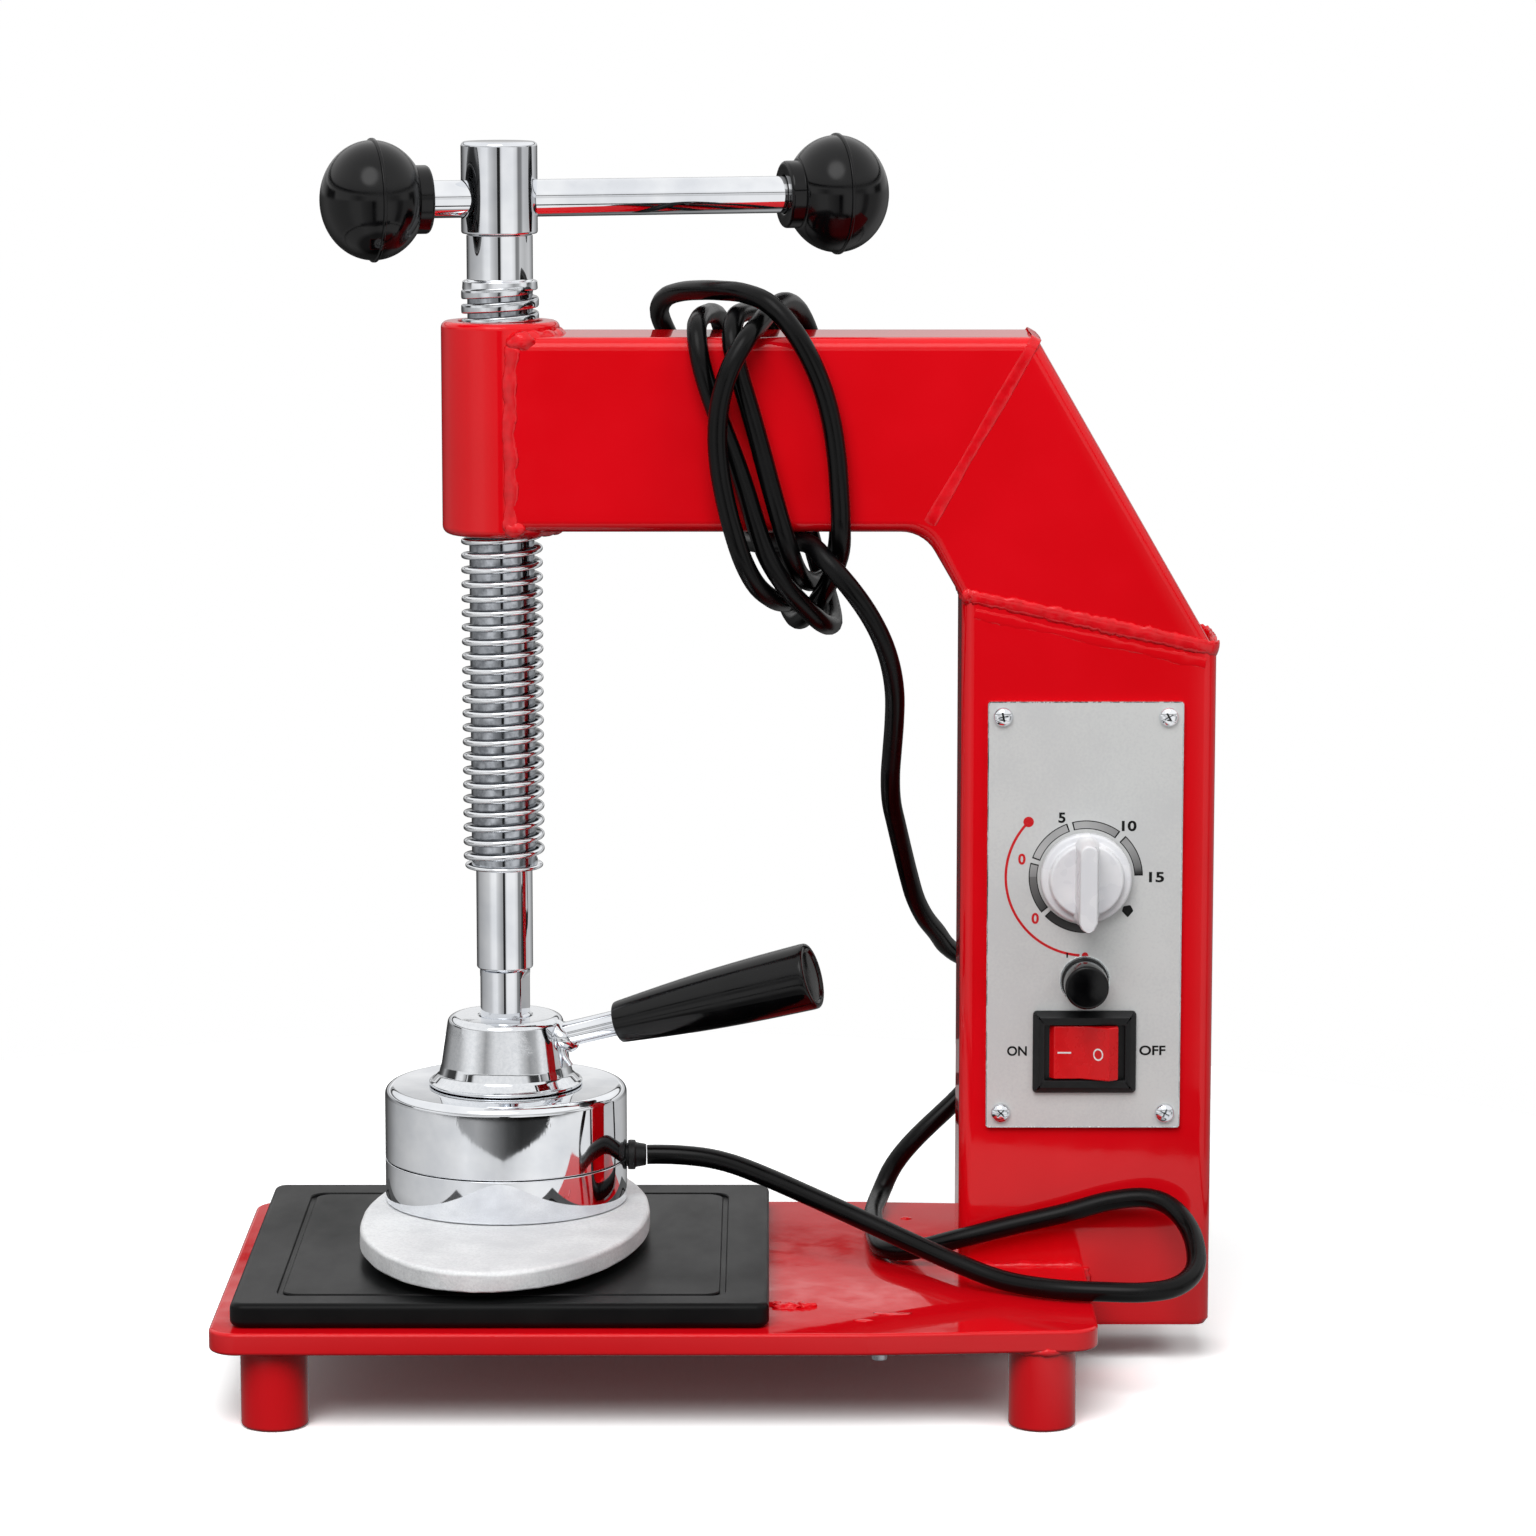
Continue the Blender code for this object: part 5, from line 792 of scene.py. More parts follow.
frameSizes = {
    "columnLeft": 74.95, "columnRight": 154.35, "columnBottom": 12.6, "wall": 2, "inside": 30,
    "innerHigh": (63.0, 264.6), "outerHigh": (97.6, 325),
    "innerLow": (74.95, 243.9), "outerLow": (154.35, 226.7),
    "innerFillets": (12, 9), "outerFillet": 3, "foldSteps": 7, "foldsFrom": 200, "columnSteps": (120, 60),
    "footEdge": (1.7, 1.1), "armStart": -64.15, "armTurn": -40, "saddle": 17.9,
    "corner": 4, "cornerSteps": 7, "sideSteps": 14,
    "groundWidth": 3.7, "groundHeight": 0.1, "beadWidth": 4.6, "beadHeight": 0.75, "beadRise": 1.6,
    # The torch's build-ups at the mitre's corners: x, z, size and seed.
    "cornerLumps": ((77.0, 245.0, (2.2, 1.5, 2.6), 5), (149.8, 228.8, (1.7, 1.2, 1.5), 8)),
    "flatFrom": 0.05, "flatTo": 0.955, "flatDrop": 3.6, "flatWidth": 3, "flatHeight": 0.14,
}


def tubeSection(width, s):
    # Points round a tube from the front of its inner side: how far across from that side, and y.
    low, high, corner = tubeFront, tubeBack, s["corner"]

    def between(first, last):
        (a, b), (c, d) = first, last
        count = s["sideSteps"]
        return [(a + (c - a) * k / count, b + (d - b) * k / count) for k in range(1, count)]

    points = []
    for across, y, start in ((corner, low + corner, 180), (width - corner, low + corner, 270),
                             (width - corner, high - corner, 0), (corner, high - corner, 90)):
        arc = arcPoints(across, y, corner, start, start + 90, s["cornerSteps"])
        if points:
            points += between(points[-1], arc[0])
        points += arc
    return points + between(points[-1], points[0])


def makeFrame(s):
    def ring(inner, outer, width):
        # A section laid between an inner and an outer corner in XZ.
        made = []
        for across, y in tubeSection(width, s):
            x, z = (a + (b - a) * across / width for a, b in zip(inner, outer))
            made.append(Vector((x, y, z)))
        return made

    armLow, armHigh = s["innerHigh"][1], s["outerHigh"][1]
    armWidth = armHigh - armLow
    left, right, bottom = s["columnLeft"], s["columnRight"], s["columnBottom"]
    start = []
    for across, y in tubeSection(armWidth, s):
        reach = s["saddle"] ** 2 - (y - axisY) ** 2
        x = max(s["armStart"], axisX + math.sqrt(reach)) if reach > 0 else s["armStart"]
        start.append(Vector((x, y, armLow + across)))
    rings = [start, ring((s["armTurn"], armLow), (s["armTurn"], armHigh), armWidth)]
    # The inner and the outer side each follow their own bends, which the paint and the welds round off.
    high, low = s["innerFillets"]
    inner = [(0, armLow), (*s["innerHigh"], high), (*s["innerLow"], low), (left, s["foldsFrom"])]
    fillet = s["outerFillet"]
    outer = [(30, armHigh), (*s["outerHigh"], fillet), (*s["outerLow"], fillet), (right, s["foldsFrom"])]
    sides = [roundCorners(side, s["foldSteps"]) for side in (inner, outer)]
    for k, (near, far) in enumerate(zip(*sides)):
        rings.append(ring(near, far, armWidth if k < len(sides[0]) / 2 else right - left))
    rise, inset = s["footEdge"]
    for z in (*s["columnSteps"], bottom + rise):
        rings.append(ring((left, z), (right, z), right - left))
    # At its foot the column's wall turns in over a small edge and goes up inside.
    middle = Vector(((left + right) / 2, axisY, bottom))
    halfX, halfY = (right - left) / 2, (tubeBack - tubeFront) / 2
    foot = [Vector((p.x, p.y, bottom)) - middle for p in rings[-1]]
    rings.append([middle + p * (1 - inset / (2 * halfY)) for p in foot])
    thin = Vector((1 - s["wall"] / halfX, 1 - s["wall"] / halfY, 0))
    rings.append([middle + p * thin for p in foot])
    rings.append([p + Vector((0, 0, s["inside"])) for p in rings[-1]])
    makePiece("weldedFrame", [skin(rings)], enamelLook, "frame",
              ("arm_tube", "brace_tube", "column_tube"), sharp=28)
    makeFrameWelds(s)


def loopRound(inner, outer, y0, y1, corner, lift=0):
    # A closed path round a mitre: (place, outward) pairs, evenly spaced, with rounded corners.
    across = Vector((outer[0] - inner[0], 0, outer[1] - inner[1]))
    width = across.length
    across.normalize()
    start = Vector((inner[0], 0, inner[1] + lift))
    flat = rectangle(0, width, y0, y1, corner, 6)
    outline = []
    for here, there in zip(flat, [*flat[1:], flat[0]]):
        parts = max(1, round((there - here).length / 1.4))
        outline += [here + (there - here) * k / parts for k in range(parts)]
    made = []
    middle = Vector((width / 2, (y0 + y1) / 2))
    for i, here in enumerate(outline):
        way = (outline[(i + 1) % len(outline)] - outline[i - 1]).normalized()
        outward = Vector((way.y, -way.x))
        if outward.dot(here - middle) < 0:
            outward = -outward
        spot, side = (across * pair.x + Vector((0, pair.y, 0)) for pair in (here, outward))
        made.append((start + spot, side))
    return made


def makeFrameWelds(s):
    corner, faces = s["corner"], (tubeFront, tubeBack)
    ground = loopRound(s["innerHigh"], s["outerHigh"], *faces, corner)
    bead = loopRound(s["innerLow"], s["outerLow"], *faces, corner, s["beadRise"])
    skins = [weldRings(ground, s["groundWidth"], s["groundHeight"], 40, 0.06, 3, closed=True),
             weldRings(bead, s["beadWidth"], s["beadHeight"], 2.9, 0.26, 11, closed=True)]
    for x, z, size, seed in s["cornerLumps"]:
        for y in (tubeFront + 0.7, tubeBack - 0.7):
            skins.append(lump((x, y, z), size, seed + y, 0.2))
    makePiece("mitreWelds", skins, weldLook, "frame", sharp=180, even=False)
    # Filled and ground flats on the tubes' sides below the mitre.
    flats = []
    inner, outer = (Vector((x, 0, z - s["flatDrop"])) for x, z in (s["innerLow"], s["outerLow"]))
    ends = [inner + (outer - inner) * share for share in (s["flatFrom"], s["flatTo"])]
    for y, outward in ((tubeFront, -1), (tubeBack, 1)):
        start, end = (spot + Vector((0, y, 0)) for spot in ends)
        shape = (s["flatWidth"], s["flatHeight"], 30, 0.3)
        flats.append(weldLine(start, end, (0, outward, 0), 50, *shape, 21, sides=12))
    makePiece("groundFlats", flats, enamelLook, "frame", sharp=40, even=False)


bossSizes = {
    "radius": 18.5, "bore": 13.25, "bottom": 262.5, "top": 329, "edge": 2.0, "boreEdge": 0.5,
    "weldX": -65.0, "weldWidth": 4.6, "weldHeight": 0.75, "weldLow": 263.8, "weldHigh": 323.6,
    "weldInset": 0.8, "leanFrom": 312,
    # The welds that climb over the arm's top and bottom edges: the height and the upward lean of each.
    "arcs": ((324.9, 1), (264.6, -1)), "arcRadius": 18.6, "arcHalf": 78,
    # The torch's build-ups there: x, y, z, size, seed and roughness.
    "lumps": (
        (-61.4, tubeFront + 1.2, 323.6, (4.4, 2.1, 3.1), 12, 0.18),
        (-63.6, tubeFront + 1.0, 265.6, (3.2, 1.8, 2.6), 15, 0.2),
        (-61.6, tubeBack - 1.2, 323.2, (4.0, 2.1, 3.0), 18, 0.18),
    ),
}


def makeBoss(s):
    corners = [
        (s["bore"], s["top"], s["boreEdge"]), (s["radius"], s["top"], s["edge"]),
        (s["radius"], s["bottom"], s["edge"] * 1.3), (s["bore"], s["bottom"], s["boreEdge"]),
    ]
    makePiece("screwBoss", [turned(corners, 128, axisPlace, 6, loop=True)], enamelLook, "frame",
              ("screw_boss",))
    skins = []
    for y, outward, seed in ((tubeFront + s["weldInset"], -1, 2), (tubeBack - s["weldInset"], 1, 7)):
        line = []
        for i in range(80):
            z = s["weldLow"] + (s["weldHigh"] - s["weldLow"]) * i / 79
            sway = 0.9 * noise.noise(Vector((z * 0.11, seed, 0)))
            sway += 0.35 * noise.noise(Vector((z * 0.5, seed, 3)))
            lean = 2.2 * max(0, (z - s["leanFrom"]) / 12) ** 2
            line.append((Vector((s["weldX"] + sway + lean, y, z)), Vector((-0.35, outward, 0))))
        skins.append(weldRings(line, s["weldWidth"], s["weldHeight"], 11, 0.13, seed, fade=3))
    for z, up in s["arcs"]:
        line = []
        for x, y in arcPoints(0, 0, 1, -s["arcHalf"], s["arcHalf"], 60):
            place = Vector((axisX + s["arcRadius"] * x, axisY + s["arcRadius"] * y, z))
            line.append((place, Vector((x, y, up))))
        skins.append(weldRings(line, 5.2, 1.5, 6.5, 0.16, 60 + up, fade=3))
    for x, y, z, size, seed, roughness in s["lumps"]:
        skins.append(lump((x, y, z), size, seed, roughness))
    makePiece("bossWelds", skins, weldLook, "frame", sharp=180, even=False)


baseSizes = {
    "left": -154.35, "right": 114.8, "back": 86.3, "bottom": 24.9, "top": 31.8,
    "corner": 9, "taper": 4.6, "taperLength": 70.2, "edge": 1.1,
    "bendCorner": 4, "footRadius": 10.25, "footX": (-135.2, 98.0), "footY": 71.9, "footEdge": 1.2,
    "weldWidth": 3.2, "weldHeight": 1.2, "weldStart": 2,
    # Paint drips and spatter that the photograph shows: x, y, size and seed.
    "drips": (
        (20.4, -53.5, (4.6, 2.6, 1.2), 4), (26.2, -52.6, (2.8, 2.0, 1.4), 9),
        (16.6, -50.0, (2.2, 1.6, 0.9), 14), (60, 62, (1.6, 1.4, 0.5), 17), (44, -70, (2.6, 1.4, 0.35), 23),
        (52, -62, (5.5, 1.8, 0.3), 25),
    ),
    "stud": (48.5, -76), "studRadius": 2.3, "studLength": 3.6,
}


def makeBase(s):
    narrow, bend = s["back"] - s["taper"], s["right"] - s["taperLength"]
    bendCorner = s["bendCorner"]
    corner, back = s["corner"], s["back"]
    half = [(s["left"], back, corner), (bend, back, bendCorner), (s["right"], narrow, corner)]
    corners = [(x, -y, fillet) for x, y, fillet in half] + half[::-1]
    plate = slab(roundCorners(corners, 8, True), roundedLevels(s["bottom"], s["top"], s["edge"]))
    makePiece("basePlate", [plate], enamelLook, "frame", ("base_plate",))
    skins = []
    beads = []
    feet = [(x, y) for y in (-s["footY"], s["footY"]) for x in s["footX"]]
    for number, (x, y) in enumerate(feet):
        skins.append(peg(s["footRadius"], 0, s["bottom"], 72, Matrix.Translation((x, y, 0)), s["footEdge"]))
        line = []
        for turn in circle(60):
            flat = Vector((math.cos(turn), math.sin(turn), 0))
            spot = Vector((x, y, s["bottom"] - 0.1)) + flat * s["footRadius"]
            line.append((spot, flat - Vector((0, 0, 0.8))))
        beads.append(weldRings(line, 2.3, 0.9, 3.2, 0.6, number + 1, closed=True, sides=10))
    makePiece("feet", skins, enamelLook, "frame",
              ("foot_front_left", "foot_front_right", "foot_rear_left", "foot_rear_right"))
    # Where the column meets the plate: along its front, its back and its left side, then up the plate's end.
    left, inset, z = frameSizes["columnLeft"], s["weldStart"], s["top"] + 0.1
    across, deep = 37, tubeBack - tubeFront - 2 * inset
    shape = (s["weldWidth"], s["weldHeight"], 3.3, 0.5)
    for y, outward in ((tubeFront, -1), (tubeBack, 1)):
        start = Vector((left + inset, y, z))
        end = start + Vector((across, 0, 0))
        beads.append(weldLine(start, end, (0, outward, 0.7), 40, *shape, 31 + y, fade=3, sides=12))
    start = Vector((left, tubeFront + inset, z))
    end = start + Vector((0, deep, 0))
    beads.append(weldLine(start, end, (-1, 0, 0.7), 30, *shape, 37, fade=3, sides=12))
    for y, outward in ((tubeFront, -1), (tubeBack, 1)):
        start = Vector((s["right"], y, s["bottom"] + 0.3))
        end = start + Vector((0, 0, 6))
        beads.append(weldLine(start, end, (0.5, outward, 0), 8, 3.6, 1.5, 3, 0.6, 41 + y, sides=12))
    for x, y, size, seed in s["drips"]:
        beads.append(lump((x, y, s["top"]), size, seed, 0.55))
    makePiece("baseWelds", beads, weldLook, "frame", sharp=180, even=False)
    stud = [(0, 0), (s["studRadius"], 0), (s["studRadius"], -s["studLength"], 0.4), (0, -s["studLength"])]
    place = Matrix.Translation((*s["stud"], s["bottom"] + 0.05))
    makePiece("earthStud", [turned(stud, 24, place)], steelLook, "frame")


makeFrame(frameSizes)
makeBoss(bossSizes)
makeBase(baseSizes)
print("frame welded and enamelled")


# Pad

padSizes = {
    "left": -148, "right": 15.1, "front": -80.8, "back": 78.5, "bottom": 32.1, "top": 39.6, "corner": 4.2,
    "edge": 2.0, "inset": 13, "frontInset": 10.5, "grooveWidth": 2.4, "grooveDepth": 1.0, "grooveCorner": 5,
    "grooveEdge": 0.35,
}


def makePad(s):
    left, right, front, back = s["left"], s["right"], s["front"], s["back"]
    outline = rectangle(left, right, front, back, s["corner"], 8)
    top, deep = s["top"], s["top"] - s["grooveDepth"]
    points, faces = slab(outline, roundedLevels(s["bottom"], top, s["edge"], 6))
    faces = faces[:-1]  # the top is open, and the rings with the moulded groove close it
    rings = [[Vector(p) for p in points[-len(outline):]]]
    soft = s["grooveEdge"]
    # How far in from the groove's two edges its profile goes, and the height there.
    profile = [(0, top), (soft * 0.4, top - soft * 0.3), (soft, top - soft), (soft * 1.3, deep + soft * 0.3),
               (soft * 1.8, deep)]
    steps = [(s["inset"] + by, z) for by, z in profile]
    steps += [(s["inset"] + s["grooveWidth"] - by, z) for by, z in profile[::-1]]
    for by, z in steps:
        near = front + by - s["inset"] + s["frontInset"]
        flat = rectangle(left + by, right - by, near, back - by, s["grooveCorner"], 8)
        rings.append([Vector((x, y, z)) for x, y in flat])
    makePiece("rubberPad", [(points, faces), skin(rings, caps=(False, True))], padLook, "frame",
              ("rubber_pad",))


makePad(padSizes)
print("pad moulded")


# Screw

screwSizes = {
    "crest": 12.8, "root": 10.2, "pitch": 4.6, "bottom": 156.6, "top": 340.6, "halfWidth": 1.2, "steps": 56,
    "shank": 8.9, "shankBottom": 124.1, "neck": 7.95, "flat": 6.9, "flatTurn": 72, "neckBottom": 95.6,
    "groove": 101, "grooveHalf": 2.9, "grooveDepth": 1.5, "topNeck": 10.3, "topNeckTop": 355.7,
    "squareFrom": 322, "squareOver": 6, "flatTop": 121.2, "flatBottom": 109.4, "topNeckBottom": 341.6,
}


def makeScrew(s):
    def power(value, n):
        return math.copysign(abs(value) ** n, value)

    def spot(reach, turn, z):
        return Vector((axisX + reach * math.cos(turn), axisY + reach * math.sin(turn), z))

    rings = []
    turns = (s["top"] - s["bottom"]) / s["pitch"]
    count = round(turns * s["steps"])
    fade = s["steps"] * 0.16
    inner = s["root"] - 0.15
    for i in range(count + 1):
        share = i / count
        z = s["bottom"] + s["halfWidth"] + (s["top"] - s["bottom"] - 2 * s["halfWidth"]) * share
        turn = 2 * math.pi * turns * share
        # The part above the boss is cut squarer.
        square = max(0, min(1, (z - s["squareFrom"]) / s["squareOver"]))
        exponent = 0.82 - 0.42 * square
        crest = s["crest"] - 0.7 * square
        high = (crest - s["root"]) * min(1, i / fade, (count - i) / fade) + 0.02
        ring = []
        for k in range(11):
            angle = math.pi * k / 10
            across = power(math.cos(angle), exponent) * s["halfWidth"] * (1 + 0.3 * square)
            out = inner + (high + 0.15) * power(math.sin(angle), exponent * 0.8)
            ring.append(spot(out, turn, z - across))
        ring.append(spot(s["root"] - 0.6, turn, z))
        rings.append(ring)
    thread = skin(rings, caps=(True, True))
    core = peg(s["root"], s["bottom"], s["top"] + 0.2, 96, axisPlace)
    makePiece("pressScrewThread", [thread, core], threadLook, "spindle", ("press_screw",),
              sharp=40, even=False)

    def flattened(points, z):
        # Two flats for a spanner, with their upper ends scooped by the cutter.
        made = []
        turn = Matrix.Rotation(math.radians(s["flatTurn"]), 2)
        for p in points:
            x, y = turn.inverted() @ Vector((p.x - axisX, p.y - axisY))
            limit = s["flat"]
            if z > s["flatTop"]:
                limit += (s["neck"] - s["flat"]) * min(1, ((z - s["flatTop"]) / 2.2) ** 2 + 0.02 * x * x)
            x, y = turn @ Vector((x, max(-limit, min(limit, y))))
            made.append(Vector((axisX + x, axisY + y, p.z)))
        return made

    neck, bottom, top = s["neck"], s["neckBottom"], s["bottom"]
    low, high = s["groove"] - s["grooveHalf"], s["groove"] + s["grooveHalf"]
    groove = neck - s["grooveDepth"]
    flatLow, flatHigh = s["flatBottom"], s["flatTop"]
    body = [
        (neck - 0.4, bottom), (neck, bottom + 0.4), (neck, low), (groove, low + 0.2), (groove, high - 0.2),
        (neck, high), (neck, flatLow - 0.4), (neck, flatLow),
    ]
    body += [(neck, flatLow + (flatHigh - flatLow) * i / 6) for i in range(1, 7)]
    body += [(neck, flatHigh + 2.3 * i / 8) for i in range(1, 9)]
    rings = [[Vector((axisX, axisY, bottom))]]
    for r, z in body:
        ring = [spot(r, a, z) for a in circle(120)]
        rings.append(flattened(ring, z) if z > flatLow - 0.2 else ring)
    shaft, end, crest, upper = s["shank"], s["shankBottom"], s["crest"], s["topNeckBottom"]
    profiles = (
        [(0, top + 0.4), (shaft, top + 0.4, 0.3), (shaft, end, 1.5), (neck - 0.6, end - 0.15, 0.2),
         (neck - 0.8, end - 0.6), (0, end - 0.9)],
        [(0, top + 1.2), (crest - 0.5, top + 1.2, 0.7), (crest - 0.5, top - 0.2, 0.7), (0, top - 0.2)],
        [(0, s["topNeckTop"]), (s["topNeck"], s["topNeckTop"], 0.3), (s["topNeck"], upper, 0.6),
         (crest - 1.2, upper - 0.2, 0.4), (crest - 1.0, upper - 3, 0.5), (0, upper - 3)],
    )
    skins = [skin(rings, caps=(False, True)), *[turned(profile, 96, axisPlace) for profile in profiles]]
    makePiece("pressScrewShank", skins, chromeLook, "spindle")


headSizes = {"radius": 11.9, "bottom": 356, "top": 384.5, "topEdge": 1.5, "bottomEdge": 0.8, "socket": 6.3,
             "socketTop": 359.2, "barHeight": 366.8, "barAngle": 16.4, "barRadius": 5.8, "hole": 6.1}


def barWay(s):
    angle = math.radians(s["barAngle"])
    return Vector((math.cos(angle), math.sin(angle), 0))


def makeScrewHead(s):
    radius, bottom, top, socket = s["radius"], s["bottom"], s["top"], s["socket"]
    corners = [(0, top), (radius, top, s["topEdge"]), (radius, bottom, s["bottomEdge"]),
               (socket, bottom, 0.2), (socket, s["socketTop"]), (0, s["socketTop"])]
    way = barWay(s)
    start = Vector((axisX, axisY, s["barHeight"])) - way * 20
    hole = peg(s["hole"], 0, 40, 72, along(way, start))
    mesh = meshWithCuts("screwHead", [turned(corners, 144, axisPlace, 7)], [hole])
    finishPiece("screwHead", mesh, chromeLook, "spindle", ("screw_head",), sharp=30)


barSizes = {
    "left": -40.1, "right": 109.6, "chamfer": 0.8, "boreEnd": 4, "knobRadius": 18.5, "knobHalf": 16.3,
    "ring": 0.65, "ringHalf": 0.45, "collar": 10.6, "collarNear": 13.6, "collarFar": 17.6, "collarEdge": 1.1,
    "bore": 6.1,
}


def makeBar(s, h):
    way = barWay(h)
    middle = Vector((axisX, axisY, h["barHeight"]))
    start, end = s["left"] + s["boreEnd"] + 0.3, s["right"] - s["boreEnd"] - 0.3
    rod = [(0, end), (h["barRadius"], end, s["chamfer"]), (h["barRadius"], start, s["chamfer"]), (0, start)]
    makePiece("crossBar", [turned(rod, 96, along(way, middle))], chromeLook, "cross_bar",
              ("cross_bar",))
    # An oblate ball in two halves with a raised flash line between, and a collar on the bar's side.
    wide, tall, line = s["knobRadius"], s["knobHalf"], s["ringHalf"]
    near = math.degrees(math.asin(s["collarNear"] / tall)) * 0.94
    ring = math.degrees(math.asin((line + 0.15) / tall))

    def half(first, last, steps):
        return [(wide * x, tall * y) for x, y in arcPoints(0, 0, 1, first, last, steps)]

    corners = [
        (0, s["boreEnd"]), (s["bore"], s["boreEnd"]), (s["bore"], s["collarFar"], 0.5),
        (s["collar"], s["collarFar"], s["collarEdge"]), (s["collar"], s["collarNear"] - 0.6, 0.4),
        *half(near, ring, 22), (wide + s["ring"], line, 0.25), (wide + s["ring"], -line, 0.25),
        *half(-ring, -90, 30)[:-1], (0, -tall),
    ]
    for name, node, at, turn in (("ballKnobLeft", "ball_knob_left", s["left"], way),
                                 ("ballKnobRight", "ball_knob_right", s["right"], -way)):
        makePiece(name, [turned(corners, 112, along(turn, middle + way * at))], bakeliteLook, "cross_bar",
                  (node,), sharp=40, even=False)


makeScrew(screwSizes)
makeScrewHead(headSizes)
makeBar(barSizes, headSizes)
print("screw and cross bar turned")


# Press head

pressSizes = {
    "length": 156, "width": 90, "offset": (0.65, -19.3), "turn": -4,
    "dishBottom": 39.9, "rimBottom": 42.6, "top": 49.1,
    # The underside's dish: shares of the outline and of the dish's depth.
    "dish": ((0.96, 0.2), (0.93, 0.34), (0.86, 0.5), (0.78, 0.64), (0.65, 0.78), (0.5, 0.89), (0.3, 0.96)),
    "edge": 1.5, "rough": 0.35, "steps": 160,
    "cup": 38.45, "ringBottom": 49.4, "ringTop": 63.1, "ringWall": 4.4, "ringFloor": 3,
    "coverBottom": 63.4, "coverTop": 86.5, "coverWall": 2, "coverEdge": 2.8, "seamEdge": 0.35,
    "leadHole": 4.0, "leadZ": 63.25, "boltHole": 4.3,
}


def makePressPlate(s):
    # An oval casting whose rim is a little uneven and whose underside is dished outwards.
    middle = Matrix.Translation((axisX + s["offset"][0], axisY + s["offset"][1], 0))
    turn = middle @ Matrix.Rotation(math.radians(s["turn"]), 4, "Z")
    edge, top, rim, count = s["edge"], s["top"], s["rimBottom"], s["steps"]
    # Levels of the outline's share, how far it is moved out, and the height.
    levels = [(1, -edge * 3, top)]
    for i in range(7):
        a = math.pi / 2 * i / 6
        levels.append((1, -edge * (1 - math.sin(a)), top - edge * (1 - math.cos(a))))
    levels += [(1, 0, top - 2.4), (1, 0.1, rim + 0.7), (1, -0.2, rim + 0.15), (0.985, 0, rim)]
    levels += [(share, 0, rim - down * (rim - s["dishBottom"])) for share, down in s["dish"]]
    rings = [[turn @ Vector((0, 0, top))]]
    for share, out, z in levels:
        ring = []
        for a in circle(count):
            x, y = math.cos(a), math.sin(a)
            rough = s["rough"] * noise.noise(Vector((x * 5, y * 5, z * 0.35)))
            rough += 0.2 * s["rough"] * noise.noise(Vector((x * 31, y * 31, z)))
            halfX, halfY = ((s[side] / 2 + out) * share + rough for side in ("width", "length"))
            ring.append(turn @ Vector((halfX * x, halfY * y, z)))
        rings.append(ring)
    rings.append([turn @ Vector((0, 0, s["dishBottom"]))])
    makePiece("pressPlate", [skin(rings)], castLook, "press_head", ("press_plate",),
              sharp=50)


def makeCup(s):
    # A band and a cover that meet in a seam, with the lead's hole cut through both.
    hole, cup, seam = s["boltHole"], s["cup"], s["seamEdge"]
    inner = cup - s["ringWall"]
    floor = s["ringBottom"] + s["ringFloor"]
    notch = peg(s["leadHole"], 0, 20, 48, along((1, 0, 0), (axisX + inner - 8, axisY, s["leadZ"])))
    ring = [(inner, s["ringTop"]), (cup, s["ringTop"], seam), (cup, s["ringBottom"], 0.5),
            (hole, s["ringBottom"]), (hole, floor), (inner, floor)]
    wall, roof = cup - s["coverWall"], s["coverTop"] - s["coverWall"]
    cover = [(hole, s["coverTop"]), (cup, s["coverTop"], s["coverEdge"]), (cup, s["coverBottom"], seam),
             (wall, s["coverBottom"]), (wall, roof), (hole, roof)]
    for name, node, corners, steps in (("heaterRing", "heater_ring", ring, 5),
                                       ("heaterCover", "heater_cover", cover, 8)):
        mesh = meshWithCuts(name, [turned(corners, 192, axisPlace, steps, loop=True)], [notch])
        finishPiece(name, mesh, chromeLook, "press_head", (node,), sharp=30)


hubSizes = {
    "bottom": 86.8, "top": 108.8, "topRadius": 18, "waist": 20.6, "flare": 24.35, "rim": 2.6, "bore": 8.25,
    "seat": 94, "rodRadius": 4, "rise": 16, "swing": -15, "leverZ": 97.5, "rodStart": 9.2, "gripStart": 39,
    "gripLength": 66, "weldAt": 20.6, "gripThin": 6.7, "gripThick": 10.5, "gripSwell": 0.75, "gripEdge": 1.3,
    "gripBore": 30, "screwHole": 2.7, "screwZ": 101, "play": 0.3,
}


def leverWay(s):
    rise, swing = math.radians(s["rise"]), math.radians(s["swing"])
    return Vector((math.cos(rise) * math.cos(swing), math.cos(rise) * math.sin(swing), math.sin(rise)))


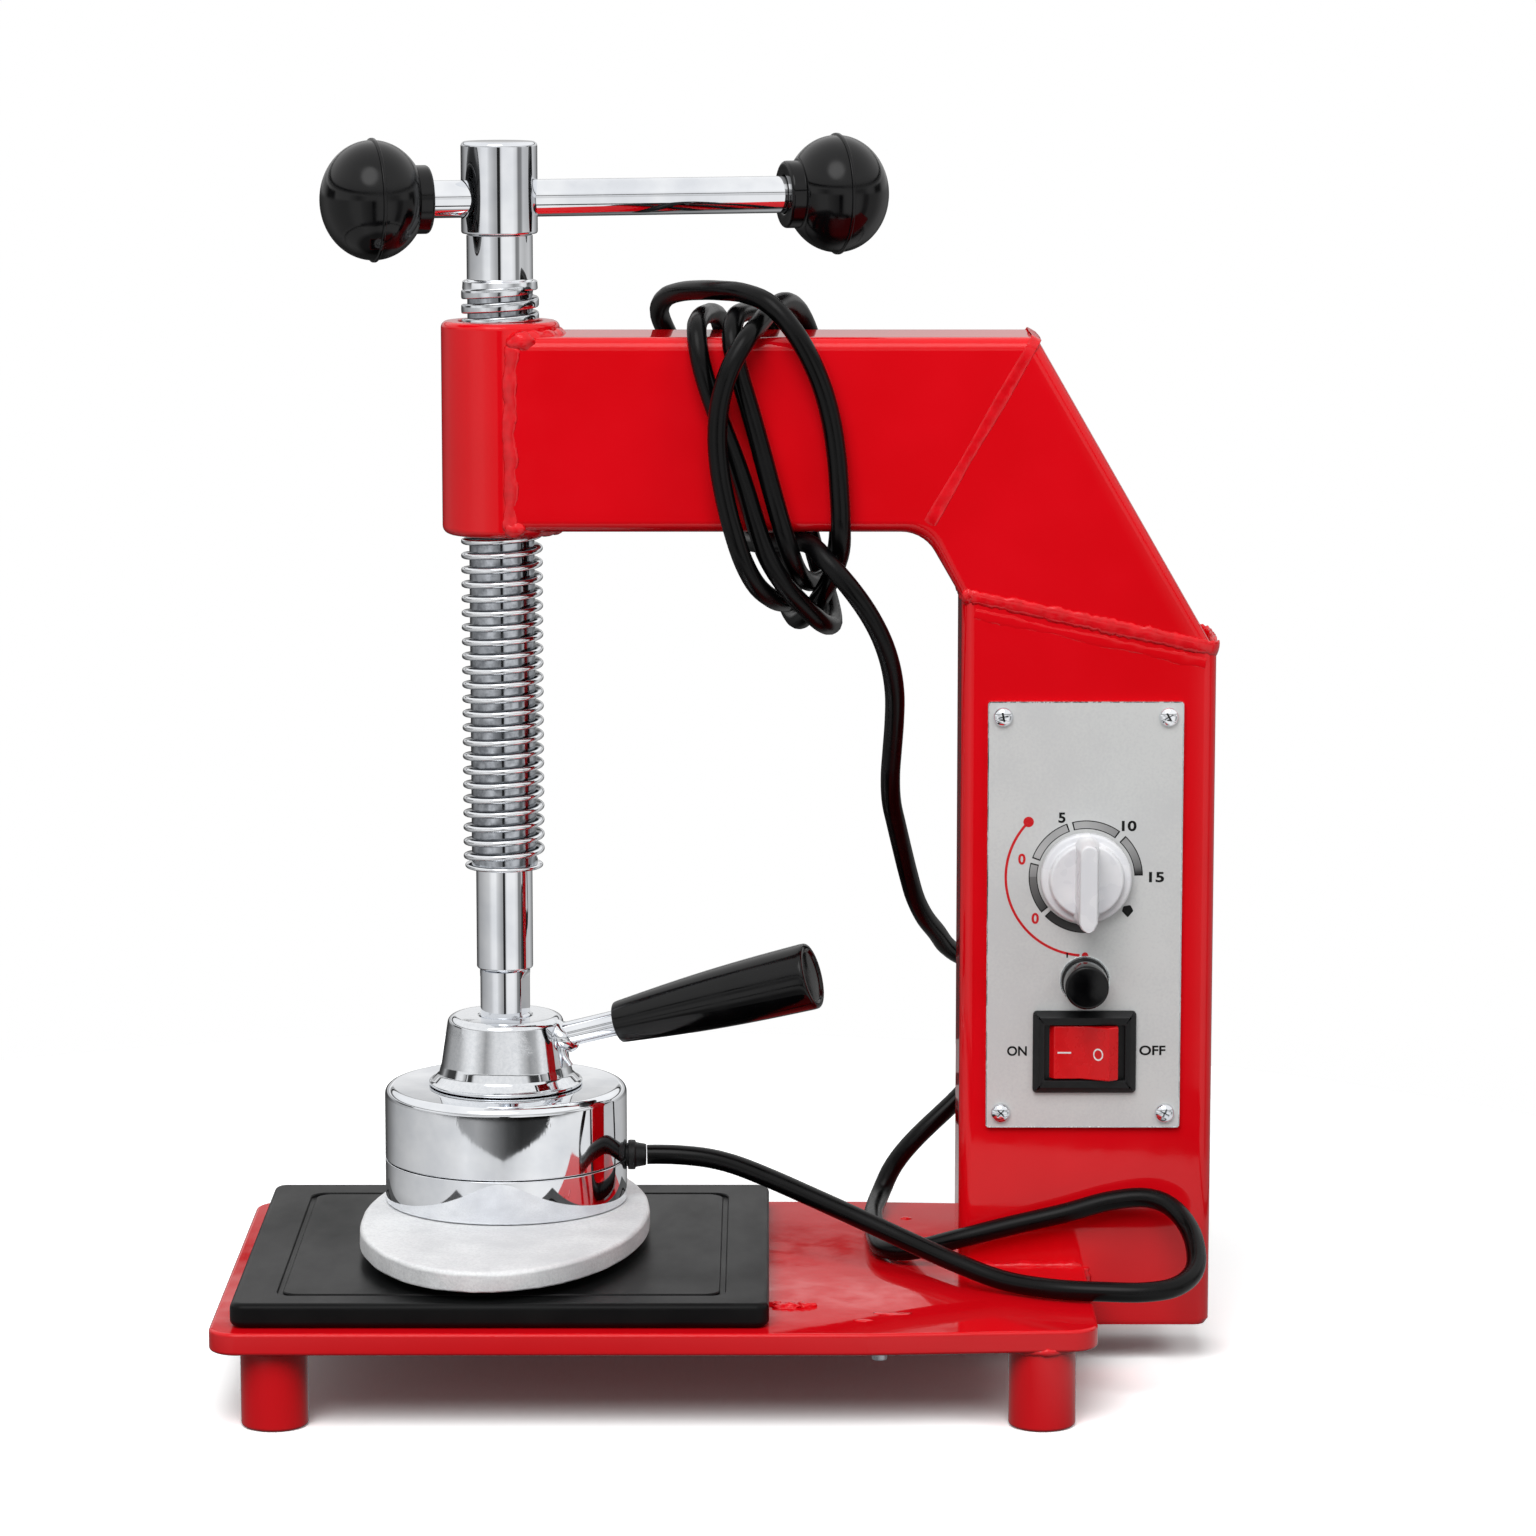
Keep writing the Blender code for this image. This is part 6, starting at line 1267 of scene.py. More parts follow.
def makeHub(s):
    low, high, bore, waist, flare = s["bottom"], s["top"], s["bore"], s["waist"], s["flare"]
    corners = [
        (0, s["seat"]), (bore, s["seat"]), (bore, high, 0.7), (s["topRadius"], high, s["rim"]),
        (waist - 0.2, low + 6.4, 6), (waist + 0.7, low + 3.4, 2.2), (flare - 0.9, low + 1.15, 1.2),
        (flare, low + 0.95, 0.3), (flare, low, 0.3), (4.3, low), (4.3, low + 4), (0, low + 4),
    ]
    points, faces = turned(corners, 144, axisPlace, 7)
    uneven = []
    for p in points:
        out = Vector((p.x - axisX, p.y - axisY, 0))
        if out.length > bore + 3 and low + 1 < p.z:
            push = 0.16 * noise.noise(Vector(p) * 0.12) + 0.02 * noise.noise(Vector(p) * 0.6)
            p = Vector(p) + out.normalized() * push
        uneven.append(p)
    way = leverWay(s)
    axis = Vector((axisX, axisY, s["leverZ"]))
    rodPlace = along(way, axis + way * (s["rodStart"] - 1.5))
    screwPlace = along((0, 1, 0), (axisX, axisY + 6.4, s["screwZ"]))
    holes = [peg(s["rodRadius"] + s["play"], 0, 30, 48, rodPlace), peg(s["screwHole"], 0, 30, 36, screwPlace)]
    mesh = meshWithCuts("headHub", [(uneven, faces)], holes)
    finishPiece("headHub", mesh, castChromeLook, "press_head", ("head_hub",), sharp=38)
    # A bead of weld holds the lever's rod, and a runnel of it went down the hub's side.
    root = axis + way * s["weldAt"]
    side = Vector((0, 0, 1)).cross(way).normalized()
    up = way.cross(side)
    ring = []
    for turn in circle(60):
        outward = side * math.cos(turn) + up * math.sin(turn)
        ring.append((root + outward * s["rodRadius"] - way * 1.4 * outward.z, outward + way * 0.5))
    runnel = [root + Vector(drop) for drop in ((-1.2, -2.6, -1.5), (-0.2, -2.6, -6.0), (1.8, -2.2, -9.4))]
    blobs = [
        weldRings(ring, 4.4, 1.5, 6, 0.2, 5, closed=True, sides=18),
        tubeAlong(smoothLine(runnel, 0.4), lambda far, total: 1.4 - 0.6 * far / total, 18, (True, True)),
    ]
    makePiece("leverWeld", blobs, castChromeLook, "press_head", sharp=180, even=False)


def makeLever(s):
    way = leverWay(s)
    axis = Vector((axisX, axisY, s["leverZ"]))
    reach = s["gripStart"] + s["gripBore"] - s["play"] - s["rodStart"]
    rod = peg(s["rodRadius"], 0, reach, 64, along(way, axis + way * s["rodStart"]), 0.3)
    makePiece("leverRod", [rod], chromeLook, "press_head", ("lever_rod",))
    # The grip swells a little along its taper and has a turned step at its thick end.
    long, edge, bore = s["gripLength"], s["gripEdge"], s["gripBore"]
    thin, thick = s["gripThin"], s["gripThick"]
    side = []
    for i in range(25):
        share = 1 - i / 24
        radius = thin + (thick - thin) * share + s["gripSwell"] * math.sin(math.pi * share)
        side.append((radius, edge + (long - 2.6 * edge) * share))
    corners = [
        (0, long - 1.1), (thick - 2.6, long - 0.9, 0.8), (thick - 1.9, long - 0.1, 0.5),
        (thick - 0.1, long - 0.2, 0.9), *side, (thin - 0.2, 0, 0.6), (4.3, 0), (4.3, bore), (0, bore),
    ]
    grip = turned(corners, 96, along(way, axis + way * s["gripStart"]))
    makePiece("leverGrip", [grip], bakeliteLook, "press_head", ("lever_grip",), sharp=40,
              even=False)


glandSizes = {"collar": 4.75, "collarLength": 2.4, "neck": 3.7, "neckIn": 5, "taper": 3.4, "end": 3.4,
              "rearX": 104, "mainsZ": 108, "heaterZ": 84, "flange": 7.4, "flangeThick": 2.2,
              "root": 5.6, "tip": 3.9, "length": 20, "ribs": 4, "ribDepth": 0.5, "barrel": 4.9, "inside": 3}


def makeGlands(s):
    place = along((1, 0, 0), (axisX + pressSizes["cup"] + 0.3, axisY, pressSizes["leadZ"]))
    neck, collar, near = s["neck"], s["collar"], s["collarLength"]
    long = near + s["taper"]
    corners = [(0, long), (s["end"], long, 0.3), (neck + 0.3, near, 0.7), (collar, near, 0.9),
               (collar, 0, 0.9), (neck, 0), (neck, -s["neckIn"]), (0, -s["neckIn"])]
    makePiece("leadGland", [turned(corners, 64, place)], softLook, "press_head",
              ("lead_gland",))
    # The rear glands' strain reliefs are ribbed and taper outwards.
    count, flange, thick, inside = 2 * s["ribs"], s["flange"], s["flangeThick"], -2 - s["inside"]
    rib = s["length"] / count
    corners = [(0, thick + s["length"])]
    for i in reversed(range(count)):
        radius = s["root"] + (s["tip"] - s["root"]) * i / count - (s["ribDepth"] if i % 2 else 0)
        start = thick + rib * i
        corners += [(radius, start + rib, 0.35), (radius, start, 0.35)]
    corners += [(flange, thick, 0.8), (flange, 0, 0.2), (s["barrel"], 0), (s["barrel"], inside), (0, inside)]
    for name, node, z in (("mainsGland", "mains_gland", s["mainsZ"]),
                          ("heaterGland", "heater_gland", s["heaterZ"])):
        gland = turned(corners, 56, along((0, 1, 0), (s["rearX"], tubeBack + 0.3, z)))
        makePiece(name, [gland], softLook, "frame", (node,), even=False)


makePressPlate(pressSizes)
makeCup(pressSizes)
makeHub(hubSizes)
makeLever(hubSizes)
makeGlands(glandSizes)
print("press head built")


# Panel and controls

panelSizes = {
    "left": 83.3, "bottom": 77, "width": 60.7, "height": 135, "back": -2.2, "front": -3.4, "corner": 0.9,
    "screwInset": 4.6, "dome": 3.1, "rise": 1.9, "controlX": 114,
    "timerZ": 156.9, "fuseZ": 123.9, "switchZ": 101.3,
    "trackInner": 15.2, "trackOuter": 17.8,
    "tracks": ((2, 46), (54, 104), (110, 160), (166, 219), (225, 270)), "arcRadius": 25.0, "arcWidth": 0.8,
    "arcFrom": 137, "arcTo": 266, "inkThick": 0.05, "inkSink": 0.02, "timerHole": 5.1, "fuseHole": 6.1,
    "switchHole": (14.5, 11.3),
    # Panel screws' recesses: half length and width, depth, the first cross's turn and the step to the next.
    "slot": (1.7, 0.4), "slotDeep": 1.1, "slotTurn": 12, "slotStep": 17,
    # Numbers round the dial: name, text, place from the timer's middle, height, width and boldness.
    "numbers": (
        ("number5", "5", -7.6, 18.7, 3.3, 2.2, 0.03), ("number10", "10", 13.4, 16.1, 3.3, 4.6, 0.03),
        ("number15", "15", 22.1, -0.1, 3.3, 4.7, 0.03), ("zeroUpper", "0", -20.0, 5.6, 3.5, 2.3, 0.035),
        ("zeroLower", "0", -15.7, -13.2, 3.5, 2.3, 0.035),
    ),
    # Words beside the switch: name, text, middle and width.
    "words": (("wordOn", "ON", (92.9, 101.4), 6.2), ("wordOff", "OFF", (135.4, 101.6), 8.2)),
    # Small printed marks: a place from the timer's middle, and the outline round it.
    "marks": (
        ((13.1, -10.6), (
            (0.1, -2.3, 0.2), (1.9, -0.2, 0.5), (0.9, 1.7, 0.6), (-1.3, 1.2, 0.5), (-1.7, -0.3, 0.4),
        )),
        ((11.3, -8.3), ((-0.4, 0.35), (0.15, -0.5), (0.5, -0.25), (-0.05, 0.6))),
        ((-5.6, -24.9), ((-0.25, -0.8), (0.25, -0.8), (0.25, 0.8), (-0.25, 0.8))),
    ),
}


def onPanel(s, x, z):
    # A place on the panel from its distance right of and above the timer's middle.
    return Vector((s["controlX"] + x, s["front"], s["timerZ"] + z))


def inkFlat(s, place, outline, thick):
    # A flat patch of ink round a place on the panel.
    face = s["front"]
    rings = []
    for y in (face + s["inkSink"], face - thick):
        rings.append([Vector((place.x + spot[0], y, place.z + spot[1])) for spot in outline])
    return skin(rings, caps=(True, True))


def sector(s, inner, outer, start, end, thick, steps=26):
    # A stretch of a printed ring round the timer.
    rings = []
    for x, z in arcPoints(0, 0, 1, start, end, steps):
        way = Vector((x, 0, z))
        corners = ((inner, s["inkSink"]), (inner, -thick), (outer, -thick), (outer, s["inkSink"]))
        rings.append([onPanel(s, 0, 0) + way * radius + Vector((0, y, 0)) for radius, y in corners])
    return skin(rings, caps=(True, True))


def trackInk():
    # Half-tone printed track: dark at one end of each stretch and pale at the other, as the turn runs on.
    made, tree, shader, place = startMaterial("inkGreyTrack", "#8a8a8a", 0.5)
    centre = (-panelSizes["controlX"] * mm, 0, -panelSizes["timerZ"] * mm)
    shift = addNode(tree, "ShaderNodeVectorMath", {0: place, 1: centre}, operation="ADD").outputs[0]
    parts = addNode(tree, "ShaderNodeSeparateXYZ", {0: shift})
    turn = spreadTo(tree, calc(tree, "ARCTAN2", parts.outputs[2], parts.outputs[0]), 0, 1, -math.pi, math.pi)
    stops = ((0.0, "#6f6f6f"), (0.105, "#3c3c3c"), (0.13, "#1c1c1c"), (0.24, "#3a3a3a"), (0.255, "#141414"),
             (0.49, "#171717"), (0.512, "#1c1c1c"), (0.53, "#6e6e6e"), (0.60, "#9b9b9b"), (0.66, "#8d8d8d"),
             (0.76, "#a9a9a9"), (0.86, "#a4a4a4"), (0.93, "#b5b5b5"), (1.0, "#8c8c8c"))
    tree.links.new(addRamp(tree, turn, stops), shader.inputs["Base Color"])
    roughBy(tree, shader, grains(tree, place, 1.5), 0.42, 0.6)
    return made


def inkText(name, text, middle, height, width, look, bold):
    # Lettering scaled to a real height and width in millimetres, lying on the panel.
    curve = bpy.data.curves.new(name, "FONT")
    curve.body = text
    curve.offset = bold
    curve.extrude = 0.01
    curve.align_x = "CENTER"
    drawn = addObject(name, curve)
    graph = bpy.context.evaluated_depsgraph_get()
    graph.update()
    mesh = bpy.data.meshes.new_from_object(drawn.evaluated_get(graph))
    bpy.data.objects.remove(drawn)
    spots = np.array([v.co for v in mesh.vertices])
    low, high = spots.min(0), spots.max(0)
    face = panelSizes["front"] - 0.03
    for vertex in mesh.vertices:
        x, y, z = (np.array(vertex.co) - (low + high) / 2) / (high - low)
        vertex.co = Vector((middle[0] + x * width, face - z * 0.05, middle[1] + y * height)) * mm
    return finishPiece(name, mesh, look, "frame", even=False)


def makePanel(s):
    left, bottom, back, front = s["left"], s["bottom"], s["back"], s["front"]
    right, top = left + s["width"], bottom + s["height"]
    outline = rectangle(left, right, bottom, top, s["corner"], 4)
    thick = back - front
    x, z = s["controlX"], s["switchZ"]
    holes = [peg(s[hole], -10, 10, 40, toFront(x, front, s[height]))
             for hole, height in (("timerHole", "timerZ"), ("fuseHole", "fuseZ"))]
    halfX, halfZ = s["switchHole"]
    square = rectangle(x - halfX, x + halfX, z - halfZ, z + halfZ, 0.3, 2)
    holes.append(slab(square, [(0, -10), (0, 10)], facingFront(front)))
    sheet = slab(outline, [(0.05, 0), (0, 0.05), (0, thick - 0.12), (0.12, thick)], facingFront(back))
    mesh = meshWithCuts("controlPanel", [sheet], holes)
    finishPiece("controlPanel", mesh, panelLook, "frame", ("control_panel",), sharp=30)
    # The sheared edge stands out as a bright line all round.
    rim = [upright(outline, y, inset)
           for inset, y in ((-0.06, back), (-0.12, front - 0.04), (0.22, front - 0.05), (0.3, front + 0.1))]
    makePiece("panelEdge", [skin(rim, loop=True)], edgeLook, "frame", sharp=40)
    dome, rise, inset = s["dome"], s["rise"], s["screwInset"]
    head = [(dome * x, rise * z) for x, z in arcPoints(0, 0, 1, 90, 0, 9)]
    head[0] = (0, rise)
    head += [(dome - 0.1, -0.25), (1.6, -0.25), (1.6, -8), (0, -8)]
    halfLong, halfWide = s["slot"]
    slot = rectangle(-halfLong, halfLong, -halfWide, halfWide, 0.25, 3)
    places = [(end, side, px, pz) for end, pz in (("top", top - inset), ("bottom", bottom + inset))
              for side, px in (("left", left + inset), ("right", right - inset))]
    for number, (end, side, px, pz) in enumerate(places):
        crosses = []
        for angle in (0, 90):
            spin = Matrix.Rotation(math.radians(s["slotTurn"] + angle + s["slotStep"] * number), 4, "Z")
            place = Matrix.Translation((px, 0, pz)) @ facingFront(front - 0.3 - rise + s["slotDeep"]) @ spin
            crosses.append(slab(slot, [(0.12, 0), (0, 3)], place))
        name = f"panelScrew{number + 1}"
        mesh = meshWithCuts(name, [turned(head, 48, toFront(px, front - 0.3, pz))], crosses)
        node = f"panel_screw_{end}_{side}"
        finishPiece(name, mesh, chromeLook, "frame", (node,), sharp=34)
    makePanelPrint(s)


def makePanelPrint(s):
    thick, near, far = s["inkThick"], s["trackInner"], s["trackOuter"]
    # Each track is a dark outline with a paler stretch inside it.
    tracks = s["tracks"]
    outer = [sector(s, near - 0.05, far + 0.05, a - 0.6, b + 0.6, thick) for a, b in tracks]
    inner = [sector(s, near + 0.22, far - 0.25, a + 0.9, b - 0.9, thick + 0.03) for a, b in tracks]
    makePiece("timerTrackEdge", outer, blackInk, "frame", even=False)
    makePiece("timerTrack", inner, trackInk(), "frame", even=False)
    radius, half = s["arcRadius"], s["arcWidth"] / 2
    red = [sector(s, radius - half, radius + half, s["arcFrom"], s["arcTo"], thick, 60)]
    for angle, dot in ((s["arcFrom"] - 1, 1.65), (s["arcTo"] + 4, 1.0)):
        a = math.radians(angle)
        middle = onPanel(s, radius * math.cos(a), radius * math.sin(a))
        red.append(inkFlat(s, middle, arcPoints(0, 0, dot, 0, 346, 24), thick + 0.01))
    makePiece("redArc", red, redInk, "frame", even=False)
    marks = [inkFlat(s, onPanel(s, *place), roundCorners(outline, 4, True), thick)
             for place, outline in s["marks"]]
    makePiece("dialMarks", marks, blackInk, "frame", even=False)
    for name, text, x, z, height, width, bold in s["numbers"]:
        look, slot = (redInk, "red_plastic") if text == "0" else (blackInk, "black_bakelite")
        inkText(name, text, (s["controlX"] + x, s["timerZ"] + z), height, width, look, bold)
    for name, text, middle, width in s["words"]:
        inkText(name, text, middle, 3.1, width, blackInk, 0.025)


knobSizes = {
    "back": -4.6, "skirt": 14.2, "skirtRise": 3.4, "disc": 11.8, "discRise": 6.4, "ridgeHalf": 2.95,
    "ridgeRise": 17, "ridgeTop": 12.8, "shoulder": 12.3, "tip": 14.9, "bore": 3.2, "recess": 5.4,
    "bush": 1.2,
}


def makeTimerKnob(s, p):
    disc, discRise, skirt, skirtRise = s["disc"], s["discRise"], s["skirt"], s["skirtRise"]
    corners = [
        (0, discRise - 0.3), (disc - 0.4, discRise, 0.9), (disc, skirtRise + 0.2, 0.7),
        (skirt, skirtRise, 1.1), (skirt + 0.05, 0, 0.25), (s["recess"], 0), (s["recess"], s["bush"]),
        (s["bore"], s["bush"]), (s["bore"], discRise - 1.4), (0, discRise - 1.4),
    ]
    body = turned(corners, 128, toFront(p["controlX"], s["back"], p["timerZ"]), 8)
    # The finger ridge: straight sides that taper a little outwards, a round end up and a point down.
    half, top, shoulder, tip = s["ridgeHalf"], s["ridgeTop"] - s["ridgeHalf"], -s["shoulder"], -s["tip"]

    def outline(grow):
        side = [(half + grow, shoulder + 0.8), (half * 0.72 + grow, shoulder - 1.4),
                (0.35, tip - grow * 0.5)]
        spots = [(half + grow, top), *arcPoints(0, top, half + grow, 12, 168, 12), (-half - grow, top)]
        spots += [(-x, z) for x, z in side] + side[::-1]
        return [Vector((x + p["controlX"], z + p["timerZ"])) for x, z in spots]

    rise = s["ridgeRise"]
    levels = ((1.1, discRise - 1.2), (0.55, discRise + 0.5), (0.3, discRise + 2.2), (0.05, rise - 2.2),
              (-0.02, rise - 1.0), (-0.3, rise - 0.3), (-0.8, rise))
    ridge = skin([upright(outline(grow), s["back"] - out) for grow, out in levels], caps=(True, True))
    mesh = meshWithCuts("timerKnob", [body], [ridge], add=True)
    finishPiece("timerKnob", mesh, whiteLook, "timer_knob", ("timer_knob",), sharp=40)


fuseSizes = {
    "flange": 7.4, "flangeThick": 1.6, "front": -5.6, "cap": 6.85, "rise": 10.5, "edge": 0.9, "stem": 3.05,
    "stemIn": 1.0, "grip": 0.18, "flutes": 30, "washer": 7.9, "washerBore": 5.9, "washerThick": 0.28,
    "bore": 3.4, "barrel": 5.8, "length": 33,
}


def makeFuse(s, p):
    x, z, face = p["controlX"], p["fuseZ"], p["front"]
    bore, barrel, length, flange, thick = s["bore"], s["barrel"], s["length"], s["flange"], s["flangeThick"]
    body = [(bore, thick, 0.3), (flange, thick, 0.6), (flange, 0, 0.2), (barrel, 0), (barrel, -length),
            (bore, -length)]
    makePiece("fuseHolder", [turned(body, 64, toFront(x, face - 0.3, z), 5, loop=True)], nylonLook, "frame",
              ("fuse_holder",), even=False)
    inner, outer = s["washerBore"], s["washer"]
    washer = [(inner, s["washerThick"]), (outer, s["washerThick"], 0.2), (outer, 0.02), (inner, 0.02)]
    makePiece("fuseWasher", [turned(washer, 72, toFront(x, face, z), 4, loop=True)], edgeLook, "frame")
    # The cap is fluted round its side and plain in front, where the real one carries its rating.
    cap, rise, stem = s["cap"], s["rise"], s["stem"]
    corners = [(0, rise), (cap, rise, s["edge"]), (cap + 0.12, 0, 0.3), (stem, 0), (stem, -s["stemIn"]),
               (0, -s["stemIn"])]
    local, faces = turned(corners, 240)
    place = toFront(x, s["front"], z)
    fluted = []
    for point in local:
        out = math.hypot(point.x, point.y)
        if out > cap - 0.5 and 0.8 < point.z < rise - 1.0:
            wave = 0.5 + 0.5 * math.cos(s["flutes"] * math.atan2(point.y, point.x))
            share = 1 - s["grip"] * wave / out
            point = Vector((point.x * share, point.y * share, point.z))
        fluted.append(place @ point)
    makePiece("fuseCap", [(fluted, faces)], bakeliteLook, "fuse_cap", ("fuse_cap",),
              sharp=40, even=False)


switchSizes = {
    "halfX": 16.2, "halfZ": 13.1, "rise": 2.5, "corner": 1.3, "slope": 1.7, "bodyX": 14.2, "bodyZ": 11,
    "depth": 24, "rockerX": 11.3, "proud": 8.6, "rockerZ": 8.5, "pivotY": -2.2, "pivot": 3.5, "angle": -12,
    "side": 4.4, "sideHalf": 10.4, "heel": 0.6, "back": 6.5, "backHalf": 6, "pocketX": 12.6, "pocketZ": 8.8,
    "pocketDepth": 12,
    # Marks on the rocker: the line's half height and ends, the ring's middle, radii and flattening.
    "line": (0.25, -7.6, -3.4), "ringMiddle": (5.2, -0.2), "ringRadii": (1.32, 1.78),
    "ringShape": (0.92, 1.1), "inkLow": -0.02, "inkHigh": 0.05,
}


def makeSwitch(s, p):
    x, z, back = p["controlX"], p["switchZ"], p["front"] - 0.3
    rise, slope, deep = s["rise"], s["slope"], s["pocketDepth"]

    def around(halfX, halfZ, corner, steps):
        return rectangle(x - halfX, x + halfX, z - halfZ, z + halfZ, corner, steps)

    outline = around(s["halfX"], s["halfZ"], s["corner"], 5)
    inner = around(s["pocketX"], s["pocketZ"], 0.5, 5)
    behind = around(s["bodyX"], s["bodyZ"], 0.4, 3)
    rings = [upright(outline, back - out, inset)
             for inset, out in ((0, 0), (0, 0.7), (0.15, 1.0), (slope, rise - 0.15), (slope + 0.25, rise))]
    rings += [upright(inner, back - out, inset)
              for inset, out in ((-0.35, rise), (-0.1, rise - 0.1), (0, rise - 0.4), (0, rise - deep))]
    bezel = skin(rings, caps=(True, True))
    body = [upright(behind, back + depth, inset)
            for inset, depth in ((0, -0.4), (0, s["depth"] - 0.4), (0.4, s["depth"]))]
    pocket = [upright(inner, back - out) for out in (rise + 2, rise - deep - 0.02)]
    shell = meshWithCuts("switchBezel", [skin(body, caps=(True, True))], [skin(pocket, caps=(True, True))])
    meshOf("switchBezel", [bezel], shell)
    finishPiece("switchBezel", shell, nylonLook, "frame", ("switch_housing",), sharp=30)
    # The rocker's face is two planes that meet in a shallow valley, and its proud ends slope back.
    pivot, proud, fall = s["pivot"], s["proud"], math.tan(math.radians(-s["angle"]))
    side = [(proud, -pivot - proud * fall, 0.6), (s["rockerX"], -pivot + s["heel"], 0.5),
            (s["sideHalf"], s["side"] - pivot, 0.3), (s["backHalf"], s["back"] - pivot)]
    profile = roundCorners([(0, -pivot), *side, *[(-spot[0], *spot[1:]) for spot in side[::-1]]], 5, True)
    place = Matrix.Translation((x, s["pivotY"], z)) @ Matrix.Rotation(math.radians(s["angle"]), 4, "Z")
    levels = roundedLevels(-s["rockerZ"], s["rockerZ"], 0.45, 4)
    makePiece("switchRocker", [slab(profile, levels, place)], rockerLook, "switch_rocker",
              ("switch_rocker",), sharp=28)

    def onRocker(a, b, lift):
        return place @ Vector((a, -pivot - abs(a) * fall - lift, b))

    # The marks lie on the rocker's two faces.
    low, high = s["inkLow"], s["inkHigh"]
    half, start, end = s["line"]
    bar = ((start, -half), (end, -half), (end, half), (start, half))
    marks = [skin([[onRocker(a, b, lift) for a, b in bar] for lift in (low, high)], caps=(True, True))]
    (middleX, middleZ), (near, far), (flatX, flatZ) = s["ringMiddle"], s["ringRadii"], s["ringShape"]
    hoop = []
    for a in circle(40):
        across, up = flatX * math.cos(a), flatZ * math.sin(a)
        hoop.append([onRocker(middleX + radius * across, middleZ + radius * up, lift)
                     for radius, lift in ((near, low), (near, high), (far, high), (far, low))])
    marks.append(skin(hoop, loop=True))
    makePiece("rockerMarks", marks, whiteInk, "switch_rocker", even=False)


makePanel(panelSizes)
makeTimerKnob(knobSizes, panelSizes)
makeFuse(fuseSizes, panelSizes)
makeSwitch(switchSizes, panelSizes)
print("panel fitted")


# Plug

plugSizes = {
    "top": (107.5, 57, 214), "neck": 5, "neckLength": 16, "shoulder": 12, "body": 27, "waist": 11,
    "radius": 18.2, "edge": 2.0, "pin": 2.4, "pinLength": 19, "pinSpread": 9.5,
}


def makePlug(s):
    neck, radius = s["neck"], s["radius"]
    shoulder = -s["neckLength"] - s["shoulder"]
    face = shoulder - s["body"]
    corners = [(0, 0), (neck - 0.4, 0, 0.4)]
    for i in range(5):  # grooves in the flexible neck
        start = -1.6 - i * 2.9
        grown = neck + 1.4 * (i + 1) / 5
        corners += [(grown, start, 0.3), (grown, start - 1.6, 0.3), (grown - 0.7, start - 1.6, 0.25),
                    (grown - 0.5, start - 2.9, 0.25)]
    corners += [
        (s["waist"], -s["neckLength"] - s["shoulder"] / 3, 4), (radius - 0.6, shoulder, 5),
        (radius, face + 7, 3), (radius, face, s["edge"]), (radius - 5, face, 0.4),
        (radius - 5.2, face + 0.6, 0.3), (0, face + 0.6),
    ]
    top = Vector(s["top"])
    makePiece("mainsPlug", [turned(corners, 88, Matrix.Translation(top))], softLook, "frame",
              ("mains_plug",), sharp=40, even=False)
    pins = []
    for side in (-1, 1):
        place = Matrix.Translation(top + Vector((side * s["pinSpread"], 0, face - s["pinLength"])))
        pins.append(peg(s["pin"], 0, s["pinLength"] + 2, 40, place, 1.6))
    makePiece("plugPins", pins, steelLook, "frame")


makePlug(plugSizes)
print("plug moulded")


# Inner parts

# Carried-over CAD parts inside the column and the cup, and the cap in the column's foot.
innerLooks = {
    "column_cap": enamelLook,
    "timer_body": innerMaterial("pbtCaseMoulded", "#d8d3c3", "#cac4b2", 0.45, 0, 5),
    "timer_shaft": steelLook, "fuse_nut": steelLook,
    "fuse_cartridge": innerMaterial("fuseGlassTube", "#d9dedd", "#c8cfce", 0.18, 0, 8),
    "terminal_block": innerMaterial("polyamideNatural", "#d9d8cf", "#c9c7bb", 0.5, 0, 4),
    "thrust_washer": steelLook, "retaining_screw": steelLook, "centre_stud": steelLook,
    "stud_nut": steelLook,
    "heating_element": innerMaterial("steelHeatBlued", "#6b6a70", "#4b4a55", 0.4, 1, 7),
    "insulation_disc": innerMaterial("micaPressed", "#a8987a", "#8b7c60", 0.5, 0, 3),
    "thermostat": innerMaterial("phenolicMoulded", "#3a2a22", "#2b1e18", 0.4, 0, 3),
}
for nodeName, look in innerLooks.items():
    node = bpy.data.objects[nodeName]
    for slotOfNode in node.material_slots:
        slotOfNode.material = look
print("inner parts finished")


# Stage

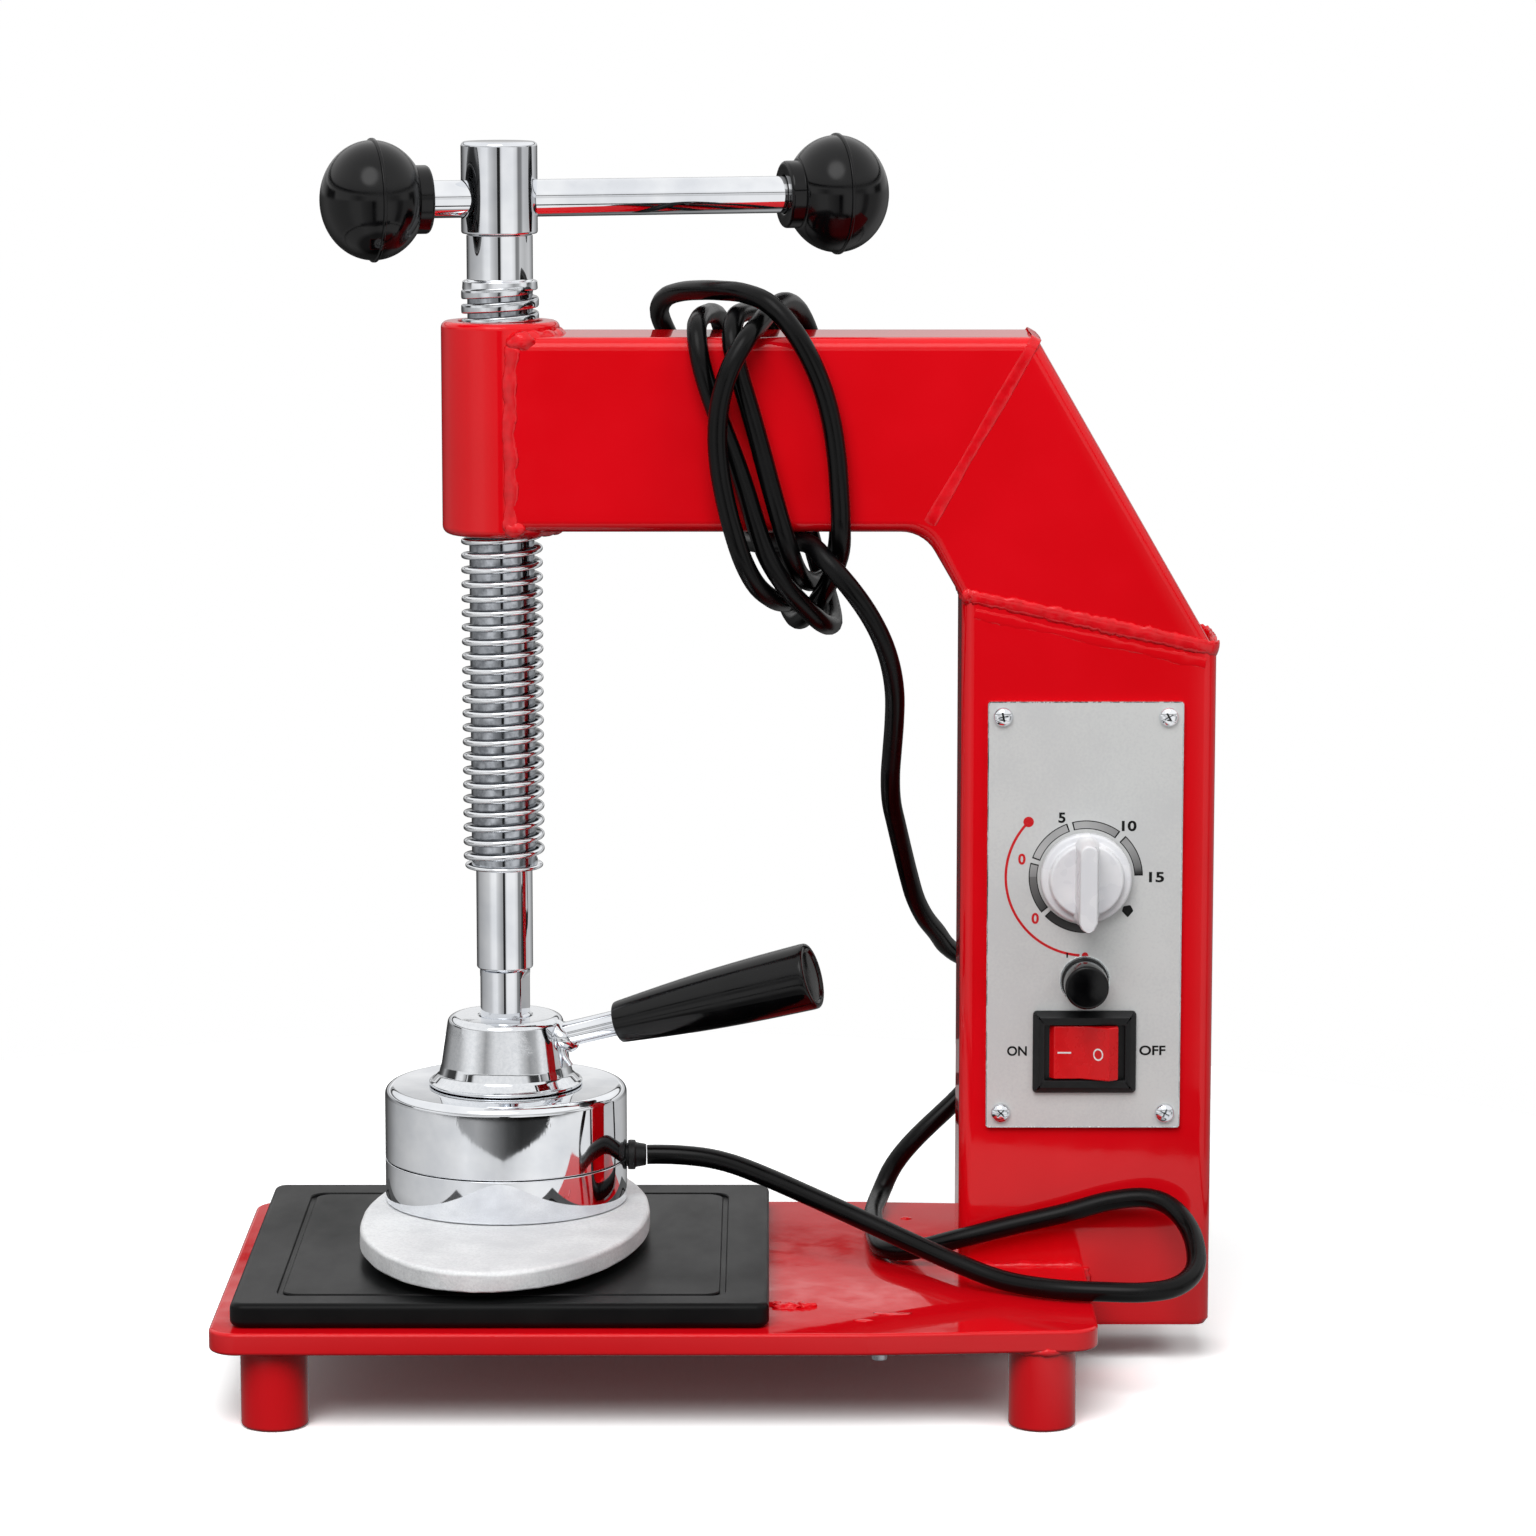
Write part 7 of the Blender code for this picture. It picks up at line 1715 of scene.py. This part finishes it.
stageSizes = {
    "floorRadius": 500, "floorMiddle": (-60, 20),
    "lamps": (  # place, aimed at, width in mm, watts
        ((-300, -1300, 1550), (0, 0, 150), 1500, 30.0),
        ((1150, -800, 1150), (0, 0, 150), 700, 4.0),
        ((-200, 700, 1700), (0, 0, 100), 1000, 3.0),
    ),
    "worldForDiffuse": 0.4, "horizon": (-0.015, 0.05),
    "floorSeen": (1.52, 1.54, 1.54), "floorBounce": 0.05,  # above 1, so that the open floor is plain white
    # Brightness that mirrors see by the degrees round from the front: far away, and on the table.
    "screens": (
        (-180, 0.03), (-150, 0.06), (-138, 0.16), (-120, 0.4), (-100, 0.48), (-64, 0.64), (-50, 0.9),
        (-34, 0.95), (-26, 0.7), (-10, 0.45), (-4.2, 0.4), (-2.9, 0.02), (5, 0.02), (7.5, 0.75), (14, 0.95),
        (44, 0.95), (56, 0.75), (62, 0.22), (72, 0.25), (78, 0.6), (100, 0.5), (125, 0.6), (150, 0.3),
        (165, 0.08), (180, 0.03),
    ),
    "tableTones": (
        (-180, 0.05), (-150, 0.08), (-138, 0.2), (-121, 0.44), (-90, 0.62), (-65, 0.71), (-44, 0.81),
        (-34, 0.92), (-16, 0.8), (0, 0.72), (13, 0.84), (30, 0.96), (53, 0.9), (80, 0.85), (100, 0.6),
        (140, 0.5), (165, 0.2), (180, 0.05),
    ),
    # The table's tones are dimmed within shadeNear of the axis, where the object shades it.
    "shadeNear": 190, "shadeFar": 258, "shadeTone": 0.3,
    # A dark wedge painted on the table, which only mirrors see, and the cup shows as a painted reflection:
    # its tip, its far end, its half width in degrees, and the share by which its sides are ragged.
    "wedgeNear": 343, "wedgeFar": 414, "wedgeHalf": 42, "wedgeRagged": 0.5, "wedgeGrain": 9,
    # A dark strip painted beyond it, seen only by mirrors, which shows as a painted dark line under the cup's
    # rim.
    "rimNear": 419, "rimFar": 441, "rimTone": 0.12,
    "wedgeTones": ((-42, 0.36), (-24, 0.4), (-8, 0.2), (4, 0.07), (16, 0.03), (42, 0.04)),
    # The same round the room just above the table's edge, with dark corners at both sides.
    "corners": (
        (-180, 0.6), (-132, 0.5), (-116, 0.06), (-98, 0.05), (-92, 0.9), (-60, 1.0), (-36, 0.4), (-16, 0.85),
        (22, 0.95), (46, 0.36), (62, 0.5), (74, 0.95), (90, 0.8), (97, 0.04), (112, 0.08), (124, 0.75),
        (180, 0.6),
    ),
    "cornersTop": 0.17,
    "patchEdge": 0.93, "patchFull": 0.972, "patchTone": 3.2,  # cosines of the angle from the key lamp
    # Brightness above that by the sine of the height. Dark beams break the light on the base plate.
    "overhead": (
        (0.0, 0.94), (0.205, 0.94), (0.222, 0.55), (0.2365, 0.4), (0.2385, 0.03), (0.2445, 0.02),
        (0.2455, 0.9), (0.2505, 0.95), (0.2515, 0.04), (0.29, 0.05), (0.31, 0.9), (0.5, 1.05), (1.0, 1.0),
    ),
}


def aimed(place, target):
    return (Vector(target) - Vector(place)).to_track_quat("-Z", "Y").to_euler()


def byTurn(tree, share, tones):
    return addRamp(tree, share, [((angle + 180) / 360, tone) for angle, tone in tones])


def makeLamps(s):
    for number, (place, target, width, watts) in enumerate(s["lamps"]):
        light = bpy.data.lights.new(f"softbox{number + 1}", "AREA")
        light.shape = "DISK"
        light.size = width * mm
        light.energy = watts
        lamp = addObject(f"softbox{number + 1}", light)
        lamp.location = Vector(place) * mm
        lamp.rotation_euler = aimed(place, target)
        lamp.visible_glossy = False  # mirrors see the room's soft patch instead, which doesn't sparkle


def rayKinds(tree):
    # Whether a ray comes from the camera, and whether from a mirror.
    path = addNode(tree, "ShaderNodeLightPath")
    mirror = calc(tree, "MAXIMUM", path.outputs["Is Glossy Ray"], path.outputs["Is Transmission Ray"])
    return path.outputs["Is Camera Ray"], mirror


def grey(level):
    return (level, level, level, 1)


def makeTable(s):
    # A plain pale table. To the camera it is white with the object's shadow, and mirrors see its soft tones.
    made = bpy.data.materials.new("paleTable")
    made.use_nodes = True
    tree = made.node_tree
    tree.nodes.clear()
    fromCamera, fromMirror = rayKinds(tree)
    place = addNode(tree, "ShaderNodeTexCoord").outputs["Object"]
    x, y, reach = fromAxis(tree, place)
    turn, share = shareOfTurn(tree, x, y)
    # The wedge and the strip are painted reflections: dark patches in the tones that mirrors see.
    inWedge = spreadTo(tree, reach, 0, math.pi / 2, s["wedgeNear"] * mm, s["wedgeFar"] * mm)
    half = calc(tree, "MULTIPLY", calc(tree, "SINE", inWedge), math.radians(s["wedgeHalf"]))
    ragged = calc(tree, "SUBTRACT", grains(tree, place, s["wedgeGrain"], 2), 0.5)
    ragged = calc(tree, "ADD", calc(tree, "MULTIPLY", ragged, s["wedgeRagged"]), 1.0)
    inside = calc(tree, "LESS_THAN", calc(tree, "ABSOLUTE", turn), calc(tree, "MULTIPLY", half, ragged))
    tones = mixTwo(tree, inside, byTurn(tree, share, s["tableTones"]), byTurn(tree, share, s["wedgeTones"]))
    shade = spreadTo(tree, reach, s["shadeTone"], 1, s["shadeNear"] * mm, s["shadeFar"] * mm)
    middle, width = (s["rimNear"] + s["rimFar"]) / 2 * mm, (s["rimFar"] - s["rimNear"]) / 2 * mm
    dimmed = calc(tree, "MULTIPLY", calc(tree, "COMPARE", reach, middle, width), 1 - s["rimTone"])
    shade = calc(tree, "MULTIPLY", shade, calc(tree, "SUBTRACT", 1.0, dimmed))
    seen = mixTwo(tree, fromCamera, grey(s["floorBounce"]), (*s["floorSeen"], 1))
    diffuse = addNode(tree, "ShaderNodeBsdfDiffuse", {"Color": seen})
    glow = addNode(tree, "ShaderNodeEmission", {"Color": tones, "Strength": shade})
    both = addNode(tree, "ShaderNodeMixShader", {0: fromMirror, 1: diffuse.outputs[0], 2: glow.outputs[0]})
    addNode(tree, "ShaderNodeOutputMaterial", {"Surface": both.outputs[0]})
    mesh = bpy.data.meshes.new("table")
    outline = arcPoints(*s["floorMiddle"], s["floorRadius"], 0, 357, 119)
    mesh.from_pydata([(x * mm, y * mm, 0) for x, y in outline], [], [list(range(len(outline)))])
    mesh.materials.append(made)
    addObject("table", mesh)


def makeStudio(s):
    # White to the camera; for mirrors a soft studio with dark gaps between its screens.
    world = bpy.data.worlds.new("studio")
    bpy.context.scene.world = world
    world.use_nodes = True
    tree = world.node_tree
    tree.nodes.clear()
    fromCamera, fromMirror = rayKinds(tree)
    seen = addNode(tree, "ShaderNodeTexCoord").outputs["Generated"]
    way = addNode(tree, "ShaderNodeSeparateXYZ", {0: seen})
    x, y, height = way.outputs
    share = shareOfTurn(tree, x, y)[1]
    rise = spreadTo(tree, height, 0, 1, *s["horizon"], interpolation_type="SMOOTHSTEP")
    above = calc(tree, "GREATER_THAN", height, s["cornersTop"])
    room = mixTwo(tree, above, byTurn(tree, share, s["corners"]), addRamp(tree, height, s["overhead"]))
    studio = mixTwo(tree, rise, byTurn(tree, share, s["screens"]), room)
    # The key lamp's mirror image, soft at its edge.
    lampWay = Vector(s["lamps"][0][0]).normalized()
    facing = addNode(tree, "ShaderNodeVectorMath", {0: seen, 1: lampWay}, operation="DOT_PRODUCT")
    patch = spreadTo(
        tree, facing.outputs["Value"], 1.0, s["patchTone"], s["patchEdge"], s["patchFull"],
        interpolation_type="SMOOTHSTEP",
    )
    lit = addNode(tree, "ShaderNodeVectorMath", {0: studio, "Scale": patch}, operation="SCALE").outputs[0]
    plain = mixTwo(tree, fromMirror, grey(s["worldForDiffuse"]), lit)
    white = mixTwo(tree, fromCamera, plain, grey(1))
    shade = addNode(tree, "ShaderNodeBackground", {"Color": white, "Strength": 1.0})
    addNode(tree, "ShaderNodeOutputWorld", {"Surface": shade.outputs[0]})


makeLamps(stageSizes)
makeTable(stageSizes)
makeStudio(stageSizes)
print("stage lit")
